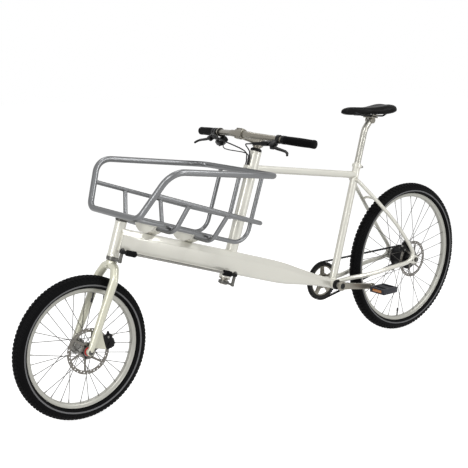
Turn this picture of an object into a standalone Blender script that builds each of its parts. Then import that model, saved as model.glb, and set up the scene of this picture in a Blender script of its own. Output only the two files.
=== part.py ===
"""Two-wheeled front-loading cargo bike with a tubular cargo basket and a toothed belt drive.

Metres, +Z up. The bike points along -X and its left side along -Y. It stands on the floor
plane z = 0 with the middle of its length at x = 0. The steering column, the head tube and the
beam between them share one tilt: the two steering axes are parallel and the beam is square to
them, so the drag link under the beam makes a parallelogram.
"""
import enum
import math

import bmesh
import bpy
from mathutils import Matrix, Vector

# Clearance between pieces that touch
GAP = 0.0003

# Wheels and their places
FRONT_TYRE_RADIUS = 0.253
REAR_TYRE_RADIUS = 0.330
FRONT_TYRE_HEIGHT = 0.050
REAR_TYRE_HEIGHT = 0.0505
FRONT_BEAD_RADIUS = FRONT_TYRE_RADIUS - FRONT_TYRE_HEIGHT
REAR_BEAD_RADIUS = REAR_TYRE_RADIUS - REAR_TYRE_HEIGHT
TYRE_WIDTH = 0.053
RIM_WIDTH = 0.026
RIM_FLANGE = 0.006
RIM_DEPTH = 0.016
WHEEL_FACETS = 36
SPOKE_COUNT = 32
SPOKE_RADIUS = 0.0012
BB_HEIGHT = 0.285
SHELL_TO_TYRE = 0.1235
CHAIN_STAY_RUN = REAR_TYRE_RADIUS + SHELL_TO_TYRE

# Steering axes
STEERING_ANGLE = math.radians(72.0)
HEAD_TO_COLUMN = 0.5326
COLUMN_TO_BB = 0.5975
FORK_RAKE = 0.0343
CROWN_ROOM = 0.049
HEAD_BOTTOM_Z = 2 * FRONT_TYRE_RADIUS + CROWN_ROOM
HEAD_TUBE_RISE = 0.113
HEAD_TOP_Z = HEAD_BOTTOM_Z + HEAD_TUBE_RISE
COLUMN_BOTTOM_Z = 0.400
COLUMN_TOP_Z = 0.860
HEAD_TUBE_RADIUS = 0.020
LOWER_CUP_HEIGHT = 0.004
COLUMN_RADIUS = 0.0225
COLUMN_BORE = 0.0185
STEERER_RADIUS = 0.0143
STEERER_BORE = 0.0150

PORT_TOP_Z = 0.806
PORT_HEIGHT = 0.016
PORT_WIDTH = 0.030
PORT_REACH = 0.0085

# Frame tubes
BEAM_WIDTH = 0.080
BEAM_TOP_FLAT = 0.050
BEAM_CHAMFER = 0.021
BEAM_FOOT_RADIUS = 0.009
BEAM_FULL_SHARE = 0.44
BEAM_FRONT_DEPTH = 0.075
BEAM_MID_DEPTH = 0.084
BEAM_TAIL_DEPTH = 0.037
BEAM_TAIL_WIDTH = 0.050
TOP_TUBE_RADIUS = 0.0145
TOP_TUBE_DROP = 0.062
TOP_TUBE_SEAT_DROP = 0.047
SEAT_ANGLE = math.radians(75.2)
SEAT_SETBACK = 0.010
SEAT_TOP_Z = 0.772
SEAT_TUBE_RADIUS = 0.016
SEAT_TUBE_BORE = 0.0140
STAY_RADIUS = 0.0080
CHAIN_STAY_RADIUS = 0.0095
STAY_HALF_WIDTH = 0.070
STAY_CLEARANCE = 0.001
SEAT_STAY_DROP = 0.066
SEAT_STAY_TOP_Y = 0.019
BRIDGE_ROOM = 0.0255
BRIDGE_RADIUS = 0.0055
DROPOUT_THICKNESS = 0.006
AXLE_RADIUS = 0.0050
HUB_BORE = 0.0056

# Bottom bracket and drive
BB_SHELL_RADIUS = 0.0215
BB_SHELL_HALF_WIDTH = 0.034
BB_BORE = 0.0135
BB_CUP_WIDTH = 0.011
SPINDLE_RADIUS = 0.0120
CRANK_LENGTH = 0.170
CRANK_OFFSET = 0.060
CRANK_FLARE = 0.014
CRANK_THICKNESS = 0.0135
CRANK_DROP = math.radians(8.8)
PEDAL_GAP = 0.018
PEDAL_AXLE_RADIUS = 0.0062
PEDAL_LENGTH = 0.080
PEDAL_WIDTH = 0.084
PEDAL_THICKNESS = 0.024
BELT_PITCH = 0.011
FRONT_TEETH = 46
REAR_TEETH = 22
BELT_WIDTH = 0.011
BELT_LINE = 0.047
SPIDER_PHASE = math.radians(20.0)
BELT_BACK = 0.0030
BELT_TOOTH = 0.0028
SPROCKET_WIDTH = 0.0095

# Steering linkage
LINK_LATERAL = 0.065
LINK_FORWARD = 0.0105
LINK_ARM_DROP = 0.032
LINK_PIN_RADIUS = 0.0040
LINK_EYE_BORE = 0.0046
LINK_EYE_RADIUS = 0.0098
LINK_EYE_HEIGHT = 0.0110
LINK_ROD_RADIUS = 0.0046
LINK_SLEEVE_RADIUS = 0.0108
LINK_SLEEVE_LENGTH = 0.040
LINK_SLEEVE_START = 0.016
ARM_HEIGHT = 0.012

# Handlebar, stem and controls
BAR_FORWARD = 0.0964
BAR_Z = 0.9294
BAR_HALF_WIDTH = 0.327
BAR_SWEEP = 0.0665
BAR_DROP = 0.016
BAR_STRAIGHT = 0.045
BAR_RADIUS = 0.0111
BAR_CLAMP_RADIUS = 0.0127
STEM_CLAMP_RADIUS = 0.0190
STEM_CLAMP_WIDTH = 0.042
STEM_HUB_RADIUS = 0.0190
STEM_HUB_BOTTOM_Z = 0.876
STEM_HUB_TOP_Z = 0.915
GRIP_LENGTH = 0.140
GRIP_RADIUS = 0.0155

BRAKE_CLAMP_SPACE = 0.011
BRAKE_CLAMP_Y = BAR_HALF_WIDTH - GRIP_LENGTH - BRAKE_CLAMP_SPACE
LEVER_PIVOT_Y = BRAKE_CLAMP_Y - 0.004
LEVER_PIVOT_REACH = 0.040
LEVER_THICKNESS = 0.0075
SHIFTER_SPACE = 0.024
SHIFTER_Y = BRAKE_CLAMP_Y - SHIFTER_SPACE
SHIFTER_DROP = 0.0300
SHIFTER_THICKNESS = 0.022
SHIFT_LEVER_THICKNESS = 0.003
HOSE_RADIUS = 0.0025
CABLE_RADIUS = 0.0020
HOSE_SPACING = 0.0080

# Basket
BASKET_RISE = 0.083
MID_RAIL_RISE = 0.174
RIM_TUBE_RADIUS = 0.011
RAIL_TUBE_RADIUS = 0.008
BASKET_FRONT_REACH = 0.0375
BASKET_FRONT_HALF = 0.152
BASKET_TOP_FRONT_HALF = 0.228
BASKET_TOP_REAR_HALF = 0.208
BASKET_SLOPE_RUN = 0.083
BASKET_TOP_FRONT_Z = 0.855
BASKET_TOP_REAR_Z = 0.798
BASKET_REAR_GAP = 0.060
BASKET_LOWER_CORNER = 0.045
BASKET_UPPER_BEND = 0.075
BASKET_REAR_CORNER = 0.028
FLOOR_RAIL_BEND = 0.060
HOOP_BEND = 0.050
HOOP_ROOM = 0.00054
UPRIGHT_SETBACK = 0.012
FLOOR_RAIL_HALF = 0.120
HOOP_BOTTOM_HALF = 0.150
FRONT_HOOP_RUN = 0.123
HOOP_SPACING = 0.158
MID_RAIL_START = 0.52
MID_RAIL_REAR_HALF = 0.210
BRACKET_TOP_HALF = 0.058
BRACKET_FOOT_HALF = 0.022
BRACKET_LENGTH = 0.040
BRACKET_WALL = 0.004

# Seat post and saddle
POST_RADIUS = 0.0136
POST_INSERTION = 0.160
POST_STRAIGHT = 0.1417
POST_BEND = 0.060
POST_HEAD_BACK = 0.0315
POST_HEAD_RISE = 0.0350
SADDLE_CLAMP = (0.534, 0.944)
RAIL_RADIUS = 0.0035
RAIL_HALF = 0.022
SADDLE_HALF_WIDTH = 0.066

# Brakes
ROTOR_RADIUS = 0.080
ROTOR_BAND = 0.013
ROTOR_THICKNESS = 0.002
ROTOR_BOSS = 0.0180
FRONT_ROTOR_Y = -0.043
REAR_ROTOR_Y = -0.051
CALIPER_WIDTH = 0.020
CALIPER_DEPTH = 0.034
CALIPER_LENGTH = 0.050
CALIPER_TAB = 0.006
CALIPER_TAB_OFFSET = 0.0065
CALIPER_PAD = 0.0002
FRONT_CALIPER_ANGLE = math.radians(14.0)
REAR_CALIPER_ANGLE = math.radians(128.0)
FORK_END_Y = 0.0565
FORK_BLADE_Y = 0.0515
REAR_AXLE_HALF = 0.082

# Places worked out from the sizes above
TILT = math.pi / 2 - STEERING_ANGLE
UP = Vector((math.sin(TILT), 0.0, math.cos(TILT)))
AHEAD = Vector((-math.cos(TILT), 0.0, math.sin(TILT)))
LEAN = math.tan(TILT)


class Side(enum.IntEnum):
    """Side of the bicycle as the rider sits, as the sign of y."""
    LEFT = -1
    RIGHT = 1


LEFT, RIGHT = Side.LEFT, Side.RIGHT


def place_along_the_bike():
    """x of the bottom bracket that puts the middle of the bike's length at x = 0."""
    column_at_bb = -COLUMN_TO_BB
    head_at_axle = column_at_bb - HEAD_TO_COLUMN - (BB_HEIGHT - FRONT_TYRE_RADIUS) * LEAN
    front_end = head_at_axle - FORK_RAKE / math.cos(TILT) - FRONT_TYRE_RADIUS
    rear_end = CHAIN_STAY_RUN + REAR_TYRE_RADIUS
    return -(front_end + rear_end) / 2


BB = Vector((place_along_the_bike(), 0.0, BB_HEIGHT))


def column_point(z):
    """Point of the steering column's axis at height z."""
    return Vector((BB.x - COLUMN_TO_BB + (z - BB_HEIGHT) * LEAN, 0.0, z))


def head_point(z):
    """Point of the head tube's axis at height z."""
    return column_point(z) - Vector((HEAD_TO_COLUMN, 0.0, 0.0))


def seat_point(z):
    """Point of the seat tube's axis at height z."""
    run = (z - BB_HEIGHT) / math.tan(SEAT_ANGLE)
    return Vector((BB.x + SEAT_SETBACK + run, 0.0, z))


FRONT_AXLE = head_point(FRONT_TYRE_RADIUS) - Vector((FORK_RAKE / math.cos(TILT), 0.0, 0.0))
REAR_AXLE = Vector((BB.x + CHAIN_STAY_RUN, 0.0, REAR_TYRE_RADIUS))
BEAM_START = head_point((HEAD_BOTTOM_Z + HEAD_TOP_Z) / 2)
BEAM_LINE = (BB - BEAM_START).normalized()
BEAM_NORMAL = Vector((-BEAM_LINE.z, 0.0, BEAM_LINE.x))
SEAT_LINE = Vector((math.cos(SEAT_ANGLE), 0.0, math.sin(SEAT_ANGLE)))
CRANK_LINE = Vector((math.cos(CRANK_DROP), 0.0, -math.sin(CRANK_DROP)))
FRONT_PITCH_RADIUS = FRONT_TEETH * BELT_PITCH / (2 * math.pi)
REAR_PITCH_RADIUS = REAR_TEETH * BELT_PITCH / (2 * math.pi)


def beam_z(x):
    """Height of the beam's centre line at x."""
    return BEAM_START.z + (x - BEAM_START.x) * BEAM_LINE.z / BEAM_LINE.x


# Collections and materials
def new_collection(name):
    """Collection of that name, linked to the scene."""
    collection = bpy.data.collections.new(name)
    bpy.context.scene.collection.children.link(collection)
    return collection


def material(name, colour, roughness, metallic=0.0):
    """Principled material of one colour."""
    made = bpy.data.materials.new(name)
    made.use_nodes = True
    shader = made.node_tree.nodes["Principled BSDF"]
    shader.inputs["Base Color"].default_value = (*colour, 1.0)
    shader.inputs["Roughness"].default_value = roughness
    shader.inputs["Metallic"].default_value = metallic
    return made


for left_over in list(bpy.data.objects):
    bpy.data.objects.remove(left_over, do_unlink=True)
PARTS = new_collection("cargo_bike")
CUTTERS = new_collection("cutters")
PEARL = material("pearl_paint", (0.80, 0.79, 0.72), 0.25)
CREAM = material("cream_paint", (0.80, 0.79, 0.66), 0.25)
BASKET_PAINT = material("basket_silver", (0.36, 0.37, 0.38), 0.35, 0.6)
SATIN = material("satin_aluminium", (0.60, 0.58, 0.54), 0.35, 0.9)
STEEL = material("steel", (0.45, 0.45, 0.45), 0.35, 0.9)
BLACK = material("black_anodised", (0.02, 0.02, 0.022), 0.40)
RUBBER = material("rubber", (0.03, 0.03, 0.03), 0.75)
RIM_METAL = material("rim_metal", (0.55, 0.54, 0.50), 0.35, 0.7)


# Building helpers
def add_object(name, data, finish):
    """Object in the parts collection with one material."""
    made = bpy.data.objects.new(name, data)
    PARTS.objects.link(made)
    data.materials.append(finish)
    return made


def hide_as_cutter(tool):
    """Move an object to the cutters."""
    for owner in list(tool.users_collection):
        owner.objects.unlink(tool)
    CUTTERS.objects.link(tool)
    tool.hide_render = True
    tool.display_type = 'WIRE'
    return tool


def smooth(obj, angle=35.0):
    """Smooth shading with sharp edges past the angle."""
    obj.data.shade_smooth()
    obj.data.set_sharp_from_angle(angle=math.radians(angle))
    return obj


def combine(obj, tool, operation):
    """Exact boolean of obj with tool; tool becomes a hidden cutter."""
    modifier = obj.modifiers.new(operation.lower(), 'BOOLEAN')
    modifier.operation = operation
    modifier.solver = 'EXACT'
    modifier.object = hide_as_cutter(tool)
    return obj


def cut(obj, *tools):
    """Take the tools away from obj."""
    for tool in tools:
        combine(obj, tool, 'DIFFERENCE')
    return obj


def join(obj, *tools):
    """Weld the tools onto obj."""
    for tool in tools:
        combine(obj, tool, 'UNION')
    return obj


def aim(direction, spin=Vector((0.0, 1.0, 0.0))):
    """Rotation that takes local +Z to the direction and keeps local +X square to spin."""
    z_axis = direction.normalized()
    x_axis = spin.cross(z_axis)
    if x_axis.length < 1e-6:
        x_axis = Vector((1.0, 0.0, 0.0)).cross(z_axis)
        if x_axis.length < 1e-6:
            x_axis = Vector((1.0, 0.0, 0.0))
    x_axis.normalize()
    y_axis = z_axis.cross(x_axis)
    return Matrix((x_axis, y_axis, z_axis)).transposed().to_4x4()


def as_mesh(obj):
    """Mesh object that takes a curve's place, with its caps welded."""
    bpy.context.view_layer.update()
    evaluated = obj.evaluated_get(bpy.context.evaluated_depsgraph_get())
    mesh = bpy.data.meshes.new_from_object(evaluated)
    work = bmesh.new()
    work.from_mesh(mesh)
    bmesh.ops.remove_doubles(work, verts=work.verts, dist=1e-5)
    bmesh.ops.recalc_face_normals(work, faces=work.faces)
    work.to_mesh(mesh)
    work.free()
    name, place, finish = obj.name, obj.matrix_world.copy(), obj.data.materials[0]
    bpy.data.objects.remove(obj, do_unlink=True)
    mesh.materials.clear()
    made = add_object(name, mesh, finish)
    made.matrix_world = place
    return made


def tube(name, points, radius, finish, sides=12, closed=False, radii=None):
    """Round tube along points as a mesh; radii gives each point's own radius."""
    curve = bpy.data.curves.new(name, 'CURVE')
    curve.dimensions = '3D'
    curve.bevel_depth = radius
    curve.bevel_resolution = sides // 2 - 2
    curve.use_fill_caps = not closed
    spline = curve.splines.new('POLY')
    spline.points.add(len(points) - 1)
    for index, point in enumerate(points):
        spline.points[index].co = (*point, 1.0)
        spline.points[index].radius = radii[index] / radius if radii else 1.0
    spline.use_cyclic_u = closed
    return smooth(as_mesh(add_object(name, curve, finish)), 50.0)


def rounded(points, radii, steps=6, closed=False):
    """Polyline with each inner corner replaced by an arc of its own radius."""
    points = [Vector(point) for point in points]
    count = len(points)
    path = []
    for index, corner in enumerate(points):
        radius = radii[index] if isinstance(radii, (list, tuple)) else radii
        if (not closed and index in (0, count - 1)) or not radius:
            path.append(corner)
            continue
        before = (points[index - 1] - corner).normalized()
        after = (points[(index + 1) % count] - corner).normalized()
        half = before.angle(after) / 2
        reach = radius / math.tan(half)
        centre = corner + (before + after).normalized() * radius / math.sin(half)
        start, end = corner + before * reach - centre, corner + after * reach - centre
        sweep = start.angle(end)
        for step in range(steps + 1):
            share = step / steps
            arm = (start * math.sin((1 - share) * sweep) + end * math.sin(share * sweep)) / math.sin(sweep)
            path.append(centre + arm)
    return path


def cylinder(name, start, end, radius, finish, sides=24, radius_end=None):
    """Cylinder or cone between two points, built as a primitive."""
    start, end = Vector(start), Vector(end)
    mesh = bpy.data.meshes.new(name)
    work = bmesh.new()
    bmesh.ops.create_cone(work, cap_ends=True, segments=sides, radius1=radius,
                          radius2=radius if radius_end is None else radius_end,
                          depth=(end - start).length)
    work.to_mesh(mesh)
    work.free()
    made = add_object(name, mesh, finish)
    made.matrix_world = Matrix.Translation((start + end) / 2) @ aim(end - start)
    return smooth(made)


def box(name, size, matrix, finish, bevel=0.0):
    """Box of that size, turned and placed by the matrix, with bevelled edges."""
    mesh = bpy.data.meshes.new(name)
    work = bmesh.new()
    bmesh.ops.create_cube(work, size=1.0, matrix=Matrix.Diagonal((*size, 1.0)))
    if bevel:
        bmesh.ops.bevel(work, geom=work.edges[:], offset=bevel, segments=1, profile=0.5, affect='EDGES')
    work.to_mesh(mesh)
    work.free()
    made = add_object(name, mesh, finish)
    made.matrix_world = matrix
    return smooth(made)


def turned(name, outline, start, direction, finish, steps=24, ring=False):
    """Outline of (radius, height) turned about the direction; it runs down its outer side."""
    mesh = bpy.data.meshes.new(name)
    count = len(outline)
    edges = [(index, index + 1) for index in range(count - 1)]
    if ring:
        edges.append((count - 1, 0))
    mesh.from_pydata([(radius, 0.0, height) for radius, height in outline], edges, [])
    made = add_object(name, mesh, finish)
    screw = made.modifiers.new("turn", 'SCREW')
    screw.axis = 'Z'
    screw.steps = steps
    screw.render_steps = steps
    screw.use_merge_vertices = True
    screw.merge_threshold = 1e-5
    screw.use_smooth_shade = True
    made.matrix_world = Matrix.Translation(Vector(start)) @ aim(Vector(direction))
    return made


def plate(name, outlines, thickness, origin, x_axis, y_axis, finish, bevel=0.0):
    """Flat outline with holes, extruded half its thickness each way about origin."""
    curve = bpy.data.curves.new(name, 'CURVE')
    curve.dimensions = '2D'
    curve.fill_mode = 'BOTH'
    curve.extrude = thickness / 2
    for outline in outlines:
        spline = curve.splines.new('POLY')
        spline.points.add(len(outline) - 1)
        for index, (across, along) in enumerate(outline):
            spline.points[index].co = (across, along, 0.0, 1.0)
        spline.use_cyclic_u = True
    made = add_object(name, curve, finish)
    x_axis, y_axis = Vector(x_axis).normalized(), Vector(y_axis).normalized()
    turn = Matrix((x_axis, y_axis, x_axis.cross(y_axis))).transposed().to_4x4()
    made.matrix_world = Matrix.Translation(Vector(origin)) @ turn
    made = as_mesh(made)
    if bevel:
        soften_rim(made.data, bevel)
    return smooth(made, 30.0)


def soften_rim(mesh, width):
    """Chamfer the rim of a plate whose flat faces are first made whole."""
    work = bmesh.new()
    work.from_mesh(mesh)
    bmesh.ops.dissolve_limit(work, angle_limit=math.radians(1.0), verts=work.verts, edges=work.edges)
    rim_edges = [edge for edge in work.edges if edge.calc_face_angle(0.0) > math.radians(60)
                 and abs((edge.verts[0].co - edge.verts[1].co).normalized().z) < 0.5]
    bmesh.ops.bevel(work, geom=rim_edges, offset=width, segments=1, profile=0.5, affect='EDGES')
    work.to_mesh(mesh)
    work.free()


def circle(radius, count, phase=0.0, centre=(0.0, 0.0)):
    """Points of a circle."""
    return [(centre[0] + radius * math.cos(phase + 2 * math.pi * step / count),
             centre[1] + radius * math.sin(phase + 2 * math.pi * step / count)) for step in range(count)]


def arc(radius, start, end, count, centre=(0.0, 0.0)):
    """Points of an arc between two angles, both ends included."""
    return [(centre[0] + radius * math.cos(start + (end - start) * step / (count - 1)),
             centre[1] + radius * math.sin(start + (end - start) * step / (count - 1))) for step in range(count)]


def mirror_y(point):
    """The point on the other side of the bike."""
    return Vector((point[0], -point[1], point[2]))


def moving_body(name, place, pieces):
    """Empty on a joint's axis that carries its pieces."""
    holder = bpy.data.objects.new(name, None)
    PARTS.objects.link(holder)
    holder.location = place
    bpy.context.view_layer.update()
    for piece in pieces:
        world = piece.matrix_world.copy()
        piece.parent = holder
        piece.matrix_parent_inverse = holder.matrix_world.inverted()
        piece.matrix_world = world
    return holder


# Frame
def head_tube():
    """Front tube that carries the fork, with its two headset cups."""
    low, high = head_point(HEAD_BOTTOM_Z), head_point(HEAD_TOP_Z)
    tube_piece = cylinder("head_tube", low, high, HEAD_TUBE_RADIUS, PEARL, 20)
    cut(tube_piece, cylinder("head_bore", low - UP * 0.02, high + UP * 0.02, STEERER_BORE, PEARL, 16))
    length = 0.016
    upper = turned("headset_upper", [
        (STEERER_BORE, length), (HEAD_TUBE_RADIUS - 0.002, length), (HEAD_TUBE_RADIUS + 0.0015, length - 0.004),
        (HEAD_TUBE_RADIUS + 0.0015, 0.003), (HEAD_TUBE_RADIUS, GAP), (STEERER_BORE, GAP)],
        high, UP, SATIN, 16, ring=True)
    cup = turned("headset_lower", [
        (STEERER_BORE, 0.004), (HEAD_TUBE_RADIUS - 0.001, 0.002), (HEAD_TUBE_RADIUS + 0.0015, -0.001),
        (HEAD_TUBE_RADIUS + 0.0015, -LOWER_CUP_HEIGHT), (STEERER_BORE, -LOWER_CUP_HEIGHT)],
        low, UP, PEARL, 16, ring=True)
    return [join(tube_piece, cup), upper]


def beam_section(depth, width, top_flat):
    """Corners of the beam's section as (across, up): flat top, chamfers, sides and a rounded foot."""
    half, top, low, flat = width / 2, depth / 2, -depth / 2, top_flat / 2
    chamfer = min(BEAM_CHAMFER, depth * 0.30)
    foot = min(BEAM_FOOT_RADIUS, depth * 0.3)
    right = [(half - foot, low), (half - foot * 0.3, low + foot * 0.3), (half, low + foot),
             (half, top - chamfer), (flat, top)]
    return right + [(-across, rise) for across, rise in reversed(right)]


def main_beam():
    """Faceted beam from the head tube past the column to the bottom bracket, as a loft."""
    total = (BB - BEAM_START).length
    stations = [
        (-0.03, BEAM_FRONT_DEPTH, BEAM_WIDTH * 0.55, BEAM_TOP_FLAT * 0.6),
        (0.012, BEAM_FRONT_DEPTH, BEAM_WIDTH * 0.80, BEAM_TOP_FLAT * 0.8),
        (0.050, BEAM_FRONT_DEPTH, BEAM_WIDTH, BEAM_TOP_FLAT),
        (BEAM_FULL_SHARE, BEAM_MID_DEPTH, BEAM_WIDTH, BEAM_TOP_FLAT),
        (0.685, BEAM_MID_DEPTH, BEAM_WIDTH, BEAM_TOP_FLAT),
        (0.790, BEAM_MID_DEPTH * 0.80, BEAM_WIDTH * 0.93, BEAM_TOP_FLAT * 0.9),
        (0.890, BEAM_MID_DEPTH * 0.57, BEAM_WIDTH * 0.78, BEAM_TOP_FLAT * 0.8),
        (1.03, BEAM_TAIL_DEPTH, BEAM_TAIL_WIDTH, BEAM_TAIL_WIDTH * 0.7)]
    mesh = bpy.data.meshes.new("main_beam")
    work = bmesh.new()
    rings = []
    for share, depth, width, flat in stations:
        centre = BEAM_START + BEAM_LINE * (total * share)
        rings.append([work.verts.new(centre + Vector((0.0, across, 0.0)) + BEAM_NORMAL * rise)
                      for across, rise in beam_section(depth, width, flat)])
    bridge_rings(work, rings)
    work.to_mesh(mesh)
    work.free()
    beam = smooth(add_object("main_beam", mesh, PEARL), 30.0)
    low, high = head_point(HEAD_BOTTOM_Z), head_point(HEAD_TOP_Z)
    head_cutter = cylinder("head_cope", low - UP * 0.1, high + UP * 0.1, HEAD_TUBE_RADIUS + GAP, PEARL, 20)
    front_cutter = box("head_face", (0.2, 0.3, 0.4),
                       Matrix.Translation(BEAM_START + AHEAD * 0.1) @ aim(UP), PEARL)
    rear_cutter = box("shell_face", (0.2, 0.3, 0.4), Matrix.Translation(BB + BEAM_LINE * 0.1) @ aim(BEAM_NORMAL),
                      PEARL)
    return cut(beam, front_cutter, head_cutter, column_cutter("beam_column_hole"), rear_cutter,
               shell_cutter("beam_shell_cope"), seat_cutter("beam_seat_cope", -0.02))


def bridge_rings(work, rings):
    """Skin a row of rings and close both ends."""
    for first, second in zip(rings, rings[1:]):
        for index in range(len(first)):
            following = (index + 1) % len(first)
            work.faces.new((first[index], first[following], second[following], second[index]))
    work.faces.new(rings[0][::-1])
    work.faces.new(rings[-1])
    bmesh.ops.recalc_face_normals(work, faces=work.faces)


def steering_column_tube():
    """Tube that houses the steering shaft, with the port for the hoses on its front."""
    low, high = column_point(COLUMN_BOTTOM_Z), column_point(COLUMN_TOP_Z)
    piece = cylinder("column_tube", low, high, COLUMN_RADIUS, PEARL, 20)
    middle = column_point(PORT_TOP_Z) - UP * PORT_HEIGHT / 2 + AHEAD * COLUMN_RADIUS
    port = box("hose_port", (2 * PORT_REACH, PORT_WIDTH, PORT_HEIGHT), Matrix.Translation(middle) @ aim(UP), PEARL,
               0.002)
    return cut(join(piece, port), cylinder("column_bore", low - UP * 0.02, high + UP * 0.02, COLUMN_BORE, PEARL, 20))


def column_cutter(name):
    """Cutter that leaves room for the column tube."""
    low, high = column_point(COLUMN_BOTTOM_Z - 0.1), column_point(COLUMN_TOP_Z + 0.1)
    return cylinder(name, low, high, COLUMN_RADIUS + 2 * GAP, PEARL, 20)


def seat_cutter(name, bottom=0.0):
    """Cutter that leaves room for the seat tube."""
    return cylinder(name, seat_point(BB_HEIGHT + bottom), seat_point(SEAT_TOP_Z + 0.1),
                    SEAT_TUBE_RADIUS + GAP, PEARL, 20)


def shell_cutter(name):
    """Cutter that leaves room for the bottom bracket shell."""
    reach = Vector((0.0, 0.1, 0.0))
    return cylinder(name, BB - reach, BB + reach, BB_SHELL_RADIUS + GAP, PEARL, 20)


def top_tube():
    """Sloping tube from the column to the seat tube."""
    front = column_point(COLUMN_TOP_Z - TOP_TUBE_DROP)
    rear = seat_point(SEAT_TOP_Z - TOP_TUBE_SEAT_DROP)
    piece = cylinder("top_tube", front, rear, TOP_TUBE_RADIUS, PEARL, 16)
    return cut(piece, column_cutter("top_tube_front_cope"), seat_cutter("top_tube_rear_cope"))


def seat_tube():
    """Seat tube with the bore for the post and its clamp slot."""
    low, high = seat_point(BB_HEIGHT), seat_point(SEAT_TOP_Z)
    piece = cylinder("seat_tube", low, high, SEAT_TUBE_RADIUS, PEARL, 20)
    bore_end = seat_point(BB_HEIGHT + 0.07)
    slot_size = (0.05, 0.003, 0.05)
    slot_place = high + Vector((0.025, 0, 0)) - SEAT_LINE * 0.01
    cut(piece,
        cylinder("seat_bore", bore_end, high + SEAT_LINE * 0.02, SEAT_TUBE_BORE, PEARL, 20),
        box("seat_slot", slot_size, Matrix.Translation(slot_place) @ aim(SEAT_LINE), PEARL),
        shell_cutter("seat_tube_shell_cope"))
    return piece


def seat_clamp():
    """Split collar round the top of the seat tube with its pinch bolt behind."""
    top = seat_point(SEAT_TOP_Z)
    height = 0.014
    outer = SEAT_TUBE_RADIUS + 0.0045
    collar = cylinder("seat_clamp", top - SEAT_LINE * (height + 0.004), top - SEAT_LINE * 0.004, outer, PEARL, 20)
    rear = Vector((SEAT_LINE.z, 0.0, -SEAT_LINE.x))
    middle = top - SEAT_LINE * (0.004 + height / 2)
    lug = box("clamp_lug", (0.016, 0.018, height), Matrix.Translation(middle + rear * (outer + 0.001))
              @ aim(SEAT_LINE), PEARL)
    bolt = cylinder("clamp_bolt", middle + rear * (outer + 0.003) - Vector((0, 0.0135, 0)),
                    middle + rear * (outer + 0.003) + Vector((0, 0.0135, 0)), 0.0038, STEEL, 8)
    join(collar, lug)
    cut(collar,
        cylinder("clamp_bore", top - SEAT_LINE * 0.04, top + SEAT_LINE * 0.02, SEAT_TUBE_RADIUS + GAP, PEARL, 20),
        box("clamp_split", (0.03, 0.002, 0.04), Matrix.Translation(middle + rear * (SEAT_TUBE_RADIUS + 0.014))
            @ aim(SEAT_LINE), PEARL))
    return join(collar, bolt)


def bottom_bracket_shell():
    """Shell between beam and stays with its bearing cups and bore."""
    half, cup = BB_SHELL_HALF_WIDTH, BB_CUP_WIDTH
    radius = BB_SHELL_RADIUS - 0.0012
    outline = [(BB_BORE, half + cup), (radius - 0.003, half + cup), (radius, half + cup - 0.003), (radius, half),
               (BB_SHELL_RADIUS, half), (BB_SHELL_RADIUS, -half), (radius, -half), (radius, -half - cup + 0.003),
               (radius - 0.003, -half - cup), (BB_BORE, -half - cup)]
    return turned("bottom_bracket_shell", outline, BB, Vector((0.0, 1.0, 0.0)), PEARL, 16, ring=True)


def chain_stay_path(side):
    """Route of a chain stay from the shell to the bend in front of the axle."""
    def at(run, half, rise):
        return Vector((BB.x + run, side * half, BB.z + rise))
    bend = REAR_AXLE + Vector((-0.0195, side * STAY_HALF_WIDTH, 0.036))
    inner = BELT_LINE - BELT_WIDTH / 2 - CHAIN_STAY_RADIUS - STAY_CLEARANCE
    return [at(0.018, inner - 0.002, 0.010), at(0.085, inner, 0.0125), at(0.125, inner + 0.0075, 0.0140),
            at(0.165, inner + 0.0175, 0.0165), at(0.220, 0.0600, 0.022), at(0.275, 0.0680, 0.030),
            REAR_AXLE + Vector((-0.105, side * STAY_HALF_WIDTH, -0.0095)),
            REAR_AXLE + Vector((-0.060, side * STAY_HALF_WIDTH, -0.006)),
            REAR_AXLE + Vector((-0.034, side * STAY_HALF_WIDTH, 0.004)),
            REAR_AXLE + Vector((-0.0215, side * STAY_HALF_WIDTH, 0.020)), bend]


def chain_stay(side):
    """Chain stay with the dropout plate that holds the axle."""
    name = "chain_stay_left" if side < 0 else "chain_stay_right"
    path = chain_stay_path(side)
    piece = tube(name, path, CHAIN_STAY_RADIUS, PEARL, 8)
    stay = REAR_AXLE + Vector((0.0, side * STAY_HALF_WIDTH, 0.0))
    outline = (arc(0.018, math.radians(-100), math.radians(95), 7) + [(-0.016, 0.034), (-0.030, 0.010), (-0.045, -0.008)]
               + [(-0.016, -0.0165)])
    drop = plate("dropout" + name[-5:], [outline], DROPOUT_THICKNESS, stay, (1, 0, 0), (0, 0, 1), PEARL)
    join(piece, drop)
    slot = cylinder("axle_hole" + name[-5:], stay - Vector((0, 0.02, 0)), stay + Vector((0, 0.02, 0)),
                    AXLE_RADIUS + GAP, PEARL, 16)
    return cut(piece, shell_cutter("stay_shell_cope" + name[-5:]), slot)


def seat_stay_path(side):
    """Route of a seat stay from the seat tube down to the bend of the chain stay."""
    top = seat_point(SEAT_TOP_Z - SEAT_STAY_DROP)
    end = REAR_AXLE + Vector((-0.0195, side * STAY_HALF_WIDTH, 0.036))
    slope = end - top
    return [top + Vector((-0.004, side * (SEAT_STAY_TOP_Y - 0.004), 0.004)),
            top + Vector((0.020, side * SEAT_STAY_TOP_Y * 1.05, -0.016)),
            Vector((top.x + slope.x * 0.36, side * 0.046, top.z + slope.z * 0.32)),
            Vector((top.x + slope.x * 0.62, side * 0.0640, top.z + slope.z * 0.57)),
            Vector((top.x + slope.x * 0.80, side * STAY_HALF_WIDTH, top.z + slope.z * 0.765)),
            Vector((end.x - 0.0125, side * STAY_HALF_WIDTH, end.z + 0.0195)),
            Vector((end.x + 0.0010, side * STAY_HALF_WIDTH, end.z - 0.0080))]


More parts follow.
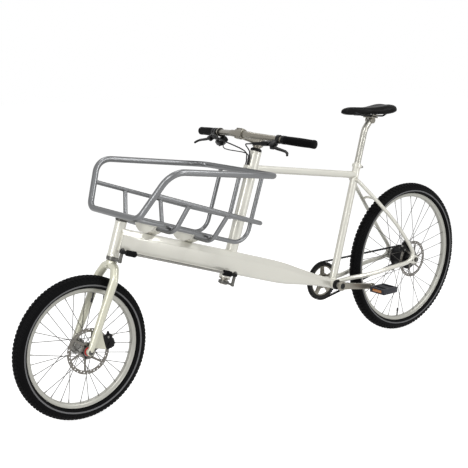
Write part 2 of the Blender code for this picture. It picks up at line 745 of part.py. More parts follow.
def seat_stays():
    """Both seat stays with the arched bridge between them, coped to the seat tube."""
    stays = []
    for side in (LEFT, RIGHT):
        path = seat_stay_path(side)
        radii = ([STAY_RADIUS] * (len(path) - 3)
                 + [STAY_RADIUS + 0.0003, CHAIN_STAY_RADIUS - 0.0008, CHAIN_STAY_RADIUS])
        stay = tube("seat_stays", path, STAY_RADIUS, PEARL, 8, radii=radii)
        before, chain_end = chain_stay_path(side)[-2:]
        rise = (chain_end - before).normalized()
        trim = box("stay_trim", (0.05, 0.05, 0.04),
                   Matrix.Translation(chain_end + rise * (GAP - 0.02)) @ aim(rise), PEARL)
        stays.append(cut(stay, trim))
    start = point_at_reach(seat_stay_path(LEFT), REAR_AXLE, REAR_TYRE_RADIUS + BRIDGE_ROOM)
    crown = Vector((start.x - 0.010, 0.0, start.z + 0.010))
    lift = Vector((0.0, 0.0, 0.004))
    path = [start, start.lerp(crown, 0.45) + lift, crown, mirror_y(start).lerp(crown, 0.45) + lift,
            mirror_y(start)]
    bridge = tube("stay_bridge", path, BRIDGE_RADIUS, PEARL, 8)
    return cut(join(stays[0], bridge, stays[1]), seat_cutter("stay_seat_cope"))


def point_at_reach(path, centre, reach):
    """Where a path towards a centre comes within that reach of it, seen from the side."""
    def over(point):
        return math.hypot(point.x - centre.x, point.z - centre.z) - reach
    for first, second in zip(path, path[1:]):
        if over(first) >= 0 >= over(second):
            for _ in range(30):
                middle = (first + second) / 2
                first, second = (middle, second) if over(middle) > 0 else (first, middle)
            return middle
    return path[-1]


# Basket
BASKET_FRONT_X = head_point(HEAD_TOP_Z).x + LEAN * (beam_z(head_point(HEAD_TOP_Z).x) + BASKET_RISE - HEAD_TOP_Z)\
    - BASKET_FRONT_REACH
BASKET_FRONT_Z = beam_z(BASKET_FRONT_X) + BASKET_RISE
RIM_REAR_X = column_point(BASKET_TOP_REAR_Z).x - BASKET_REAR_GAP


def floor_z(x):
    """Height of the basket's floor rails at x."""
    return beam_z(x) + BASKET_RISE


def mid_z(x):
    """Height of the basket's middle rail at x."""
    return beam_z(x) + MID_RAIL_RISE


def slope_point(side, share):
    """Point of a front slope tube, from its lower corner (0) to its upper bend (1)."""
    half = BASKET_FRONT_HALF + (BASKET_TOP_FRONT_HALF - BASKET_FRONT_HALF) * share
    return Vector((BASKET_FRONT_X + BASKET_SLOPE_RUN * share, side * half,
                   BASKET_FRONT_Z + (BASKET_TOP_FRONT_Z - BASKET_FRONT_Z) * share))


def basket_rim():
    """Closed loop: front bar, two slope tubes, two side rails and the rear bar."""
    def rear(side):
        return Vector((RIM_REAR_X, side * BASKET_TOP_REAR_HALF, BASKET_TOP_REAR_Z))
    corners = [slope_point(LEFT, 0), slope_point(RIGHT, 0), slope_point(RIGHT, 1), rear(RIGHT), rear(LEFT),
               slope_point(LEFT, 1)]
    bends = [BASKET_LOWER_CORNER] * 2 + [BASKET_UPPER_BEND] + [BASKET_REAR_CORNER] * 2 + [BASKET_UPPER_BEND]
    path = rounded(corners, bends, steps=4, closed=True)
    return tube("basket_rim", path, RIM_TUBE_RADIUS, BASKET_PAINT, 10, closed=True)


def upright_x(z):
    """x of the basket's rear uprights, parallel to the column, at height z."""
    return RIM_REAR_X + UPRIGHT_SETBACK - (BASKET_TOP_REAR_Z - z) * LEAN


def solve_upright(height_at):
    """Point where the uprights' line meets a rail plane."""
    z = BASKET_TOP_REAR_Z
    for _ in range(30):
        z = height_at(upright_x(z))
    return upright_x(z), z


def rim_cutter(name):
    """Thicker copy of the rim loop, to cope tubes against it."""
    piece = basket_rim()
    piece.name = name
    piece.data.name = name
    work = bmesh.new()
    work.from_mesh(piece.data)
    work.normal_update()
    for vert in work.verts:
        vert.co += vert.normal * GAP
    work.to_mesh(piece.data)
    work.free()
    return piece


def middle_rail_path():
    """Route of the middle rail loop, from one slope tube round the back to the other."""
    x, _ = solve_upright(mid_z)
    x -= (2 * RAIL_TUBE_RADIUS + GAP) / math.cos(TILT)
    start = slope_point(LEFT, MID_RAIL_START)
    end = slope_point(RIGHT, MID_RAIL_START)
    return rounded([start, Vector((x, -MID_RAIL_REAR_HALF, mid_z(x))),
                    Vector((x, MID_RAIL_REAR_HALF, mid_z(x))), end],
                   [0, BASKET_REAR_CORNER, BASKET_REAR_CORNER, 0], steps=4)


def middle_rail():
    """Middle rail loop with the upright that ties it to the rim's rear bar."""
    piece = tube("basket_middle_rail", middle_rail_path(), RAIL_TUBE_RADIUS, BASKET_PAINT, 8)
    return cut(join(piece, rear_upright()), rim_cutter("middle_rail_cope"))


def floor_rail(side):
    """Floor rail that bends up at the rear into an upright and ends under the rim."""
    name = "floor_rail_left" if side < 0 else "floor_rail_right"
    half = side * FLOOR_RAIL_HALF
    corner_x, corner_z = solve_upright(floor_z)
    path = rounded([Vector((BASKET_FRONT_X, half, BASKET_FRONT_Z)), Vector((corner_x, half, corner_z)),
                    Vector((upright_x(BASKET_TOP_REAR_Z), half, BASKET_TOP_REAR_Z))], [0, FLOOR_RAIL_BEND, 0],
                   steps=6)
    piece = tube(name, path, RAIL_TUBE_RADIUS, BASKET_PAINT, 8)
    return cut(piece, rim_cutter("rail_cope" + name[-5:]))


def rear_upright():
    """Middle upright between the rim's rear bar and the middle rail."""
    _, z = solve_upright(mid_z)
    low = z - 0.010
    ahead = AHEAD * 0.0035
    path = [Vector((upright_x(low), 0.0, low)) + ahead,
            Vector((upright_x(BASKET_TOP_REAR_Z), 0.0, BASKET_TOP_REAR_Z)) + ahead]
    return tube("rear_upright", path, RAIL_TUBE_RADIUS, BASKET_PAINT, 8)


def hoop_centre(index):
    """Where hoop number index crosses the middle plane, level with its bottom bar."""
    x = BASKET_FRONT_X + FRONT_HOOP_RUN + HOOP_SPACING * index
    lift = BASKET_RISE * BEAM_NORMAL.z - 2 * RAIL_TUBE_RADIUS - HOOP_ROOM
    foot = Vector((x, 0.0, beam_z(x)))
    return foot + BEAM_NORMAL * lift


def hoop(index):
    """Cross hoop under the floor rails with arms up to the middle rail."""
    name = ("front_hoop", "rear_hoop")[index]
    base = hoop_centre(index)
    rise = (MID_RAIL_RISE - BASKET_RISE) / (1 + LEAN * LEAN) ** 0.5 + 2 * RAIL_TUBE_RADIUS
    top = base + BEAM_NORMAL * rise
    path_line = middle_rail_path()
    start, end = path_line[0], path_line[1]
    share = (top.x - start.x) / (end.x - start.x)
    top_half = abs(start.y + (end.y - start.y) * share)
    corners = [top + Vector((0, -top_half, 0)), base + Vector((0, -HOOP_BOTTOM_HALF, 0)),
               base + Vector((0, HOOP_BOTTOM_HALF, 0)), top + Vector((0, top_half, 0))]
    piece = tube(name, rounded(corners, [0, HOOP_BEND, HOOP_BEND, 0], steps=5), RAIL_TUBE_RADIUS, BASKET_PAINT, 8)
    cope = tube(name + "_cope", path_line, RAIL_TUBE_RADIUS + GAP, BASKET_PAINT, 8)
    return cut(piece, cope)


def basket_bracket(index):
    """Pressed saddle on the beam that a hoop's bottom bar is bolted into."""
    name = ("front_bracket", "rear_bracket")[index]
    base = hoop_centre(index)
    share = (base.x - BEAM_START.x) / (BB.x - BEAM_START.x)
    depth = BEAM_FRONT_DEPTH + (BEAM_MID_DEPTH - BEAM_FRONT_DEPTH) * min(1.0, share / BEAM_FULL_SHARE)
    on_beam = BEAM_START + BEAM_LINE * (base - BEAM_START).dot(BEAM_LINE) + BEAM_NORMAL * (depth / 2 + GAP)
    height = (base - on_beam).dot(BEAM_NORMAL) + 0.003
    top, low, corner = BRACKET_TOP_HALF, BRACKET_FOOT_HALF, height * 0.42
    outline = ([(-low, 0.0)] + [(low, 0.0)] + [(low + 0.010, 0.004), (top - 0.012, corner), (top, corner + 0.012)]
               + [(top, height), (-top, height), (-top, corner + 0.012), (-top + 0.012, corner),
                  (-low - 0.010, 0.004)])
    piece = plate(name, [outline], BRACKET_LENGTH, on_beam, (0, 1, 0), BEAM_NORMAL, PEARL)
    inner = ([(-low + BRACKET_WALL, BRACKET_WALL), (low - BRACKET_WALL, BRACKET_WALL),
              (top - 0.012, corner + BRACKET_WALL), (top - BRACKET_WALL, corner + 0.014),
              (top - BRACKET_WALL, height + 0.01), (-top + BRACKET_WALL, height + 0.01),
              (-top + BRACKET_WALL, corner + 0.014), (-top + 0.012, corner + BRACKET_WALL)])
    hollow = plate(name + "_hollow", [inner], BRACKET_LENGTH, on_beam + BEAM_LINE * BRACKET_WALL,
                   (0, 1, 0), BEAM_NORMAL, PEARL)
    cut(piece, hollow)
    reach = Vector((0.0, 0.1, 0.0))
    groove = cylinder(name + "_groove", base - reach, base + reach, RAIL_TUBE_RADIUS + 2 * GAP, PEARL, 10)
    bed = cylinder(name + "_bed", base - Vector((0, top - 0.001, 0)), base + Vector((0, top - 0.001, 0)),
                   RAIL_TUBE_RADIUS + 0.004, PEARL, 10)
    join(piece, bed)
    return cut(piece, groove)


def basket_pieces():
    """Everything of the basket."""
    pieces = [basket_rim(), middle_rail(), floor_rail(LEFT), floor_rail(RIGHT)]
    for index in (0, 1):
        pieces += [hoop(index), basket_bracket(index)]
    return pieces


# Wheels
def tyre(name, axle, radius, bead):
    """Tyre with its crown and shoulders, seated on the rim's flanges."""
    half = TYRE_WIDTH / 2
    centre = radius - half
    inner = bead + RIM_FLANGE + GAP
    outline = [(inner, RIM_WIDTH / 2 - 0.001)]
    for angle in (math.radians(-5), math.radians(45)):
        outline.append((centre + half * math.sin(angle), half * math.cos(angle)))
    outline = outline + [(radius, 0.0)] + [(r, -h) for r, h in reversed(outline)]
    return turned(name, outline, axle, Vector((0.0, 1.0, 0.0)), RUBBER, WHEEL_FACETS, ring=True)


def rim(name, axle, bead):
    """Box-section rim under the tyre."""
    outer, inner = bead + RIM_FLANGE, bead + RIM_FLANGE - RIM_DEPTH
    half = RIM_WIDTH / 2
    outline = [(inner, half * 0.45), (inner + 0.004, half * 0.88), (outer, half), (outer, -half),
               (inner + 0.004, -half * 0.88), (inner, -half * 0.45)]
    return turned(name, outline, axle, Vector((0.0, 1.0, 0.0)), RIM_METAL, WHEEL_FACETS, ring=True)


def spokes(axle, flange_radius, flange_y, rim_radius, crossing):
    """Spoke rods of a wheel, each from its flange hole to the rim."""
    per_side = SPOKE_COUNT // 2
    step = 2 * math.pi / per_side
    rods = []
    for side in (LEFT, RIGHT):
        for index in range(per_side):
            lead = 1 if index % 2 == 0 else -1
            angle = step * index + (step / 4 if side > 0 else -step / 4)
            rim_angle = angle + lead * crossing * step
            offset = side * (flange_y + lead * 0.0022)
            start = axle + Vector((flange_radius * math.cos(angle), offset, flange_radius * math.sin(angle)))
            end = axle + Vector((rim_radius * math.cos(rim_angle), side * 0.0045 + lead * 0.0012,
                                 rim_radius * math.sin(rim_angle)))
            rods.append((start, end))
    return rods


def hub(name, axle, outline, spoke_rods, finish, steps):
    """Hub shell with its spokes; the outline is its turned profile along +Y."""
    shell = turned(name, outline, axle, Vector((0.0, 1.0, 0.0)), finish, steps, ring=True)
    mesh = bpy.data.meshes.new(name + "_spokes")
    work = bmesh.new()
    for start, end in spoke_rods:
        line = end - start
        place = Matrix.Translation((start + end) / 2) @ aim(line, Vector((0.0, 1.0, 0.0)))
        bmesh.ops.create_cone(work, cap_ends=True, segments=3, radius1=SPOKE_RADIUS * 1.2,
                              radius2=SPOKE_RADIUS * 1.2, depth=line.length, matrix=place)
    work.to_mesh(mesh)
    work.free()
    return join(shell, add_object(name + "_spokes", mesh, finish))


def front_hub():
    """Small front hub with its rotor boss on the left."""
    end = 0.0445
    flange_y, flange_radius = 0.030, 0.024
    rotor_face = -FRONT_ROTOR_Y - ROTOR_THICKNESS / 2 - GAP
    outline = [(HUB_BORE, end), (0.0115, end), (0.028, 0.0325), (0.028, 0.0275), (0.0150, 0.025),
               (0.0150, -0.025), (0.028, -0.0275), (0.028, -0.0325), (ROTOR_BOSS + 0.005, -rotor_face),
               (ROTOR_BOSS, -rotor_face), (ROTOR_BOSS, -end), (HUB_BORE, -end)]
    inner = FRONT_BEAD_RADIUS + RIM_FLANGE - RIM_DEPTH
    reach = inner * math.cos(math.pi / WHEEL_FACETS) - GAP
    rods = spokes(FRONT_AXLE, flange_radius, flange_y, reach, 3)
    return hub("front_hub", FRONT_AXLE, outline, rods, STEEL, 12)


def rear_hub():
    """Black internally geared rear hub with its rotor boss on the left."""
    flange_y, flange_radius = 0.031, 0.045
    rotor_face = -REAR_ROTOR_Y - ROTOR_THICKNESS / 2 - GAP
    left_end = rotor_face + 0.010
    right_end = BELT_LINE - SPROCKET_WIDTH / 2 - 0.0015
    outline = [(HUB_BORE, right_end), (0.022, right_end), (0.049, 0.0335), (0.049, 0.0285), (0.041, 0.025),
               (0.041, -0.025), (0.049, -0.0285), (0.049, -0.0335), (0.034, -0.038), (0.024, -rotor_face),
               (ROTOR_BOSS, -rotor_face), (ROTOR_BOSS, -left_end), (HUB_BORE, -left_end)]
    inner = REAR_BEAD_RADIUS + RIM_FLANGE - RIM_DEPTH
    reach = inner * math.cos(math.pi / WHEEL_FACETS) - GAP
    rods = spokes(REAR_AXLE, flange_radius, flange_y, reach, 2)
    return hub("rear_hub", REAR_AXLE, outline, rods, BLACK, 14)


def rotor(name, axle, y):
    """Brake rotor: slotted band on six swept arms."""
    inner = ROTOR_RADIUS - ROTOR_BAND
    arms = 6
    windows = []
    ring_outer = ROTOR_BOSS + 0.010
    for index in range(arms):
        start = 2 * math.pi * index / arms
        width = 2 * math.pi / arms
        low = arc(ring_outer, start + width * 0.25, start + width * 0.80, 2)
        high = arc(inner, start + width * 0.95 + 0.25, start + width * 0.12 + 0.25, 4)
        windows.append(low + high)
    outlines = [circle(ROTOR_RADIUS, 30), circle(ROTOR_BOSS + 4 * GAP, 12)] + windows
    return plate(name, outlines, ROTOR_THICKNESS, axle + Vector((0.0, y, 0.0)), (1, 0, 0), (0, 0, 1), STEEL)


# Fork
def fork_foot():
    """Height z of the fork crown's top face."""
    return HEAD_BOTTOM_Z - (LOWER_CUP_HEIGHT + ARM_HEIGHT + 2 * GAP) * math.cos(TILT)


def fork():
    """Unicrown fork with steerer, crown, blades, dropouts and through axle."""
    crown = head_point(fork_foot())
    top = head_point(HEAD_TOP_Z) + UP * 0.024
    piece = cylinder("fork", crown - UP * 0.018, crown, HEAD_TUBE_RADIUS, CREAM, 16)
    steerer = cylinder("steerer", crown - UP * 0.01, top, STEERER_RADIUS, CREAM, 16)
    cap = cylinder("top_cap", head_point(HEAD_TOP_Z) + UP * (0.016 + GAP), top + UP * 0.001, 0.0175, CREAM, 16)
    for side in (LEFT, RIGHT):
        hub_end = FRONT_AXLE + Vector((0.0, side * FORK_END_Y, 0.0))
        straight = blade_top() + Vector((0.0, side * FORK_BLADE_Y, 0.0))
        path = rounded([crown - UP * 0.0160 + Vector((0, side * 0.004, 0)),
                        crown - UP * 0.0220 + Vector((0, side * 0.030, 0)) + AHEAD * 0.001,
                        straight, hub_end], [0, 0.020, 0.050, 0], steps=2)
        count = len(path)
        radii = [0.0150 - 0.0048 * (index / (count - 1)) ** 4 for index in range(count)]
        blade = tube("blade", path, 0.015, CREAM, 8, radii=radii)
        end = cylinder("fork_end", hub_end - Vector((0, 0.0065, 0)), hub_end + Vector((0, 0.0065, 0)), 0.014,
                       CREAM, 10)
        join(piece, blade, end)
    join(piece, caliper_tab())
    half = Vector((0.0, FORK_END_Y + 0.0095, 0.0))
    axle = cylinder("front_axle", FRONT_AXLE - half, FRONT_AXLE + half, AXLE_RADIUS, STEEL, 12)
    return join(piece, steerer, cap, axle)


def blade_top():
    """Where the fork blades bend in to the crown, in the middle plane."""
    return head_point(fork_foot()) - UP * 0.062 + AHEAD * 0.006


def caliper_tab():
    """Tab from the left blade to the seat of the front caliper."""
    rise = blade_top() - FRONT_AXLE
    blade = Vector((rise.x, rise.z)).normalized()
    out = Vector((math.cos(FRONT_CALIPER_ANGLE), math.sin(FRONT_CALIPER_ANGLE)))
    along = Vector((-out.y, out.x))
    seat = out * (ROTOR_RADIUS - CALIPER_DEPTH / 2 - GAP)
    corners = [blade * 0.014, seat - along * 0.022, seat + along * 0.020, blade * 0.074 + out * 0.020, blade * 0.098]
    middle = FRONT_AXLE + Vector((0.0, FRONT_ROTOR_Y - CALIPER_TAB_OFFSET, 0.0))
    return plate("caliper_tab", [[tuple(corner) for corner in corners]], CALIPER_TAB, middle, (1, 0, 0), (0, 0, 1),
                 CREAM)


def link_eye(base_point):
    """Point of a drag link eye beside its steering axis."""
    return base_point + AHEAD * LINK_FORWARD + Vector((0.0, -LINK_LATERAL, 0.0))


def arm_level(top_point):
    """Middle of an arm that hangs ARM_HEIGHT / 2 below its top face."""
    return top_point - UP * (ARM_HEIGHT / 2)


FORK_ARM_TOP = head_point(HEAD_BOTTOM_Z) - UP * (LOWER_CUP_HEIGHT + GAP)
COLUMN_ARM_TOP = column_point(COLUMN_BOTTOM_Z) - UP * 0.0116
FRONT_EYE = link_eye(arm_level(FORK_ARM_TOP) + UP * LINK_ARM_DROP)
REAR_EYE = FRONT_EYE + (column_point(BB_HEIGHT) - head_point(BB_HEIGHT)).dot(-AHEAD) * (-AHEAD)


def steering_arm(name, level, eye, bore, collar_radius, collar_up):
    """Collar with an arm out to the left and the pin that carries a drag link eye."""
    collar = cylinder(name, level - UP * ARM_HEIGHT / 2, level + UP * (ARM_HEIGHT / 2 + collar_up),
                      collar_radius, SATIN, 14)
    foot = eye - UP * (eye - level).dot(UP)
    line = (foot - level).normalized()
    start = collar_radius - 0.004
    reach = (foot - level).length
    across = UP.cross(line)
    outline = [(start, -0.010), (reach - 0.006, -0.0078)] + arc(0.0078, -math.pi / 2, math.pi / 2, 4, (reach, 0.0))\
        + [(start, 0.010)]
    arm = plate(name + "_arm", [outline], 0.007, level, line, across, SATIN)
    up_to_eye = (eye - foot).length
    under, above = up_to_eye - LINK_EYE_HEIGHT / 2 - GAP, up_to_eye + LINK_EYE_HEIGHT / 2 + GAP
    pin = turned(name + "_pin", [(0.0, above + 0.0075), (LINK_PIN_RADIUS, above + 0.0075),
                                 (LINK_PIN_RADIUS, above + 0.005), (0.0072, above + 0.005), (0.0072, above),
                                 (LINK_PIN_RADIUS, above), (LINK_PIN_RADIUS, under), (0.0062, under),
                                 (0.0062, -0.006), (0.0, -0.006)], foot, UP, SATIN, 8)
    join(collar, arm, pin)
    if bore:
        cut(collar, cylinder(name + "_bore", level - UP * 0.05, level + UP * 0.05, bore, SATIN, 14))
    return collar


def drag_link():
    """Link rod with a rod end and rubber sleeve at each end."""
    line = (REAR_EYE - FRONT_EYE).normalized()
    start, end = FRONT_EYE + line * (LINK_EYE_RADIUS - 0.003), REAR_EYE - line * (LINK_EYE_RADIUS - 0.003)
    rod = cylinder("drag_link", start, end, LINK_ROD_RADIUS, SATIN, 8)
    for eye, direction in ((FRONT_EYE, line), (REAR_EYE, -line)):
        half = UP * LINK_EYE_HEIGHT / 2
        ring = cylinder("rod_end", eye - half, eye + half, LINK_EYE_RADIUS, STEEL, 12)
        sleeve = cylinder("sleeve", eye + direction * LINK_SLEEVE_START,
                          eye + direction * (LINK_SLEEVE_START + LINK_SLEEVE_LENGTH), LINK_SLEEVE_RADIUS, RUBBER, 10)
        join(rod, ring, sleeve)
        cut(rod, cylinder("eye_bore", eye - half * 3, eye + half * 3, LINK_EYE_BORE, STEEL, 10))
    return rod


# Handlebar
BAR_CENTRE = Vector((column_point(BAR_Z).x - BAR_FORWARD, 0.0, BAR_Z))


def bar_point(y):
    """Point of the handlebar's centre line at y."""
    share = max(0.0, abs(y) - BAR_STRAIGHT) / (BAR_HALF_WIDTH - BAR_STRAIGHT)
    return BAR_CENTRE + Vector((BAR_SWEEP * share, y, -BAR_DROP * share))


def bar_line(side):
    """Direction of the swept bar, outwards on that side."""
    return (bar_point(side * BAR_HALF_WIDTH) - bar_point(side * BAR_STRAIGHT)).normalized()


def steering_shaft():
    """Shaft through the column tube with its bearing collars at both ends."""
    base = column_point(COLUMN_BOTTOM_Z)
    low = (COLUMN_ARM_TOP - base).dot(UP) - ARM_HEIGHT - 0.003
    high = (column_point(STEM_HUB_TOP_Z) - base).dot(UP) + 0.002
    top = (column_point(COLUMN_TOP_Z) - base).dot(UP)
    fit, flange = COLUMN_BORE - 2 * GAP, COLUMN_RADIUS - 0.001
    outline = [(0.0, high), (STEERER_RADIUS, high), (STEERER_RADIUS, top + 0.013), (flange, top + 0.008),
               (flange, top + GAP), (fit, top + GAP), (fit, top - 0.012), (STEERER_RADIUS, top - 0.014),
               (STEERER_RADIUS, 0.014), (fit, 0.012), (fit, -GAP), (flange, -GAP), (flange, -0.006),
               (STEERER_RADIUS, -0.006), (STEERER_RADIUS, low), (0.0, low)]
    return turned("steering_shaft", outline, base, UP, SATIN, 14)


def stem():
    """Stem with its shaft clamp, extension and bar clamp."""
    low, high = column_point(STEM_HUB_BOTTOM_Z), column_point(STEM_HUB_TOP_Z)
    middle = (low + high) / 2
    half = Vector((0.0, STEM_CLAMP_WIDTH / 2, 0.0))
    line = (BAR_CENTRE - middle).normalized()
    normal = Vector((0.0, 1.0, 0.0)).cross(line)
    piece = cylinder("stem", low, high, STEM_HUB_RADIUS, SATIN, 14)
    extension = tube("extension", [middle - line * 0.004, middle.lerp(BAR_CENTRE, 0.35), BAR_CENTRE + line * 0.003],
                     0.0170, SATIN, 8, radii=[0.0170, 0.0150, 0.0165])
    clamp = cylinder("bar_clamp", BAR_CENTRE - half, BAR_CENTRE + half, STEM_CLAMP_RADIUS, SATIN, 14)
    join(piece, extension, clamp)
    for sign in (-1, 1):
        ear = box("faceplate_ear", (0.014, STEM_CLAMP_WIDTH * 0.7, 0.010),
                  Matrix.Translation(BAR_CENTRE + line * 0.005 + normal * sign * (STEM_CLAMP_RADIUS - 0.001))
                  @ aim(normal), SATIN)
        join(piece, ear)
    return cut(piece,
               cylinder("bar_hole", BAR_CENTRE - half * 2, BAR_CENTRE + half * 2, BAR_CLAMP_RADIUS + 2 * GAP, SATIN, 14),
               cylinder("shaft_hole", low - UP * 0.02, high + UP * 0.02, STEERER_RADIUS + 2 * GAP, SATIN, 14))


def handlebar():
    """Flat bar with its thicker middle and back sweep."""
    half = STEM_CLAMP_WIDTH / 2 + 0.008
    ys = [BAR_HALF_WIDTH - 0.003, 0.15, half + 0.022, half]
    path = [bar_point(-y) for y in ys] + [bar_point(y) for y in reversed(ys)]
    radii = [BAR_RADIUS, BAR_RADIUS, BAR_CLAMP_RADIUS, BAR_CLAMP_RADIUS]
    return tube("handlebar", path, BAR_CLAMP_RADIUS, SATIN, 14, radii=radii + radii[::-1])


def grip(side):
    """Grip with its end cap and inner collar."""
    name = "grip_left" if side < 0 else "grip_right"
    line = bar_line(side)
    outer = bar_point(side * BAR_HALF_WIDTH)
    length = GRIP_LENGTH
    bore = BAR_RADIUS + GAP
    outline = [(0.0, 0.0), (GRIP_RADIUS - 0.003, 0.0), (GRIP_RADIUS, -0.003), (GRIP_RADIUS - 0.001, -length * 0.5),
               (GRIP_RADIUS, -length), (bore, -length), (bore, -0.0025), (0.0, -0.0025)]
    return turned(name, outline, outer, line, RUBBER, 14)


def control_frame(side, y):
    """Origin and directions for a control at y on the bar: outwards, ahead and down, up."""
    out = bar_line(side)
    ahead = Vector((-math.cos(math.radians(32)), 0.0, -math.sin(math.radians(32))))
    ahead = (ahead - out * ahead.dot(out)).normalized()
    return bar_point(side * y), out, ahead, ahead.cross(out) * -side


def lever_pivot(side):
    """Pivot point and pin direction of a brake lever."""
    origin, _, ahead, rise = control_frame(side, LEVER_PIVOT_Y)
    return origin + ahead * LEVER_PIVOT_REACH, rise


def brake_mount(side):
    """Brake master cylinder with its bar clamp and the fork of the lever."""
    name = "brake_mount_left" if side < 0 else "brake_mount_right"
    origin, out, ahead, rise = control_frame(side, BRAKE_CLAMP_Y)
    clamp = cylinder(name, origin - out * 0.0065, origin + out * 0.0065, 0.0160, BLACK, 12)
    root, tip = cylinder_root(side), cylinder_end(side)[0]
    body = tube("master_cylinder", [root, root.lerp(tip, 0.62), root.lerp(tip, 0.66), tip], 0.0095, BLACK, 8,
                radii=[0.0095, 0.0090, 0.0068, 0.0058])
    pivot, pin = lever_pivot(side)
    block = box("lever_fork", (0.030, 0.017, 0.019),
                Matrix.Translation(pivot - ahead * 0.009) @ aim(pin, out), BLACK)
    join(clamp, body, block)
    bore = cylinder("clamp_bore", origin - out * 0.05, origin + out * 0.05, BAR_RADIUS + 2 * GAP, BLACK, 12)
    slot = box("lever_slot", (0.030, 0.050, LEVER_THICKNESS + 2 * GAP),
               Matrix.Translation(pivot + ahead * 0.0065) @ aim(pin, out), BLACK)
    return cut(clamp, bore, slot)


def cylinder_root(side):
    """Closed end of a brake master cylinder, on its clamp."""
    origin, out, ahead, _ = control_frame(side, BRAKE_CLAMP_Y)
    return origin + ahead * 0.0220 + out * 0.006


def cylinder_end(side):
    """Hose end of a brake master cylinder and the direction it points."""
    origin, out, ahead, _ = control_frame(side, BRAKE_CLAMP_Y)
    tip = origin + ahead * 0.0420 - out * 0.0860
    return tip, (tip - cylinder_root(side)).normalized()


def brake_lever(side):
    """Two-finger brake lever blade on its pivot, hooked at the tip."""
    name = "brake_lever_left" if side < 0 else "brake_lever_right"
    pivot, pin = lever_pivot(side)
    _, out, ahead, _ = control_frame(side, LEVER_PIVOT_Y)
    centre_line = [(-0.007, -0.001), (0.006, 0.002), (0.030, 0.0090), (0.050, 0.0125), (0.068, 0.0165),
                   (0.080, 0.0240), (0.0865, 0.0360)]
    widths = [0.0055, 0.0065, 0.0055, 0.0048, 0.0046, 0.0045, 0.0035]
    upper, lower = [], []
    for index, (along, reach) in enumerate(centre_line):
        before = centre_line[max(index - 1, 0)]
        after = centre_line[min(index + 1, len(centre_line) - 1)]
        tangent = Vector((after[0] - before[0], after[1] - before[1])).normalized()
        normal = Vector((-tangent.y, tangent.x)) * widths[index]
        upper.append((along + normal.x, reach + normal.y))
        lower.append((along - normal.x, reach - normal.y))
    return plate(name, [upper + lower[::-1]], LEVER_THICKNESS, pivot, out, ahead, BLACK, 0.0012)


def shifter():
    """Trigger shifter body under the right side of the bar."""
    origin, out, ahead, rise = control_frame(RIGHT, SHIFTER_Y)
    body = box("shifter_body", (0.040, 0.040, SHIFTER_THICKNESS),
               Matrix.Translation(origin + ahead * 0.014 - rise * SHIFTER_DROP) @ aim(rise, out), BLACK, 0.004)
    ring = cylinder("shifter_clamp", origin - out * 0.005, origin + out * 0.005, 0.0155, BLACK, 14)
    neck = box("shifter_neck", (0.014, 0.0095, 0.018), Matrix.Translation(origin - rise * 0.0190) @ aim(rise, out),
               BLACK)
    join(body, ring, neck)
    return cut(body, cylinder("shifter_bore", origin - out * 0.03, origin + out * 0.03, BAR_RADIUS + 2 * GAP,
                              BLACK, 14))


def trigger_pivot():
    """Pivot of the two shift levers on the body's underside and its direction."""
    origin, _, ahead, rise = control_frame(RIGHT, SHIFTER_Y)
    return origin + ahead * 0.012 - rise * (SHIFTER_DROP + SHIFTER_THICKNESS / 2), rise


def shift_lever(name, place, start_angle, length, width):
    """Small paddle under the shifter body; place 0 lies next to the body and 1 below it."""
    pivot, rise = trigger_pivot()
    _, out, ahead, _ = control_frame(RIGHT, SHIFTER_Y)
    level = GAP + SHIFT_LEVER_THICKNESS / 2 + place * (SHIFT_LEVER_THICKNESS + GAP)
    turn = Matrix.Rotation(start_angle, 3, rise)
    along, across = turn @ out, turn @ ahead
    outline = (arc(0.0065, math.pi / 2, 3 * math.pi / 2, 6) + [(length * 0.55, -width * 0.45)]
               + arc(width / 2, -math.pi / 2, math.pi / 2, 5, (length, 0.0)) + [(length * 0.55, width * 0.45)])
    return plate(name, [outline], SHIFT_LEVER_THICKNESS, pivot - rise * level, along, across, BLACK)


# Cranks, pedals and belt
def pedal_axis(side):
    """Point of a pedal's axis at the outer face of its crank."""
    line = CRANK_LINE if side < 0 else -CRANK_LINE
    return BB + line * CRANK_LENGTH + Vector((0.0, side * (CRANK_OFFSET + CRANK_FLARE + CRANK_THICKNESS), 0.0))


def crank_arm(side):
    """Crank arm that flares outwards to the pedal; the right one carries the spindle."""
    name = "crank_left" if side < 0 else "crank_right"
    line = CRANK_LINE if side < 0 else -CRANK_LINE
    out = Vector((0.0, side, 0.0))
    slant = (line * CRANK_LENGTH + out * CRANK_FLARE).normalized()
    across = out.cross(slant).normalized()
    root = BB + out * CRANK_OFFSET
    outline = ([(0.004, -0.0150), (0.045, -0.0128), (CRANK_LENGTH - 0.012, -0.0118)]
               + arc(0.0125, math.radians(-60), math.radians(60), 4, (CRANK_LENGTH, 0.0))
               + [(CRANK_LENGTH - 0.012, 0.0118), (0.045, 0.0128), (0.004, 0.0150)])
    arm = plate(name, [outline], CRANK_THICKNESS - 0.0015, root + out * CRANK_THICKNESS / 2, slant, across,
                SATIN, 0.0018)
    boss = cylinder(name + "_boss", root, root + out * CRANK_THICKNESS, 0.0205, SATIN, 16)
    foot = pedal_axis(side)
    end = cylinder(name + "_end", foot - out * CRANK_THICKNESS, foot, 0.0140, SATIN, 12)
    join(arm, boss, end)
    cut(arm, cylinder(name + "_eye", foot - out * 0.05, foot + out * 0.05, PEDAL_AXLE_RADIUS + 3 * GAP, SATIN, 10))
    if side > 0:
        spindle = cylinder("spindle", root + out * 0.004, BB - out * (CRANK_OFFSET + CRANK_THICKNESS - 0.003),
                           SPINDLE_RADIUS, SATIN, 14)
        return join(arm, spindle)
    return cut(arm, cylinder("spindle_hole", BB, BB + out * 0.2, SPINDLE_RADIUS + 3 * GAP, SATIN, 14))


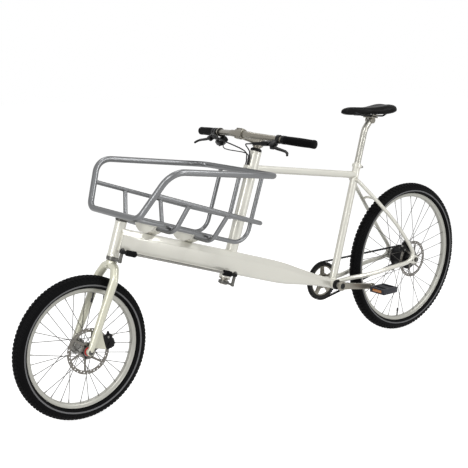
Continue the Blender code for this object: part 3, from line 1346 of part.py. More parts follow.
def pedal(side):
    """Flat cage pedal with its axle."""
    name = "pedal_left" if side < 0 else "pedal_right"
    out = Vector((0.0, side, 0.0))
    foot = pedal_axis(side)
    middle = foot + out * (PEDAL_GAP + PEDAL_LENGTH / 2)
    cage = box(name, (PEDAL_WIDTH, PEDAL_LENGTH, PEDAL_THICKNESS), Matrix.Translation(middle), RUBBER, 0.003)
    window_width = PEDAL_WIDTH * 0.27
    for sign in (-1, 1):
        place = middle + Vector((sign * (0.0105 + window_width / 2 + 0.001), 0, 0))
        cut(cage, box("pedal_window", (window_width, PEDAL_LENGTH - 0.022, PEDAL_THICKNESS * 2),
                      Matrix.Translation(place), RUBBER))
    axle = cylinder("pedal_axle", foot - out * 0.010, foot + out * (PEDAL_GAP + 0.005), PEDAL_AXLE_RADIUS, STEEL, 10)
    shoulder = cylinder("pedal_shoulder", foot + out * 0.0010, foot + out * (PEDAL_GAP + 0.004), 0.0088, STEEL, 10)
    return join(cage, shoulder, axle)


def sprocket_outline(teeth, tip):
    """Toothed circle with flat tips and vee-shaped roots."""
    pitch = 2 * math.pi / teeth
    points = []
    for index in range(teeth):
        middle = pitch * index
        for share, radius in ((-0.5, tip - BELT_TOOTH), (-0.24, tip), (0.24, tip)):
            points.append((radius * math.cos(middle + pitch * share), radius * math.sin(middle + pitch * share)))
    return points


def front_tip():
    """Tip radius of the front sprocket, just under the belt's back band."""
    return FRONT_PITCH_RADIUS - 0.0011


def rear_tip():
    """Tip radius of the rear sprocket."""
    return REAR_PITCH_RADIUS - 0.0011


def front_sprocket():
    """Belt sprocket on its five-arm spider, carried by the right crank."""
    centre = BB + Vector((0.0, BELT_LINE, 0.0))
    arms = 5
    windows = []
    for index in range(arms):
        start = 2 * math.pi * index / arms + SPIDER_PHASE
        width = 2 * math.pi / arms
        windows.append(arc(0.0330, start + width * 0.26, start + width * 0.74, 2)
                       + arc(front_tip() - 0.0150, start + width * 0.86, start + width * 0.14, 5))
    clear = BB_SHELL_RADIUS + 0.0015
    ring = plate("front_sprocket", [sprocket_outline(FRONT_TEETH, front_tip()), circle(clear, 12)]
                 + windows, SPROCKET_WIDTH, centre, (1, 0, 0), (0, 0, 1), BLACK)
    bore = SPINDLE_RADIUS + 0.001
    start = BB_SHELL_HALF_WIDTH + BB_CUP_WIDTH + 0.0015
    boss = turned("spider_boss", [(bore, CRANK_OFFSET - GAP), (0.0190, CRANK_OFFSET - GAP), (0.0285, start + 0.004),
                                  (0.0285, start), (bore, start)],
                  BB, Vector((0.0, 1.0, 0.0)), SATIN, 12, ring=True)
    return join(ring, boss)


def rear_sprocket():
    """Small belt sprocket on the geared hub's driver."""
    centre = REAR_AXLE + Vector((0.0, BELT_LINE, 0.0))
    teeth = plate("rear_sprocket", [sprocket_outline(REAR_TEETH, rear_tip()), circle(HUB_BORE + GAP, 10)],
                  SPROCKET_WIDTH, centre, (1, 0, 0), (0, 0, 1), STEEL)
    far = BELT_LINE + SPROCKET_WIDTH / 2
    driver = turned("hub_driver", [(HUB_BORE, far + 0.009), (0.0130, far + 0.009), (0.0170, far - 0.002),
                                   (HUB_BORE, far - 0.002)],
                    REAR_AXLE, Vector((0.0, 1.0, 0.0)), STEEL, 12, ring=True)
    return join(teeth, driver)


def belt():
    """Toothed belt round both sprockets, teeth inside on its two straight runs."""
    centre_distance = (REAR_AXLE - BB).length
    lift = math.atan2(REAR_AXLE.z - BB.z, REAR_AXLE.x - BB.x)
    inner_front, inner_rear = front_tip() + 2 * GAP, rear_tip() + 2 * GAP
    wrap = math.asin((inner_front - inner_rear) / centre_distance)

    def loop(grow, front_steps, rear_steps, with_teeth):
        front, rear = inner_front + grow, inner_rear + grow
        up, down = math.pi / 2 - wrap, -(math.pi / 2 - wrap)
        points = arc(front, up, 2 * math.pi + down, front_steps)
        run_start = Vector(points[-1])
        run_end = Vector((centre_distance + rear * math.cos(down), rear * math.sin(down)))
        if with_teeth:
            points += teeth_along(run_start, run_end, 1)
        points += arc(rear, down, up, rear_steps, (centre_distance, 0.0))
        if with_teeth:
            points += teeth_along(Vector(points[-1]), Vector(points[0]), 1)
        return points

    def teeth_along(start, end, side):
        line = (end - start).normalized()
        inward = Vector((-line.y, line.x)) * side
        length = (end - start).length
        clear = 0.016
        count = int((length - 2 * clear) / BELT_PITCH)
        first = (length - count * BELT_PITCH) / 2
        points = []
        for index in range(count):
            middle = first + BELT_PITCH * (index + 0.5)
            for offset, depth in ((-0.5, 0.0), (-0.18, BELT_TOOTH), (0.18, BELT_TOOTH)):
                spot = start + line * (middle + offset * BELT_PITCH) + inward * depth
                points.append((spot.x, spot.y))
        last = start + line * (first + BELT_PITCH * count)
        return points + [(last.x, last.y)]

    outlines = [loop(BELT_BACK, 22, 12, False), loop(0.0, 22, 12, True)]
    x_axis = Vector((math.cos(lift), 0.0, math.sin(lift)))
    y_axis = Vector((-math.sin(lift), 0.0, math.cos(lift)))
    return plate("drive_belt", outlines, BELT_WIDTH, BB + Vector((0.0, BELT_LINE, 0.0)), x_axis, y_axis, RUBBER)


def rear_axle():
    """Rear axle with its end nuts."""
    half = Vector((0.0, REAR_AXLE_HALF, 0.0))
    axle = cylinder("rear_axle", REAR_AXLE - half, REAR_AXLE + half, AXLE_RADIUS, STEEL, 12)
    for side in (LEFT, RIGHT):
        face = STAY_HALF_WIDTH + DROPOUT_THICKNESS / 2 + GAP
        nut = cylinder("axle_nut", REAR_AXLE + Vector((0, side * face, 0)),
                       REAR_AXLE + Vector((0, side * (face + 0.006), 0)), 0.0100, STEEL, 6)
        join(axle, nut)
    return axle


# Brake calipers
def caliper(name, axle, angle, y, pad):
    """Caliper body straddling the rotor; its pad is the seat on the frame, on the outer side."""
    out = Vector((math.cos(angle), 0.0, math.sin(angle)))
    middle = axle + out * ROTOR_RADIUS + Vector((0.0, y, 0.0))
    along = Vector((-out.z, 0.0, out.x))
    side = Vector((0.0, 1.0, 0.0)) * CALIPER_WIDTH / 2
    body = box(name, (CALIPER_DEPTH, CALIPER_WIDTH, CALIPER_LENGTH), Matrix.Translation(middle) @ aim(along), BLACK,
               0.004)
    slot = box(name + "_slot", (0.060, ROTOR_THICKNESS + 0.0024, 0.080),
               Matrix.Translation(middle - out * 0.020) @ aim(along), BLACK)
    piston = cylinder(name + "_piston", middle + side * 0.6, middle + side * 1.25, 0.0110, BLACK, 14)
    join(body, piston)
    if pad:
        seat = cylinder(name + "_pad", middle - side * 0.6, middle - side - Vector((0.0, pad, 0.0)), 0.0110, BLACK, 14)
        join(body, seat)
    return cut(body, slot)


# Seat post and saddle
def post_line_point(distance):
    """Point of the seat post's straight part above the clamp."""
    return seat_point(SEAT_TOP_Z) + SEAT_LINE * distance


def saddle_head():
    """Centre of the saddle clamp, set back from the post's line."""
    bend = post_line_point(POST_STRAIGHT)
    return bend + Vector((POST_HEAD_BACK, 0.0, POST_HEAD_RISE))


def seat_post():
    """Bent seat post with its clamp head."""
    bend, head = post_line_point(POST_STRAIGHT), saddle_head()
    path = rounded([post_line_point(-POST_INSERTION), bend, head], [0, POST_BEND, 0], steps=4)
    post = tube("seat_post", path, POST_RADIUS, SATIN, 14)
    half = Vector((0.0, 0.0185, 0.0))
    barrel = cylinder("post_head", head - half, head + half, 0.0130, SATIN, 12)
    bed = box("post_bed", (0.036, 0.052, 0.0060), Matrix.Translation(head + Vector((0, 0, 0.0125)))
              @ Matrix.Rotation(rail_pitch(), 4, 'Y'), SATIN)
    return join(post, barrel, bed)


def rail_pitch():
    """Small nose-up angle of the rails' clamping part."""
    return math.radians(4.0)


def rail_path(side):
    """Route of one saddle rail from the nose to the rear of the shell."""
    head = saddle_head()
    bed = head + Vector((0.0, 0.0, 0.0125 + 0.0030 + RAIL_RADIUS + GAP))
    forward = Vector((-math.cos(rail_pitch()), 0.0, math.sin(rail_pitch())))
    half = Vector((0.0, side * RAIL_HALF, 0.0))
    front_low = bed + forward * 0.075 + half
    rear_low = bed - forward * 0.052 + half
    nose = bed + forward * 0.120 + Vector((0.0, side * 0.009, 0.0150))
    tail = bed - forward * 0.078 + Vector((0.0, side * 0.032, 0.0190))
    return rounded([nose, front_low, rear_low, tail], [0, 0.030, 0.022, 0], steps=3)


def saddle_rails():
    """Both saddle rails joined by their nose bridge."""
    left, right = rail_path(LEFT), rail_path(RIGHT)
    path = left[::-1] + right
    return tube("saddle_rails", path, RAIL_RADIUS, STEEL, 6)


def saddle():
    """Narrow crowned saddle on a coarse cage with one subdivision."""
    head = saddle_head()
    wide = SADDLE_HALF_WIDTH
    rows = [(-0.169, 0.010, 0.035, 0.044, 0.0), (-0.160, 0.0175, 0.030, 0.0560, 0.0),
            (-0.130, 0.0205, 0.0270, 0.0585, 0.0), (-0.088, 0.0235, 0.0280, 0.0565, 0.0),
            (-0.046, 0.0310, 0.0285, 0.0535, 0.0), (-0.006, wide * 0.73, 0.0270, 0.0535, -0.0015),
            (0.036, wide * 0.95, 0.0255, 0.0575, -0.003), (0.074, wide, 0.0260, 0.0630, -0.0035),
            (0.100, wide * 0.93, 0.0300, 0.0640, -0.003), (0.117, wide * 0.68, 0.0350, 0.0590, -0.001),
            (0.123, wide * 0.40, 0.0390, 0.0520, 0.0)]
    mesh = bpy.data.meshes.new("saddle")
    work = bmesh.new()
    rings = []
    for run, half, low, high, dip in rows:
        height = high - low
        section = [(half * 0.50, low + 0.002), (half * 0.97, low - height * 0.10), (half, low + height * 0.42),
                   (half * 0.80, low + height * 0.86), (half * 0.40, high), (0.0, high + dip), (-half * 0.40, high),
                   (-half * 0.80, low + height * 0.86), (-half, low + height * 0.42),
                   (-half * 0.97, low - height * 0.10), (-half * 0.50, low + 0.002)]
        rings.append([work.verts.new(head + Vector((run, across, rise))) for across, rise in section])
    bridge_rings(work, rings)
    work.to_mesh(mesh)
    work.free()
    cushion = add_object("saddle", mesh, RUBBER)
    subdivision = cushion.modifiers.new("soft", 'SUBSURF')
    subdivision.levels = 1
    subdivision.render_levels = 1
    smooth(cushion, 60.0)
    cope = tube("saddle_rail_room", saddle_rail_points(), RAIL_RADIUS + GAP, STEEL, 6)
    return cut(cushion, cope)


def saddle_rail_points():
    """Route through both rails, as one line."""
    return rail_path(LEFT)[::-1] + rail_path(RIGHT)


# Hoses
def hose(name, points, radius):
    """Flexible hose or cable along a smooth curve through the points."""
    route = smooth_route([Vector(point) for point in points], 2)
    curve = bpy.data.curves.new(name, 'CURVE')
    curve.dimensions = '3D'
    curve.bevel_depth = radius
    curve.bevel_resolution = 2
    curve.use_fill_caps = True
    spline = curve.splines.new('POLY')
    spline.points.add(len(route) - 1)
    for index, point in enumerate(route):
        spline.points[index].co = (*point, 1.0)
    return add_object(name, curve, RUBBER)


def smooth_route(points, steps):
    """Points of a Catmull-Rom curve through the given ones."""
    padded = [points[0] * 2 - points[1]] + points + [points[-1] * 2 - points[-2]]
    route = []
    for index in range(1, len(padded) - 2):
        before, start, end, after = padded[index - 1:index + 3]
        for step in range(steps):
            t = step / steps
            route.append(0.5 * (2 * start + (end - before) * t + (2 * before - 5 * start + 4 * end - after) * t * t
                                + (3 * start - before - 3 * end + after) * t ** 3))
    route.append(points[-1])
    return route


def entry_point(offset):
    """Where a hose reaches the port on the column, offset sideways."""
    return column_point(PORT_TOP_Z) + AHEAD * (COLUMN_RADIUS + PORT_REACH / 2) + Vector((0.0, offset, 0.0)) + UP * GAP


def brake_hose(side):
    """Brake hose from the master cylinder to the column."""
    name = "brake_hose_left" if side < 0 else "brake_hose_right"
    start, line = cylinder_end(side)
    end = entry_point(side * HOSE_SPACING)
    bow = AHEAD * (0.056 if side > 0 else 0.034)
    middle = start.lerp(end, 0.45) + bow + UP * (0.026 if side > 0 else 0.024)
    above = end + UP * 0.048 + AHEAD * 0.016 + Vector((0.0, side * 0.0070, 0.0))
    return hose(name, [start + line * 2 * GAP, start + line * 0.018, middle, above, end + UP * 0.020 + AHEAD * 0.002,
                       end + UP * 0.008, end], HOSE_RADIUS)


def shift_cable():
    """Shift cable from the shifter body to the column."""
    origin, out, ahead, rise = control_frame(RIGHT, SHIFTER_Y)
    start = origin + ahead * 0.020 - rise * SHIFTER_DROP - out * (0.0203 + GAP)
    end = entry_point(0.0)
    middle = start.lerp(end, 0.45) + AHEAD * 0.044 + UP * 0.002
    above = end + UP * 0.040 + AHEAD * 0.014 + Vector((0.0, 0.0025, 0.0))
    return hose("shift_cable", [start, start - out * 0.014 + ahead * 0.002, middle, above,
                                end + UP * 0.018 + AHEAD * 0.001, end + UP * 0.008, end], CABLE_RADIUS)


def build():
    """Make every piece and carry the moving ones on their joints."""
    head_tube()
    main_beam()
    steering_column_tube()
    top_tube()
    seat_tube()
    seat_clamp()
    bottom_bracket_shell()
    for side in (LEFT, RIGHT):
        chain_stay(side)
    seat_stays()
    rear_axle()
    belt()
    caliper("rear_caliper", REAR_AXLE, REAR_CALIPER_ANGLE, REAR_ROTOR_Y, CALIPER_PAD)
    basket_pieces()

    moving_body("handlebar_turn", column_point(COLUMN_TOP_Z), [
        steering_shaft(), stem(), handlebar(), grip(LEFT), grip(RIGHT), brake_mount(LEFT), brake_mount(RIGHT),
        shifter(), brake_hose(LEFT), brake_hose(RIGHT), shift_cable(),
        steering_arm("column_arm", arm_level(COLUMN_ARM_TOP), REAR_EYE, STEERER_RADIUS + 2 * GAP, 0.0205, 0.0)])
    for side, name in ((LEFT, "left_lever_pull"), (RIGHT, "right_lever_pull")):
        moving_body(name, lever_pivot(side)[0], [brake_lever(side)])
    pivot = trigger_pivot()[0]
    moving_body("thumb_lever_push", pivot, [shift_lever("thumb_lever", 0, math.radians(-38), 0.030, 0.012)])
    moving_body("release_lever_push", pivot, [shift_lever("release_lever", 1, math.radians(28), 0.024, 0.010)])
    moving_body("drag_link_swing", REAR_EYE, [drag_link()])
    moving_body("fork_turn", head_point(HEAD_BOTTOM_Z), [
        fork(), steering_arm("fork_arm", arm_level(FORK_ARM_TOP), FRONT_EYE, STEERER_RADIUS + 2 * GAP, 0.0213, 0.0),
        caliper("front_caliper", FRONT_AXLE, FRONT_CALIPER_ANGLE, FRONT_ROTOR_Y, 0.0)])
    moving_body("front_wheel_spin", FRONT_AXLE, [
        tyre("front_tyre", FRONT_AXLE, FRONT_TYRE_RADIUS, FRONT_BEAD_RADIUS),
        rim("front_rim", FRONT_AXLE, FRONT_BEAD_RADIUS), front_hub(), rotor("front_rotor", FRONT_AXLE, FRONT_ROTOR_Y)])
    moving_body("rear_wheel_spin", REAR_AXLE, [
        tyre("rear_tyre", REAR_AXLE, REAR_TYRE_RADIUS, REAR_BEAD_RADIUS),
        rim("rear_rim", REAR_AXLE, REAR_BEAD_RADIUS), rear_hub(), rotor("rear_rotor", REAR_AXLE, REAR_ROTOR_Y)])
    moving_body("crank_spin", BB, [crank_arm(LEFT), crank_arm(RIGHT), front_sprocket()])
    for side, name in ((LEFT, "left_pedal_spin"), (RIGHT, "right_pedal_spin")):
        moving_body(name, pedal_axis(side), [pedal(side)])
    moving_body("sprocket_spin", REAR_AXLE, [rear_sprocket()])
    moving_body("seat_post_slide", seat_point(SEAT_TOP_Z), [seat_post(), saddle_rails(), saddle()])


build()
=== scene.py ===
"""Looks of a two-wheeled front-loading cargo bike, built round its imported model.

Metres, +Z up. The bike points along -X and its left side along -Y. Each sub-assembly is a class
that builds its own pieces, and main() makes them in order.
"""
import enum
import logging
import math
from dataclasses import dataclass, field
from typing import Callable, Iterable, Sequence

import bmesh
import bpy
from mathutils import Matrix, Vector


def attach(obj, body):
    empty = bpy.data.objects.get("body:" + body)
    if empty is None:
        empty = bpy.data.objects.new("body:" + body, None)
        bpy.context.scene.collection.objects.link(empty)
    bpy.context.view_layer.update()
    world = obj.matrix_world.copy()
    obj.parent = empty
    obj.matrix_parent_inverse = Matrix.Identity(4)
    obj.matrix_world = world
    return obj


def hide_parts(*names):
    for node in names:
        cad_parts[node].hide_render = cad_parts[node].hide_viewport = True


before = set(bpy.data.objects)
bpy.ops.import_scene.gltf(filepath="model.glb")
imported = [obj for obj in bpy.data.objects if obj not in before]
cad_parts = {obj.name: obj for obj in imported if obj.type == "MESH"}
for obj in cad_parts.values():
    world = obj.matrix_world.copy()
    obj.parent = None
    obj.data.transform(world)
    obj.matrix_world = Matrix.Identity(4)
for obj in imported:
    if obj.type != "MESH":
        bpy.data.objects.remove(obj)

log = logging.getLogger("cargo_bike")
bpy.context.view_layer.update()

Path = list[Vector]
Outline = list[tuple[float, float]]
Colour = tuple[float, float, float]
Piece = bpy.types.Object
Socket = bpy.types.NodeSocket


class Side(enum.IntEnum):
    """Side of the bike as the rider sits, as the sign of y."""
    LEFT = -1
    RIGHT = 1

    @property
    def word(self) -> str:
        """The side's name in lower case."""
        return self.name.lower()


class Body(str, enum.Enum):
    """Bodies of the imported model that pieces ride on."""
    FRAME = "frame"
    STEERING = "steering"
    LEFT_LEVER = "left_brake_lever"
    RIGHT_LEVER = "right_brake_lever"
    SHIFT_UP = "shift_up_lever"
    SHIFT_DOWN = "shift_down_lever"
    LINK = "steering_link"
    FORK = "fork_set"
    FRONT_WHEEL = "front_wheel"
    REAR_WHEEL = "rear_wheel"
    CRANKS = "crankset"
    LEFT_PEDAL = "left_pedal"
    RIGHT_PEDAL = "right_pedal"
    DRIVEN = "driven_sprocket"
    SEAT = "seat"


# Places on the bike
@dataclass(frozen=True)
class Layout:
    """Axes and centre lines of the bike, in metres."""
    bottom_bracket: Vector = field(default_factory=lambda: Vector((0.32303055, 0.0, 0.285)))
    tilt: float = math.radians(18.0)
    column_to_bracket: float = 0.5975
    head_to_column: float = 0.5326
    seat_angle: float = math.radians(75.2)
    seat_setback: float = 0.010
    head_low: float = 0.555
    head_high: float = 0.668
    column_low: float = 0.400
    column_high: float = 0.860
    seat_top: float = 0.772
    front_radius: float = 0.253
    rear_radius: float = 0.330
    rake: float = 0.0343
    stay_run: float = 0.4535
    gap: float = 0.0003
    cope: float = 0.0001
    column_radius: float = 0.0225
    port_top: float = 0.806
    port_reach: float = 0.0085
    belt_line: float = 0.047
    rotor_radius: float = 0.080
    front_rotor_y: float = -0.043
    rear_rotor_y: float = -0.051
    front_caliper_angle: float = math.radians(14.0)
    rear_caliper_angle: float = math.radians(128.0)
    brake_y: float = 0.176
    shift_y: float = 0.152

    @property
    def up(self) -> Vector:
        """Direction of the steering axes, upwards."""
        return Vector((math.sin(self.tilt), 0.0, math.cos(self.tilt)))

    @property
    def ahead(self) -> Vector:
        """Direction square to the steering axes, forwards."""
        return Vector((-math.cos(self.tilt), 0.0, math.sin(self.tilt)))

    @property
    def lean(self) -> float:
        """Run of the steering axes for each metre of height."""
        return math.tan(self.tilt)

    def column_point(self, z: float) -> Vector:
        """Point of the steering column's axis at height z."""
        run = (z - self.bottom_bracket.z) * self.lean - self.column_to_bracket
        return Vector((self.bottom_bracket.x + run, 0.0, z))

    def head_point(self, z: float) -> Vector:
        """Point of the head tube's axis at height z."""
        return self.column_point(z) - Vector((self.head_to_column, 0.0, 0.0))

    def seat_point(self, z: float) -> Vector:
        """Point of the seat tube's axis at height z."""
        run = (z - self.bottom_bracket.z) / math.tan(self.seat_angle)
        return Vector((self.bottom_bracket.x + self.seat_setback + run, 0.0, z))

    @property
    def seat_line(self) -> Vector:
        """Direction of the seat tube, upwards."""
        return Vector((math.cos(self.seat_angle), 0.0, math.sin(self.seat_angle)))

    @property
    def front_axle(self) -> Vector:
        """Centre of the front wheel."""
        return self.head_point(self.front_radius) - Vector((self.rake / math.cos(self.tilt), 0.0, 0.0))

    @property
    def rear_axle(self) -> Vector:
        """Centre of the rear wheel."""
        return Vector((self.bottom_bracket.x + self.stay_run, 0.0, self.rear_radius))

    @property
    def beam_start(self) -> Vector:
        """Where the beam's centre line meets the head tube's axis."""
        return self.head_point((self.head_low + self.head_high) / 2)

    @property
    def beam_line(self) -> Vector:
        """Direction of the beam, rearwards."""
        return (self.bottom_bracket - self.beam_start).normalized()

    @property
    def beam_normal(self) -> Vector:
        """Direction square to the beam, upwards."""
        line = self.beam_line
        return Vector((-line.z, 0.0, line.x))

    def beam_z(self, x: float) -> float:
        """Height of the beam's centre line at x."""
        return self.beam_start.z + (x - self.beam_start.x) * self.beam_line.z / self.beam_line.x


BIKE = Layout()
ACROSS = Vector((0.0, 1.0, 0.0))


# Modelling
def start_clean() -> None:
    """Leave edit mode and deselect everything, so that an operator acts on one piece."""
    if bpy.context.mode != 'OBJECT':
        bpy.ops.object.mode_set(mode='OBJECT')
    bpy.ops.object.select_all(action='DESELECT')


def pick(piece: Piece) -> Piece:
    """Select one piece alone and make it the active one.

    Args:
        piece: the object to select.

    Returns:
        The same object.
    """
    start_clean()
    piece.select_set(True)
    bpy.context.view_layer.objects.active = piece
    return piece


class Editing:
    """Edit mode on one piece, all of it selected, entered and left with a with block."""

    def __init__(self, piece: Piece) -> None:
        """Keep the piece to edit."""
        self.piece = piece

    def __enter__(self) -> bmesh.types.BMesh:
        """Enter edit mode and give the mesh."""
        pick(self.piece)
        bpy.ops.object.mode_set(mode='EDIT')
        bpy.ops.mesh.select_all(action='SELECT')
        return bmesh.from_edit_mesh(self.piece.data)

    def __exit__(self, *_: object) -> None:
        """Return to object mode."""
        bpy.ops.object.mode_set(mode='OBJECT')


def aim(direction: Vector, origin: Vector = Vector()) -> Matrix:
    """Place that takes local +Z to a direction, with local +X square to the bike's width.

    Args:
        direction: where local +Z points.
        origin: where the local origin goes.

    Returns:
        The place as a matrix.
    """
    z_axis = Vector(direction).normalized()
    x_axis = ACROSS.cross(z_axis)
    if x_axis.length < 1e-6:
        x_axis = Vector((1.0, 0.0, 0.0))
    x_axis.normalize()
    turn = Matrix((x_axis, z_axis.cross(x_axis), z_axis)).transposed().to_4x4()
    return Matrix.Translation(origin) @ turn


def settle(piece: Piece, place: Matrix, name: str) -> Piece:
    """Move a new piece to its place, and put the place in its mesh.

    Args:
        piece: the new object.
        place: where it goes.
        name: its name.

    Returns:
        The object, at the origin and unturned.
    """
    piece.name = name
    piece.data.name = name
    pick(piece)
    piece.matrix_world = place
    bpy.ops.object.transform_apply(location=True, rotation=True, scale=True)
    return piece


def apply_modifiers(piece: Piece) -> Piece:
    """Apply all of a piece's modifiers in order.

    Args:
        piece: the object.

    Returns:
        The same object.
    """
    pick(piece)
    for modifier in list(piece.modifiers):
        bpy.ops.object.modifier_apply(modifier=modifier.name)
    return piece


def smooth(piece: Piece, degrees: float = 35.0) -> Piece:
    """Shade a piece smooth, with edges past an angle kept sharp.

    Args:
        piece: the object.
        degrees: the angle.

    Returns:
        The same object.
    """
    pick(piece)
    bpy.ops.object.shade_smooth_by_angle(angle=math.radians(degrees))
    return piece


def tidy_mesh(piece: Piece, distance: float = 1e-6) -> Piece:
    """Merge doubled vertices and turn all faces outwards.

    Args:
        piece: the object.
        distance: how near vertices merge.

    Returns:
        The same object.
    """
    with Editing(piece):
        bpy.ops.mesh.remove_doubles(threshold=distance)
        bpy.ops.mesh.dissolve_degenerate(threshold=distance)
        bpy.ops.mesh.select_all(action='SELECT')
        bpy.ops.mesh.normals_make_consistent(inside=False)
    return piece


def soften(piece: Piece, width: float, segments: int = 2, degrees: float = 40.0) -> Piece:
    """Round the edges of a piece that are sharper than an angle.

    Args:
        piece: the object.
        width: width of the rounding.
        segments: steps across it.
        degrees: the angle.

    Returns:
        The same object.
    """
    bevel = piece.modifiers.new("soften", 'BEVEL')
    bevel.width = width
    bevel.segments = segments
    bevel.limit_method = 'ANGLE'
    bevel.angle_limit = math.radians(degrees)
    return smooth(apply_modifiers(piece), 40.0)


def lathe(name: str, outline: Outline, origin: Vector, direction: Vector, steps: int = 48,
          degrees: float = 35.0) -> Piece:
    """Closed outline spun round an axis.

    Args:
        name: the piece's name.
        outline: corners as (radius, height along the axis).
        origin: where the axis starts.
        direction: where the axis points.
        steps: how many steps the spin takes.
        degrees: angle past which an edge is sharp.

    Returns:
        The piece.
    """
    start_clean()
    bpy.ops.mesh.primitive_circle_add(vertices=len(outline), radius=1.0, fill_type='NOTHING')
    piece = bpy.context.object
    with Editing(piece) as mesh:
        mesh.verts.ensure_lookup_table()
        for vert, (radius, height) in zip(mesh.verts, outline):
            vert.co = (radius, 0.0, height)
        bmesh.update_edit_mesh(piece.data)
        bpy.ops.mesh.spin(steps=steps, angle=2 * math.pi, use_auto_merge=False, center=(0.0, 0.0, 0.0),
                          axis=(0.0, 0.0, 1.0))
    tidy_mesh(piece)
    return smooth(settle(piece, aim(direction, origin), name), degrees)


def curve_piece(name: str) -> Piece:
    """New curve object without splines.

    Args:
        name: its name.

    Returns:
        The curve object.
    """
    start_clean()
    bpy.ops.curve.primitive_nurbs_path_add(location=(0.0, 0.0, 0.0))
    piece = bpy.context.object
    piece.name = name
    piece.data.name = name
    piece.data.splines.clear()
    return piece


def to_mesh(piece: Piece) -> Piece:
    """Turn a curve into a mesh with its caps welded.

    Args:
        piece: the curve object.

    Returns:
        The mesh object.
    """
    pick(piece)
    bpy.ops.object.convert(target='MESH')
    return tidy_mesh(bpy.context.object)


def sweep(name: str, points: Sequence[Vector], radius: float, sides: int = 20, closed: bool = False,
          radii: Sequence[float] | None = None) -> Piece:
    """Round tube along points.

    Args:
        name: the piece's name.
        points: its centre line.
        radius: its radius.
        sides: how many sides its section has.
        closed: whether the ends meet.
        radii: each point's own radius.

    Returns:
        The tube as a mesh.
    """
    piece = curve_piece(name)
    curve = piece.data
    curve.dimensions = '3D'
    curve.bevel_depth = radius
    curve.bevel_resolution = max(0, sides // 2 - 2)
    curve.use_fill_caps = not closed
    spline = curve.splines.new('POLY')
    spline.points.add(len(points) - 1)
    for index, point in enumerate(points):
        spline.points[index].co = (*point, 1.0)
        spline.points[index].radius = radii[index] / radius if radii else 1.0
    spline.use_cyclic_u = closed
    return smooth(to_mesh(piece), 50.0)


def slab(name: str, outlines: Sequence[Outline], thickness: float, origin: Vector,
         x_axis: Sequence[float] = (1.0, 0.0, 0.0), y_axis: Sequence[float] = (0.0, 0.0, 1.0),
         bevel: float = 0.0) -> Piece:
    """Flat outline with holes, extruded half its thickness each way.

    Args:
        name: the piece's name.
        outlines: the outer outline and its holes.
        thickness: how thick it is.
        origin: where the outline's origin goes.
        x_axis: direction of the outline's first axis.
        y_axis: direction of its second axis.
        bevel: width of the rounding of its rims.

    Returns:
        The piece.
    """
    piece = curve_piece(name)
    curve = piece.data
    curve.dimensions = '2D'
    curve.fill_mode = 'BOTH'
    curve.extrude = thickness / 2
    for outline in outlines:
        spline = curve.splines.new('POLY')
        spline.points.add(len(outline) - 1)
        for index, (across, along) in enumerate(outline):
            spline.points[index].co = (across, along, 0.0, 1.0)
        spline.use_cyclic_u = True
    piece = to_mesh(piece)
    x_axis, y_axis = Vector(x_axis).normalized(), Vector(y_axis).normalized()
    turn = Matrix((x_axis, y_axis, x_axis.cross(y_axis))).transposed().to_4x4()
    if bevel:
        with Editing(piece):
            bpy.ops.mesh.dissolve_limited(angle_limit=math.radians(1.0))
        soften(piece, bevel, degrees=60.0)
    settle(piece, Matrix.Translation(origin) @ turn, name)
    return smooth(tidy_mesh(piece), 35.0)


def rod(name: str, start: Vector, end: Vector, radius: float, radius_end: float | None = None, sides: int = 32,
        bevel: float = 0.0) -> Piece:
    """Cylinder or cone between two points with rounded rims.

    Args:
        name: the piece's name.
        start: centre of one end.
        end: centre of the other end.
        radius: radius at the start.
        radius_end: radius at the end, if it differs.
        sides: how many sides it has.
        bevel: width of the rounding of its rims.

    Returns:
        The piece.
    """
    start_clean()
    line = Vector(end) - Vector(start)
    bpy.ops.mesh.primitive_cone_add(vertices=sides, radius1=radius, depth=line.length,
                                    radius2=radius if radius_end is None else radius_end)
    piece = settle(bpy.context.object, aim(line, (Vector(start) + Vector(end)) / 2), name)
    return soften(piece, bevel) if bevel else smooth(piece)


def block(name: str, size: Sequence[float], place: Matrix, bevel: float = 0.0, segments: int = 3) -> Piece:
    """Box with rounded edges.

    Args:
        name: the piece's name.
        size: its three sizes.
        place: where it goes.
        bevel: width of the rounding.
        segments: steps across the rounding.

    Returns:
        The piece.
    """
    start_clean()
    bpy.ops.mesh.primitive_cube_add(size=1.0)
    piece = settle(bpy.context.object, place @ Matrix.Diagonal((*size, 1.0)), name)
    return soften(piece, bevel, segments) if bevel else smooth(piece)


def loft(name: str, rings: Sequence[Path], degrees: float = 30.0) -> Piece:
    """Skin over a row of rings, made by extruding one face from ring to ring.

    Args:
        name: the piece's name.
        rings: rings of as many points each.
        degrees: angle past which an edge is sharp.

    Returns:
        The piece.
    """
    start_clean()
    bpy.ops.mesh.primitive_circle_add(vertices=len(rings[0]), radius=1.0, fill_type='NGON')
    piece = bpy.context.object
    piece.name = name
    piece.data.name = name
    with Editing(piece) as mesh:
        mark = mesh.verts.layers.int.new("place")
        mesh.verts.ensure_lookup_table()
        for index, vert in enumerate(mesh.verts):
            vert[mark] = index
            vert.co = rings[0][index]
        bmesh.update_edit_mesh(piece.data)
        for ring in rings[1:]:
            bpy.ops.mesh.extrude_region()
            mesh = bmesh.from_edit_mesh(piece.data)
            mark = mesh.verts.layers.int["place"]
            for vert in mesh.verts:
                if vert.select:
                    vert.co = ring[vert[mark]]
            bmesh.update_edit_mesh(piece.data)
        mesh.verts.layers.int.remove(mark)
        bmesh.update_edit_mesh(piece.data)
    return smooth(tidy_mesh(piece), degrees)


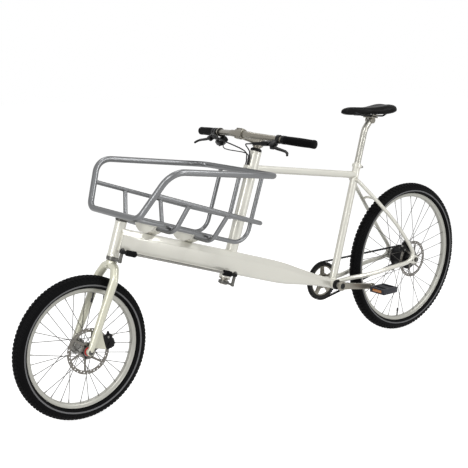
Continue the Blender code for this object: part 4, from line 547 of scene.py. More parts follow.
def combine(piece: Piece, tools: Iterable[Piece], operation: str) -> Piece:
    """Exact Boolean of a piece with tools, which are used up.

    Args:
        piece: the object that changes.
        tools: what is taken away or welded on.
        operation: DIFFERENCE or UNION.

    Returns:
        The changed object.
    """
    for tool in tools:
        modifier = piece.modifiers.new("combine", 'BOOLEAN')
        modifier.operation = operation
        modifier.solver = 'EXACT'
        modifier.object = tool
        apply_modifiers(piece)
        bpy.data.objects.remove(tool, do_unlink=True)
    return smooth(tidy_mesh(piece))


def cut(piece: Piece, *tools: Piece) -> Piece:
    """Take tools away from a piece.

    Args:
        piece: the object.
        tools: what is taken away.

    Returns:
        The changed object.
    """
    return combine(piece, tools, 'DIFFERENCE')


def weld(piece: Piece, *tools: Piece) -> Piece:
    """Weld tools onto a piece.

    Args:
        piece: the object.
        tools: what is added.

    Returns:
        The changed object.
    """
    return combine(piece, tools, 'UNION')


def gather(name: str, pieces: Sequence[Piece]) -> Piece:
    """Join objects into one, without a Boolean.

    Args:
        name: the joined piece's name.
        pieces: what is joined.

    Returns:
        The joined piece.
    """
    pick(pieces[0])
    for piece in pieces[1:]:
        piece.select_set(True)
    bpy.ops.object.join()
    joined = bpy.context.object
    joined.name = name
    joined.data.name = name
    return joined


def cast(name: str, pieces: Sequence[Piece], voxel: float, rounds: int) -> Piece:
    """One skin over several pieces, with its corners filled as in a casting.

    Args:
        name: the piece's name.
        pieces: what the skin covers.
        voxel: size of the skin's cells.
        rounds: how often it is smoothed.

    Returns:
        The piece.
    """
    piece = gather(name, pieces)
    remesh = piece.modifiers.new("skin", 'REMESH')
    remesh.mode = 'VOXEL'
    remesh.voxel_size = voxel
    relax = piece.modifiers.new("relax", 'SMOOTH')
    relax.factor = 0.5
    relax.iterations = rounds
    return smooth(apply_modifiers(piece), 60.0)


def refined(name: str, node: str, bevel: float, segments: int = 2, degrees: float = 40.0) -> Piece:
    """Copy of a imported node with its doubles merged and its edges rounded.

    Args:
        name: the piece's name.
        node: the node that is copied.
        bevel: width of the rounding.
        segments: steps across it.
        degrees: angle past which an edge is rounded.

    Returns:
        The piece.
    """
    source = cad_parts[node]
    piece = bpy.data.objects.new(name, source.data.copy())
    piece.data.name = name
    bpy.context.scene.collection.objects.link(piece)
    tidy_mesh(piece, 1e-5)
    with Editing(piece):
        bpy.ops.mesh.dissolve_limited(angle_limit=math.radians(1.0))
    return soften(piece, bevel, segments, degrees)


def spun(piece: Piece, count: int, centre: Vector, axis: Vector) -> Piece:
    """Repeat all of a piece evenly round an axis.

    Args:
        piece: the object.
        count: how many there are in the end.
        centre: point of the axis.
        axis: direction of the axis.

    Returns:
        The same object.
    """
    with Editing(piece):
        bpy.ops.mesh.spin(steps=count - 1, dupli=True, angle=2 * math.pi * (count - 1) / count,
                          use_auto_merge=False, center=centre, axis=axis)
    return piece


# Lines
def rounded(points: Sequence[Vector], bends: Sequence[float], steps: int = 10, closed: bool = False) -> Path:
    """Line with each inner corner replaced by an arc.

    Args:
        points: its corners.
        bends: the arc's radius at each corner.
        steps: steps in each arc.
        closed: whether the ends meet.

    Returns:
        The points of the line.
    """
    points = [Vector(point) for point in points]
    count = len(points)
    path: Path = []
    for index, corner in enumerate(points):
        bend = bends[index]
        if (not closed and index in (0, count - 1)) or not bend:
            path.append(corner)
            continue
        before = (points[index - 1] - corner).normalized()
        after = (points[(index + 1) % count] - corner).normalized()
        half = before.angle(after) / 2
        reach = bend / math.tan(half)
        centre = corner + (before + after).normalized() * bend / math.sin(half)
        start, end = corner + before * reach - centre, corner + after * reach - centre
        turn = start.angle(end)
        for step in range(steps + 1):
            share = step / steps
            arm = (start * math.sin((1 - share) * turn) + end * math.sin(share * turn)) / math.sin(turn)
            path.append(centre + arm)
    return path


def flowing(points: Sequence[Vector], steps: int) -> Path:
    """Smooth line through points.

    Args:
        points: what it passes through.
        steps: steps between two of them.

    Returns:
        The points of the line.
    """
    ends = [points[0] * 2 - points[1], *points, points[-1] * 2 - points[-2]]
    route: Path = []
    for index in range(1, len(ends) - 2):
        before, start, end, after = ends[index - 1:index + 3]
        for step in range(steps):
            t = step / steps
            route.append(0.5 * (2 * start + (end - before) * t + (2 * before - 5 * start + 4 * end - after) * t * t
                                + (3 * start - before - 3 * end + after) * t ** 3))
    route.append(points[-1])
    return route


def circle(radius: float, count: int, phase: float = 0.0, centre: tuple[float, float] = (0.0, 0.0)) -> Outline:
    """Points of a circle.

    Args:
        radius: its radius.
        count: how many points.
        phase: angle of the first point.
        centre: its centre.

    Returns:
        The points.
    """
    return [(centre[0] + radius * math.cos(phase + 2 * math.pi * step / count),
             centre[1] + radius * math.sin(phase + 2 * math.pi * step / count)) for step in range(count)]


def arc(radius: float, start: float, end: float, count: int, centre: tuple[float, float] = (0.0, 0.0)) -> Outline:
    """Points of an arc, both ends included.

    Args:
        radius: its radius.
        start: first angle.
        end: last angle.
        count: how many points.
        centre: its centre.

    Returns:
        The points.
    """
    return [(centre[0] + radius * math.cos(start + (end - start) * step / (count - 1)),
             centre[1] + radius * math.sin(start + (end - start) * step / (count - 1))) for step in range(count)]


def path_end(path: Path, side: Side) -> tuple[Vector, Vector]:
    """The last point at the path's left or right end, and the one before it."""
    return (path[0], path[1]) if side is Side.LEFT else (path[-1], path[-2])


def mirrored(path: Sequence[Vector]) -> Path:
    """The line on the other side of the bike.

    Args:
        path: the line.

    Returns:
        The mirrored line.
    """
    return [Vector((point.x, -point.y, point.z)) for point in path]


def joint_line(tube_origin: Vector, tube_line: Vector, radius: float, post_point: Vector, post_line: Vector,
               post_radius: float, count: int = 64) -> Path:
    """Where a round tube meets the skin of a round post.

    Args:
        tube_origin: point of the tube's axis outside the post.
        tube_line: direction of the tube towards the post.
        radius: the tube's radius.
        post_point: point of the post's axis.
        post_line: direction of the post.
        post_radius: the post's radius.
        count: how many points.

    Returns:
        The points of the closed line.
    """
    line, post = tube_line.normalized(), post_line.normalized()
    u = line.orthogonal().normalized()
    v = line.cross(u)
    flat = line - post * line.dot(post)
    path: Path = []
    for step in range(count):
        angle = 2 * math.pi * step / count
        start = tube_origin + (u * math.cos(angle) + v * math.sin(angle)) * radius
        offset = start - post_point
        offset -= post * offset.dot(post)
        a, b, c = flat.dot(flat), offset.dot(flat), offset.dot(offset) - post_radius ** 2
        root = max(0.0, b * b - a * c)
        path.append(start + line * ((-b - math.sqrt(root)) / a))
    return path


def bead(name: str, path: Path, radius: float = 0.0017) -> Piece:
    """Weld bead along a closed line, with its small ripples.

    Args:
        name: the piece's name.
        path: the line.
        radius: the bead's mean radius.

    Returns:
        The bead.
    """
    length = sum((b - a).length for a, b in zip(path, path[1:] + path[:1]))
    waves = max(8, round(length / 0.0032))
    fine = resample(path, waves * 4)
    radii = [radius * (1.0 + 0.14 * math.cos(math.pi * index / 2)) for index in range(len(fine))]
    return sweep(name, fine, radius, 8, True, radii)


def resample(path: Path, count: int, closed: bool = True) -> Path:
    """Evenly spaced points along a line.

    Args:
        path: the line.
        count: how many points.
        closed: whether the ends meet.

    Returns:
        The points.
    """
    ring = path + path[:1] if closed else path
    marks = [0.0]
    for a, b in zip(ring, ring[1:]):
        marks.append(marks[-1] + (b - a).length)
    points: Path = []
    index = 0
    for step in range(count):
        goal = marks[-1] * step / (count if closed else count - 1)
        while index < len(marks) - 2 and marks[index + 1] < goal:
            index += 1
        share = (goal - marks[index]) / max(1e-9, marks[index + 1] - marks[index])
        points.append(ring[index].lerp(ring[index + 1], share))
    return points


# Shader groups
def math_node(tree: bpy.types.NodeTree, operation: str, first: object, second: object = 0.0,
              clamp: bool = False) -> Socket:
    """Result of a math node.

    Args:
        tree: where the node is made.
        operation: the node's operation.
        first: a socket or a number.
        second: a socket or a number.
        clamp: whether the result stays between 0 and 1.

    Returns:
        The node's output.
    """
    made = tree.nodes.new('ShaderNodeMath')
    made.operation, made.use_clamp = operation, clamp
    for slot, value in zip(made.inputs, (first, second)):
        if isinstance(value, (int, float)):
            slot.default_value = value
        else:
            tree.links.new(value, slot)
    return made.outputs[0]


class Group:
    """Shader node group with named sockets, built once."""
    made: dict[str, bpy.types.NodeTree] = {}

    def __init__(self, name: str, inputs: dict[str, float | Colour], outputs: dict[str, str]) -> None:
        """Make an empty group.

        Args:
            name: the group's name.
            inputs: each input's start value, a number or a colour.
            outputs: each output's kind, Float or Color.
        """
        self.tree = bpy.data.node_groups.new(name, 'ShaderNodeTree')
        self.tree.interface.new_socket(name="Vector", in_out='INPUT', socket_type='NodeSocketVector')
        for label, value in inputs.items():
            kind = 'NodeSocketColor' if isinstance(value, tuple) else 'NodeSocketFloat'
            socket = self.tree.interface.new_socket(name=label, in_out='INPUT', socket_type=kind)
            socket.default_value = (*value, 1.0) if isinstance(value, tuple) else value
        for label, kind in outputs.items():
            self.tree.interface.new_socket(name=label, in_out='OUTPUT', socket_type=f'NodeSocket{kind}')
        self.entry = self.tree.nodes.new('NodeGroupInput')
        self.exit = self.tree.nodes.new('NodeGroupOutput')
        Group.made[name] = self.tree

    def node(self, kind: str, **settings: object) -> bpy.types.Node:
        """New node in the group.

        Args:
            kind: the node's type without its prefix.
            settings: its properties.

        Returns:
            The node.
        """
        made = self.tree.nodes.new(f'ShaderNode{kind}')
        for key, value in settings.items():
            setattr(made, key, value)
        return made

    def link(self, source: Socket, target: Socket) -> None:
        """Link two sockets."""
        self.tree.links.new(source, target)

    def math(self, operation: str, first: object, second: object, clamp: bool = False) -> Socket:
        """Result of a math node in the group."""
        return math_node(self.tree, operation, first, second, clamp)

    def noise(self, scale: object, detail: float, rough: float = 0.5, stretch: Colour | None = None) -> Socket:
        """Noise over the object.

        Args:
            scale: a socket or a number.
            detail: how many octaves.
            rough: how strong the fine ones are.
            stretch: scale along each axis.

        Returns:
            The noise's value.
        """
        made = self.node('TexNoise')
        made.inputs['Detail'].default_value = detail
        made.inputs['Roughness'].default_value = rough
        if isinstance(scale, (int, float)):
            made.inputs['Scale'].default_value = scale
        else:
            self.link(scale, made.inputs['Scale'])
        source = self.entry.outputs['Vector']
        if stretch:
            mapping = self.node('Mapping')
            mapping.inputs['Scale'].default_value = stretch
            self.link(source, mapping.inputs['Vector'])
            source = mapping.outputs['Vector']
        self.link(source, made.inputs['Vector'])
        return made.outputs[0]


def handling_group() -> None:
    """Large soft patches, for colour and roughness that vary a little over a piece."""
    group = Group("handling", {"Scale": 6.0, "Amount": 0.1}, {"Value": 'Float', "Fine": 'Float'})
    patch = group.noise(group.entry.outputs["Scale"], 3.0)
    swing = group.math('MULTIPLY', group.math('SUBTRACT', patch, 0.5), group.entry.outputs["Amount"])
    group.link(group.math('ADD', swing, 1.0), group.exit.inputs["Value"])
    fine = group.noise(group.math('MULTIPLY', group.entry.outputs["Scale"], 22.0), 2.0)
    group.link(fine, group.exit.inputs["Fine"])


def flake_group() -> None:
    """Bright specks of metallic paint."""
    group = Group("paint_flakes", {"Scale": 1800.0, "Strength": 0.06}, {"Value": 'Float'})
    cells = group.node('TexVoronoi', feature='F1')
    group.link(group.entry.outputs["Vector"], cells.inputs["Vector"])
    group.link(group.entry.outputs["Scale"], cells.inputs["Scale"])
    split = group.node('SeparateColor')
    group.link(cells.outputs["Color"], split.inputs[0])
    swing = group.math('MULTIPLY', group.math('SUBTRACT', split.outputs[0], 0.5), group.entry.outputs["Strength"])
    group.link(group.math('ADD', swing, 1.0), group.exit.inputs["Value"])


def grain_group() -> None:
    """Fine grain of moulded and coated surfaces."""
    group = Group("fine_grain", {"Scale": 900.0, "Pebble": 0.5}, {"Height": 'Float'})
    fine = group.noise(group.entry.outputs["Scale"], 4.0, 0.6)
    cells = group.node('TexVoronoi', feature='SMOOTH_F1')
    group.link(group.entry.outputs["Vector"], cells.inputs["Vector"])
    group.link(group.entry.outputs["Scale"], cells.inputs["Scale"])
    pebble = group.math('MULTIPLY', cells.outputs["Distance"], group.entry.outputs["Pebble"])
    group.link(group.math('ADD', fine, pebble), group.exit.inputs["Height"])


def brush_group() -> None:
    """Fine lines of brushed or drawn metal along the bike."""
    group = Group("brushed_lines", {"Scale": 60.0}, {"Value": 'Float', "Height": 'Float'})
    lines = group.noise(group.entry.outputs["Scale"], 3.0, 0.7, (1.0, 30.0, 30.0))
    group.link(group.math('ADD', group.math('MULTIPLY', group.math('SUBTRACT', lines, 0.5), 0.10), 1.0),
               group.exit.inputs["Value"])
    group.link(lines, group.exit.inputs["Height"])


def edge_group() -> None:
    """Mask of rubbed edges, broken up by noise."""
    group = Group("edge_rub", {"Start": 0.54, "Amount": 0.5}, {"Mask": 'Float'})
    surface = group.node('NewGeometry')
    rise = group.math('SUBTRACT', surface.outputs["Pointiness"], group.entry.outputs["Start"])
    sharp = group.math('MULTIPLY', rise, 14.0, True)
    broken = group.math('MULTIPLY', sharp, group.noise(160.0, 3.0))
    group.link(group.math('MULTIPLY', broken, group.entry.outputs["Amount"], True), group.exit.inputs["Mask"])


# Finishes
@dataclass(frozen=True)
class Finish:
    """Surface of one kind, with patches that vary its colour and roughness."""
    name: str
    slot: str
    colour: Colour
    roughness: float
    metallic: float = 0.0
    coat: float = 0.0
    coat_roughness: float = 0.08
    specular: float = 0.5
    drift: float = 0.08
    patches: float = 7.0

    def material(self) -> bpy.types.Material:
        """The finish's material, made once.

        Returns:
            The material.
        """
        title = f"{self.name}_finish"
        known = bpy.data.materials.get(title)
        if known:
            return known
        made = bpy.data.materials.new(title)
        made.use_nodes = True
        tree = made.node_tree
        shader = tree.nodes["Principled BSDF"]
        shader.inputs["Metallic"].default_value = self.metallic
        shader.inputs["Coat Weight"].default_value = self.coat
        shader.inputs["Coat Roughness"].default_value = self.coat_roughness
        shader.inputs["Specular IOR Level"].default_value = self.specular
        Nodes(tree, shader, self).build()
        return made

    def tint(self, nodes: "Nodes") -> None:
        """Add what this kind of surface has beyond its patches."""


class Nodes:
    """Builder of one material's node tree."""

    def __init__(self, tree: bpy.types.NodeTree, shader: bpy.types.Node, finish: Finish) -> None:
        """Start from the shader.

        Args:
            tree: the material's tree.
            shader: its Principled shader.
            finish: the finish that it shows.
        """
        self.tree, self.shader, self.finish = tree, shader, finish
        self.place = tree.nodes.new('ShaderNodeTexCoord').outputs["Object"]
        self.colour: Socket | None = None
        self.rough: Socket | None = None

    def group(self, name: str, **values: float) -> bpy.types.Node:
        """Shared group with its own values.

        Args:
            name: the group's name.
            values: its inputs, with spaces written as underscores.

        Returns:
            The group node.
        """
        made = self.tree.nodes.new('ShaderNodeGroup')
        made.node_tree = Group.made[name]
        self.tree.links.new(self.place, made.inputs["Vector"])
        for key, value in values.items():
            made.inputs[key.replace("_", " ")].default_value = value
        return made

    def mix(self, kind: str, factor: object, second: object) -> None:
        """Mix something into the colour.

        Args:
            kind: how the two are mixed.
            factor: a socket or a number.
            second: a socket or a colour.
        """
        made = self.tree.nodes.new('ShaderNodeMix')
        made.data_type, made.blend_type = 'RGBA', kind
        first = self.finish.colour if self.colour is None else self.colour
        for slot, value in ((made.inputs["Factor"], factor), (made.inputs[6], first), (made.inputs[7], second)):
            if isinstance(value, Socket):
                self.tree.links.new(value, slot)
            else:
                slot.default_value = (*value, 1.0) if isinstance(value, tuple) else value
        self.colour = made.outputs[2]

    def shade(self, factor: Socket) -> None:
        """Make the colour lighter or darker by a factor near 1."""
        self.mix('MULTIPLY', 1.0, factor)

    def blend(self, mask: Socket, colour: Colour) -> None:
        """Mix another colour in where the mask is bright."""
        self.mix('MIX', mask, colour)

    def bump(self, height: Socket, strength: float, distance: float) -> None:
        """Relief from a height.

        Args:
            height: the height.
            strength: how strong it is.
            distance: how deep it is, in metres.
        """
        made = self.tree.nodes.new('ShaderNodeBump')
        made.inputs["Strength"].default_value = strength
        made.inputs["Distance"].default_value = distance
        self.tree.links.new(height, made.inputs["Height"])
        earlier = self.shader.inputs["Normal"].links
        if earlier:
            self.tree.links.new(earlier[0].from_socket, made.inputs["Normal"])
        self.tree.links.new(made.outputs["Normal"], self.shader.inputs["Normal"])

    def build(self) -> None:
        """Link patches, the kind's own effects, colour and roughness to the shader."""
        handling = self.group("handling", Scale=self.finish.patches, Amount=self.finish.drift)
        self.shade(handling.outputs["Value"])
        patches = math_node(self.tree, 'MULTIPLY', handling.outputs["Value"], 0.10)
        self.rough = math_node(self.tree, 'ADD', patches, self.finish.roughness - 0.10)
        self.finish.tint(self)
        self.tree.links.new(self.colour, self.shader.inputs["Base Color"])
        self.tree.links.new(self.rough, self.shader.inputs["Roughness"])


@dataclass(frozen=True)
class Paint(Finish):
    """Glossy paint with flakes under its clear coat."""
    flakes: float = 0.01
    flake_scale: float = 1500.0

    def tint(self, nodes: Nodes) -> None:
        """Add the flakes."""
        flakes = nodes.group("paint_flakes", Scale=self.flake_scale, Strength=self.flakes)
        nodes.shade(flakes.outputs["Value"])
        handling = nodes.group("handling", Scale=4.0, Amount=1.0)
        nodes.bump(handling.outputs["Fine"], 0.01, 0.0004)


@dataclass(frozen=True)
class Metal(Finish):
    """Bare metal with fine lines."""
    lines: float = 50.0
    relief: float = 0.10

    def tint(self, nodes: Nodes) -> None:
        """Add the lines."""
        brushed = nodes.group("brushed_lines", Scale=self.lines)
        nodes.shade(brushed.outputs["Value"])
        nodes.bump(brushed.outputs["Height"], self.relief * 0.1, 0.00002)


@dataclass(frozen=True)
class Coated(Finish):
    """Black coating, grained and rubbed bright along its edges."""
    rub: float = 0.12
    rubbed: Colour = (0.20, 0.20, 0.20)
    grain_scale: float = 1200.0
    relief: float = 0.10

    def tint(self, nodes: Nodes) -> None:
        """Add the rubbed edges and the grain."""
        nodes.blend(nodes.group("edge_rub", Amount=self.rub).outputs["Mask"], self.rubbed)
        grain = nodes.group("fine_grain", Scale=self.grain_scale, Pebble=0.3)
        nodes.bump(grain.outputs["Height"], self.relief, 0.0002)


@dataclass(frozen=True)
class Soft(Finish):
    """Rubber, leather or cloth cover with a pebbled grain and a little dust."""
    grain_scale: float = 700.0
    pebble: float = 0.8
    relief: float = 0.30
    depth: float = 0.0004
    dust: Colour = (0.10, 0.095, 0.085)
    dusty: float = 0.12

    def tint(self, nodes: Nodes) -> None:
        """Add the dust and the grain."""
        handling = nodes.group("handling", Scale=18.0, Amount=1.0)
        mask = math_node(nodes.tree, 'MULTIPLY', handling.outputs["Fine"], self.dusty)
        nodes.blend(mask, self.dust)
        grain = nodes.group("fine_grain", Scale=self.grain_scale, Pebble=self.pebble)
        nodes.bump(grain.outputs["Height"], self.relief, self.depth)


PEARL = Paint("pearl_paint", "pearl_paint", (0.70, 0.688, 0.618), 0.30, metallic=0.30, coat=0.5,
              specular=0.35, coat_roughness=0.05, drift=0.04)
CREAM = Paint("cream_paint", "cream_paint", (0.66, 0.65, 0.525), 0.30, metallic=0.2, coat=0.6, specular=0.35,
              drift=0.04, flakes=0.02)
SILVER = Paint("basket_silver", "basket_silver", (0.17, 0.173, 0.177), 0.31, metallic=0.85, drift=0.06,
               flakes=0.02, flake_scale=1100.0)
SATIN = Metal("satin_aluminium", "satin_aluminium", (0.24, 0.225, 0.19), 0.27, metallic=0.60, relief=0.04)
DARK_SATIN = Metal("dark_satin_aluminium", "satin_aluminium", (0.10, 0.098, 0.090), 0.36, metallic=0.6, relief=0.05)
STEEL = Metal("bright_steel", "steel", (0.24, 0.235, 0.22), 0.28, metallic=0.8, relief=0.05)
POST = Metal("post_aluminium", "satin_aluminium", (0.42, 0.41, 0.37), 0.24, metallic=0.65, relief=0.02)
BRIGHT = Metal("polished_rod", "satin_aluminium", (0.20, 0.195, 0.18), 0.25, metallic=0.85, relief=0.02)
ROTOR_STEEL = Metal("ground_steel", "steel", (0.15, 0.14, 0.125), 0.30, metallic=0.75, lines=90.0, relief=0.12)
SPOKE_STEEL = Metal("spoke_steel", "steel", (0.075, 0.07, 0.062), 0.30, metallic=0.5, relief=0.02)
RIM_METAL = Metal("rim_metal", "rim_metal", (0.46, 0.455, 0.41), 0.36, metallic=0.35, relief=0.05)
BLACK = Coated("black_anodised", "black_anodised", (0.004, 0.004, 0.0045), 0.36, specular=0.13)
BOLT_BLACK = Coated("black_bolts", "black_anodised", (0.004, 0.004, 0.0045), 0.30, specular=0.2, rub=0.3)
BELT = Soft("belt_rubber", "belt_rubber", (0.003, 0.003, 0.0033), 0.50, specular=0.06, relief=0.20, dusty=0.01)
HOSE = Soft("hose_cover", "hose_cover", (0.008, 0.008, 0.009), 0.34, specular=0.2, relief=0.08, dusty=0.01,
            grain_scale=1500.0)
TYRE = Soft("tyre_rubber", "tyre_rubber", (0.0022, 0.0022, 0.0026), 0.56, specular=0.05, relief=0.25, dusty=0.015)
STRIPE = Finish("sidewall_stripe", "tyre_rubber", (0.15, 0.15, 0.155), 0.5, specular=0.3)
GRIP = Soft("grip_rubber", "grip_rubber", (0.0022, 0.0022, 0.0024), 0.55, specular=0.05, relief=0.45, dusty=0.01)
CAGE = Coated("pedal_plastic", "pedal_plastic", (0.026, 0.027, 0.034), 0.42, specular=0.20, rub=0.3)
AMBER = Finish("amber_reflector", "pedal_plastic", (0.52, 0.17, 0.012), 0.16, coat=0.6, drift=0.25, patches=160.0)
LEATHER = Soft("saddle_cover", "saddle_cover", (0.0025, 0.0024, 0.0024), 0.42, specular=0.07, relief=0.15,
               dusty=0.01, grain_scale=900.0)
RED = Coated("red_anodised", "black_anodised", (0.42, 0.015, 0.010), 0.30, metallic=0.6, rub=0.1,
             rubbed=(0.5, 0.3, 0.3))


def place(piece: Piece, finish: Finish, body: Body, *nodes: str) -> Piece:
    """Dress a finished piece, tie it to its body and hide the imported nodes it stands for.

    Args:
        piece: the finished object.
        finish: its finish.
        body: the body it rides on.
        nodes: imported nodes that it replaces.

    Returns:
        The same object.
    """
    if piece.type == 'MESH':
        for layer in [a for a in piece.data.attributes if a.name == "place"]:
            piece.data.attributes.remove(layer)
    piece.data.materials.clear()
    piece.data.materials.append(finish.material())
    if nodes:
        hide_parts(*nodes)
    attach(piece, body.value)
    log.info("%s rides on %s", piece.name, body.value)
    return piece


# Frame
@dataclass
class FrameTubes:
    """Head tube, column, beam, top tube, seat tube, stays and bottom bracket shell."""
    head_radius: float = 0.020
    column_bore: float = 0.0185
    steerer_bore: float = 0.0150
    cup_radius: float = 0.0213
    port_size: tuple[float, float, float] = (2 * BIKE.port_reach, 0.030, 0.016)
    beam_chamfer: float = 0.021
    beam_foot: float = 0.009
    top_radius: float = 0.0145
    seat_radius: float = 0.016
    seat_bore: float = 0.0141
    shell_radius: float = 0.0215
    shell_half: float = 0.034
    cup_width: float = 0.011
    chain_stay_radius: float = 0.0095
    seat_stay_radius: float = 0.0080
    stay_half: float = 0.070
    dropout: float = 0.006
    bridge_foot: Vector = field(default_factory=lambda: Vector((0.5501, -0.0441, 0.6040)))

    def build(self) -> None:
        """Make every piece of the frame."""
        self.head_tube()
        self.column()
        self.beam()
        self.top_and_seat_tubes()
        self.clamp()
        self.shell()
        for side in Side:
            self.chain_stay(side)
        self.seat_stays()
        self.rear_axle()

    def head_tube(self) -> None:
        """Head tube with thicker ends, its lower cup, and the upper cup as a ring of its own."""
        low, high = BIKE.head_point(BIKE.head_low), BIKE.head_point(BIKE.head_high)
        length = (high - low).length
        outer, cup, bore = self.head_radius, self.cup_radius, self.steerer_bore
        outline = [(bore, -0.0039), (cup, -0.0039), (cup + 0.0002, -0.0034), (cup + 0.0002, 0.0002),
                   (cup - 0.0004, 0.0012), (outer + 0.0001, 0.0040), (outer, 0.0048), (outer, length - 0.0048),
                   (outer + 0.0001, length - 0.0040), (cup - 0.0004, length - 0.0012), (cup, length - 0.0008),
                   (cup - 0.0002, length), (bore, length)]
        place(lathe("head_tube_shell", outline, low, BIKE.up, 72), PEARL, Body.FRAME, "head_tube")
        ring = [(bore, BIKE.gap), (outer - 0.0006, BIKE.gap), (outer - 0.0006, 0.0016), (cup, 0.0024),
                (cup, 0.0110), (cup - 0.0006, 0.0122), (outer - 0.0020, 0.0150), (outer - 0.0026, 0.0159),
                (bore, 0.0159)]
        place(lathe("upper_headset_ring", ring, high, BIKE.up, 72), DARK_SATIN, Body.FRAME, "headset_upper")

    def column(self) -> None:
        """Column tube with its lips and the hose port on its front."""
        low, high = BIKE.column_point(BIKE.column_low), BIKE.column_point(BIKE.column_high)
        length = (high - low).length
        outer, bore = BIKE.column_radius, self.column_bore
        outline = [(bore, 0.0), (outer - 0.0008, 0.0), (outer, 0.0008), (outer, length - 0.0008),
                   (outer - 0.0008, length), (bore, length)]
        tube = lathe("column_tube_shell", outline, low, BIKE.up, 72)
        port_at = BIKE.column_point(BIKE.port_top) - BIKE.up * self.port_size[2] / 2 + BIKE.ahead * outer
        port = block("port", self.port_size, aim(BIKE.up, port_at), 0.004, 4)
        bore_tool = rod("bore", low - BIKE.up * 0.01, high + BIKE.up * 0.01, bore, sides=72)
        cut(port, bore_tool)
        place(gather("column_tube_shell", [tube, port]), PEARL, Body.FRAME, "column_tube")

    def beam_rings(self) -> list[Path]:
        """Rings of the beam's skin, from the head tube to the bottom bracket.

        Returns:
            The rings, from the front.
        """
        stations = [(-0.03, 0.075, 0.044, 0.030), (0.012, 0.075, 0.064, 0.040), (0.030, 0.075, 0.074, 0.046),
                    (0.050, 0.075, 0.080, 0.050), (0.440, 0.084, 0.080, 0.050), (0.660, 0.084, 0.080, 0.050),
                    (0.700, 0.0832, 0.0798, 0.050), (0.740, 0.0780, 0.0785, 0.049), (0.790, 0.0672, 0.0744, 0.045),
                    (0.840, 0.0570, 0.0685, 0.0425), (0.890, 0.0479, 0.0624, 0.040),
                    (0.950, 0.0418, 0.0560, 0.0375), (1.030, 0.037, 0.050, 0.035)]
        total = (BIKE.bottom_bracket - BIKE.beam_start).length
        rings = []
        for share, depth, width, flat in stations:
            centre = BIKE.beam_start + BIKE.beam_line * (total * share)
            rings.append([centre + ACROSS * across + BIKE.beam_normal * rise
                          for across, rise in self.beam_section(depth, width, flat)])
        return rings

    def beam_section(self, depth: float, width: float, flat: float) -> Outline:
        """Section of the beam: flat top, chamfers, sides and a rounded foot.

        Args:
            depth: its height.
            width: its width.
            flat: width of the flat top.

        Returns:
            Points as (across, up).
        """
        half, top, low = width / 2, depth / 2, -depth / 2
        chamfer, foot = min(self.beam_chamfer, depth * 0.30), min(self.beam_foot, depth * 0.3)
        corners = [Vector((half, low, 0)), Vector((half, top - chamfer, 0)), Vector((flat / 2, top, 0))]
        corners += [Vector((-point.x, point.y, 0)) for point in reversed(corners)]
        soft = min(0.010, flat * 0.22)
        path = rounded(corners, [foot, soft, soft, soft, soft, foot], 4, True)
        return [(point.x, point.y) for point in path]

    def beam(self) -> None:
        """Faceted beam with its coped ends, and the weld beads round the column."""
        up = BIKE.up
        skin = loft("beam_shell", self.beam_rings(), 32.0)
        low, high = BIKE.head_point(BIKE.head_low), BIKE.head_point(BIKE.head_high)
        head = rod("head", low - up * 0.1, high + up * 0.1, self.head_radius + BIKE.cope, sides=72)
        face = block("face", (0.2, 0.3, 0.4), aim(up, BIKE.beam_start + BIKE.ahead * 0.1))
        column = rod("column", BIKE.column_point(0.30), BIKE.column_point(0.96), BIKE.column_radius + BIKE.cope,
                     sides=72)
        shell = self.shell_tool(BIKE.cope)
        rear = block("rear", (0.2, 0.3, 0.4), aim(BIKE.beam_normal, BIKE.bottom_bracket + BIKE.beam_line * 0.1))
        seat = rod("seat", BIKE.seat_point(0.265), BIKE.seat_point(0.80), self.seat_radius + BIKE.cope, sides=72)
        place(cut(skin, face, head, column, rear, shell, seat), PEARL, Body.FRAME, "main_beam")
        beads = []
        for sign in (-1, 1):
            level = sign * 0.042
            axis = BIKE.column_point(BIKE.bottom_bracket.z)
            centre = axis + up * ((BIKE.beam_start + BIKE.beam_normal * level - axis).dot(up))
            share = (centre - BIKE.beam_start).dot(BIKE.beam_line)
            middle = BIKE.beam_start + BIKE.beam_line * share + BIKE.beam_normal * level
            ring = [middle + BIKE.ahead * forward + ACROSS * across
                    for forward, across in circle(BIKE.column_radius, 96)]
            beads.append(bead(f"bead{sign}", ring))
        front = [BIKE.beam_start + BIKE.beam_normal * rise + ACROSS * across for across, rise
                 in self.beam_section(0.0755, 0.060, 0.0384)]
        path = []
        for point in front:
            run = math.sqrt(max(0.0, self.head_radius ** 2 - point.y ** 2))
            path.append(point + BIKE.beam_line * run)
        beads.append(bead("bead_head", path))
        place(gather("beam_weld_beads", beads), PEARL, Body.FRAME)

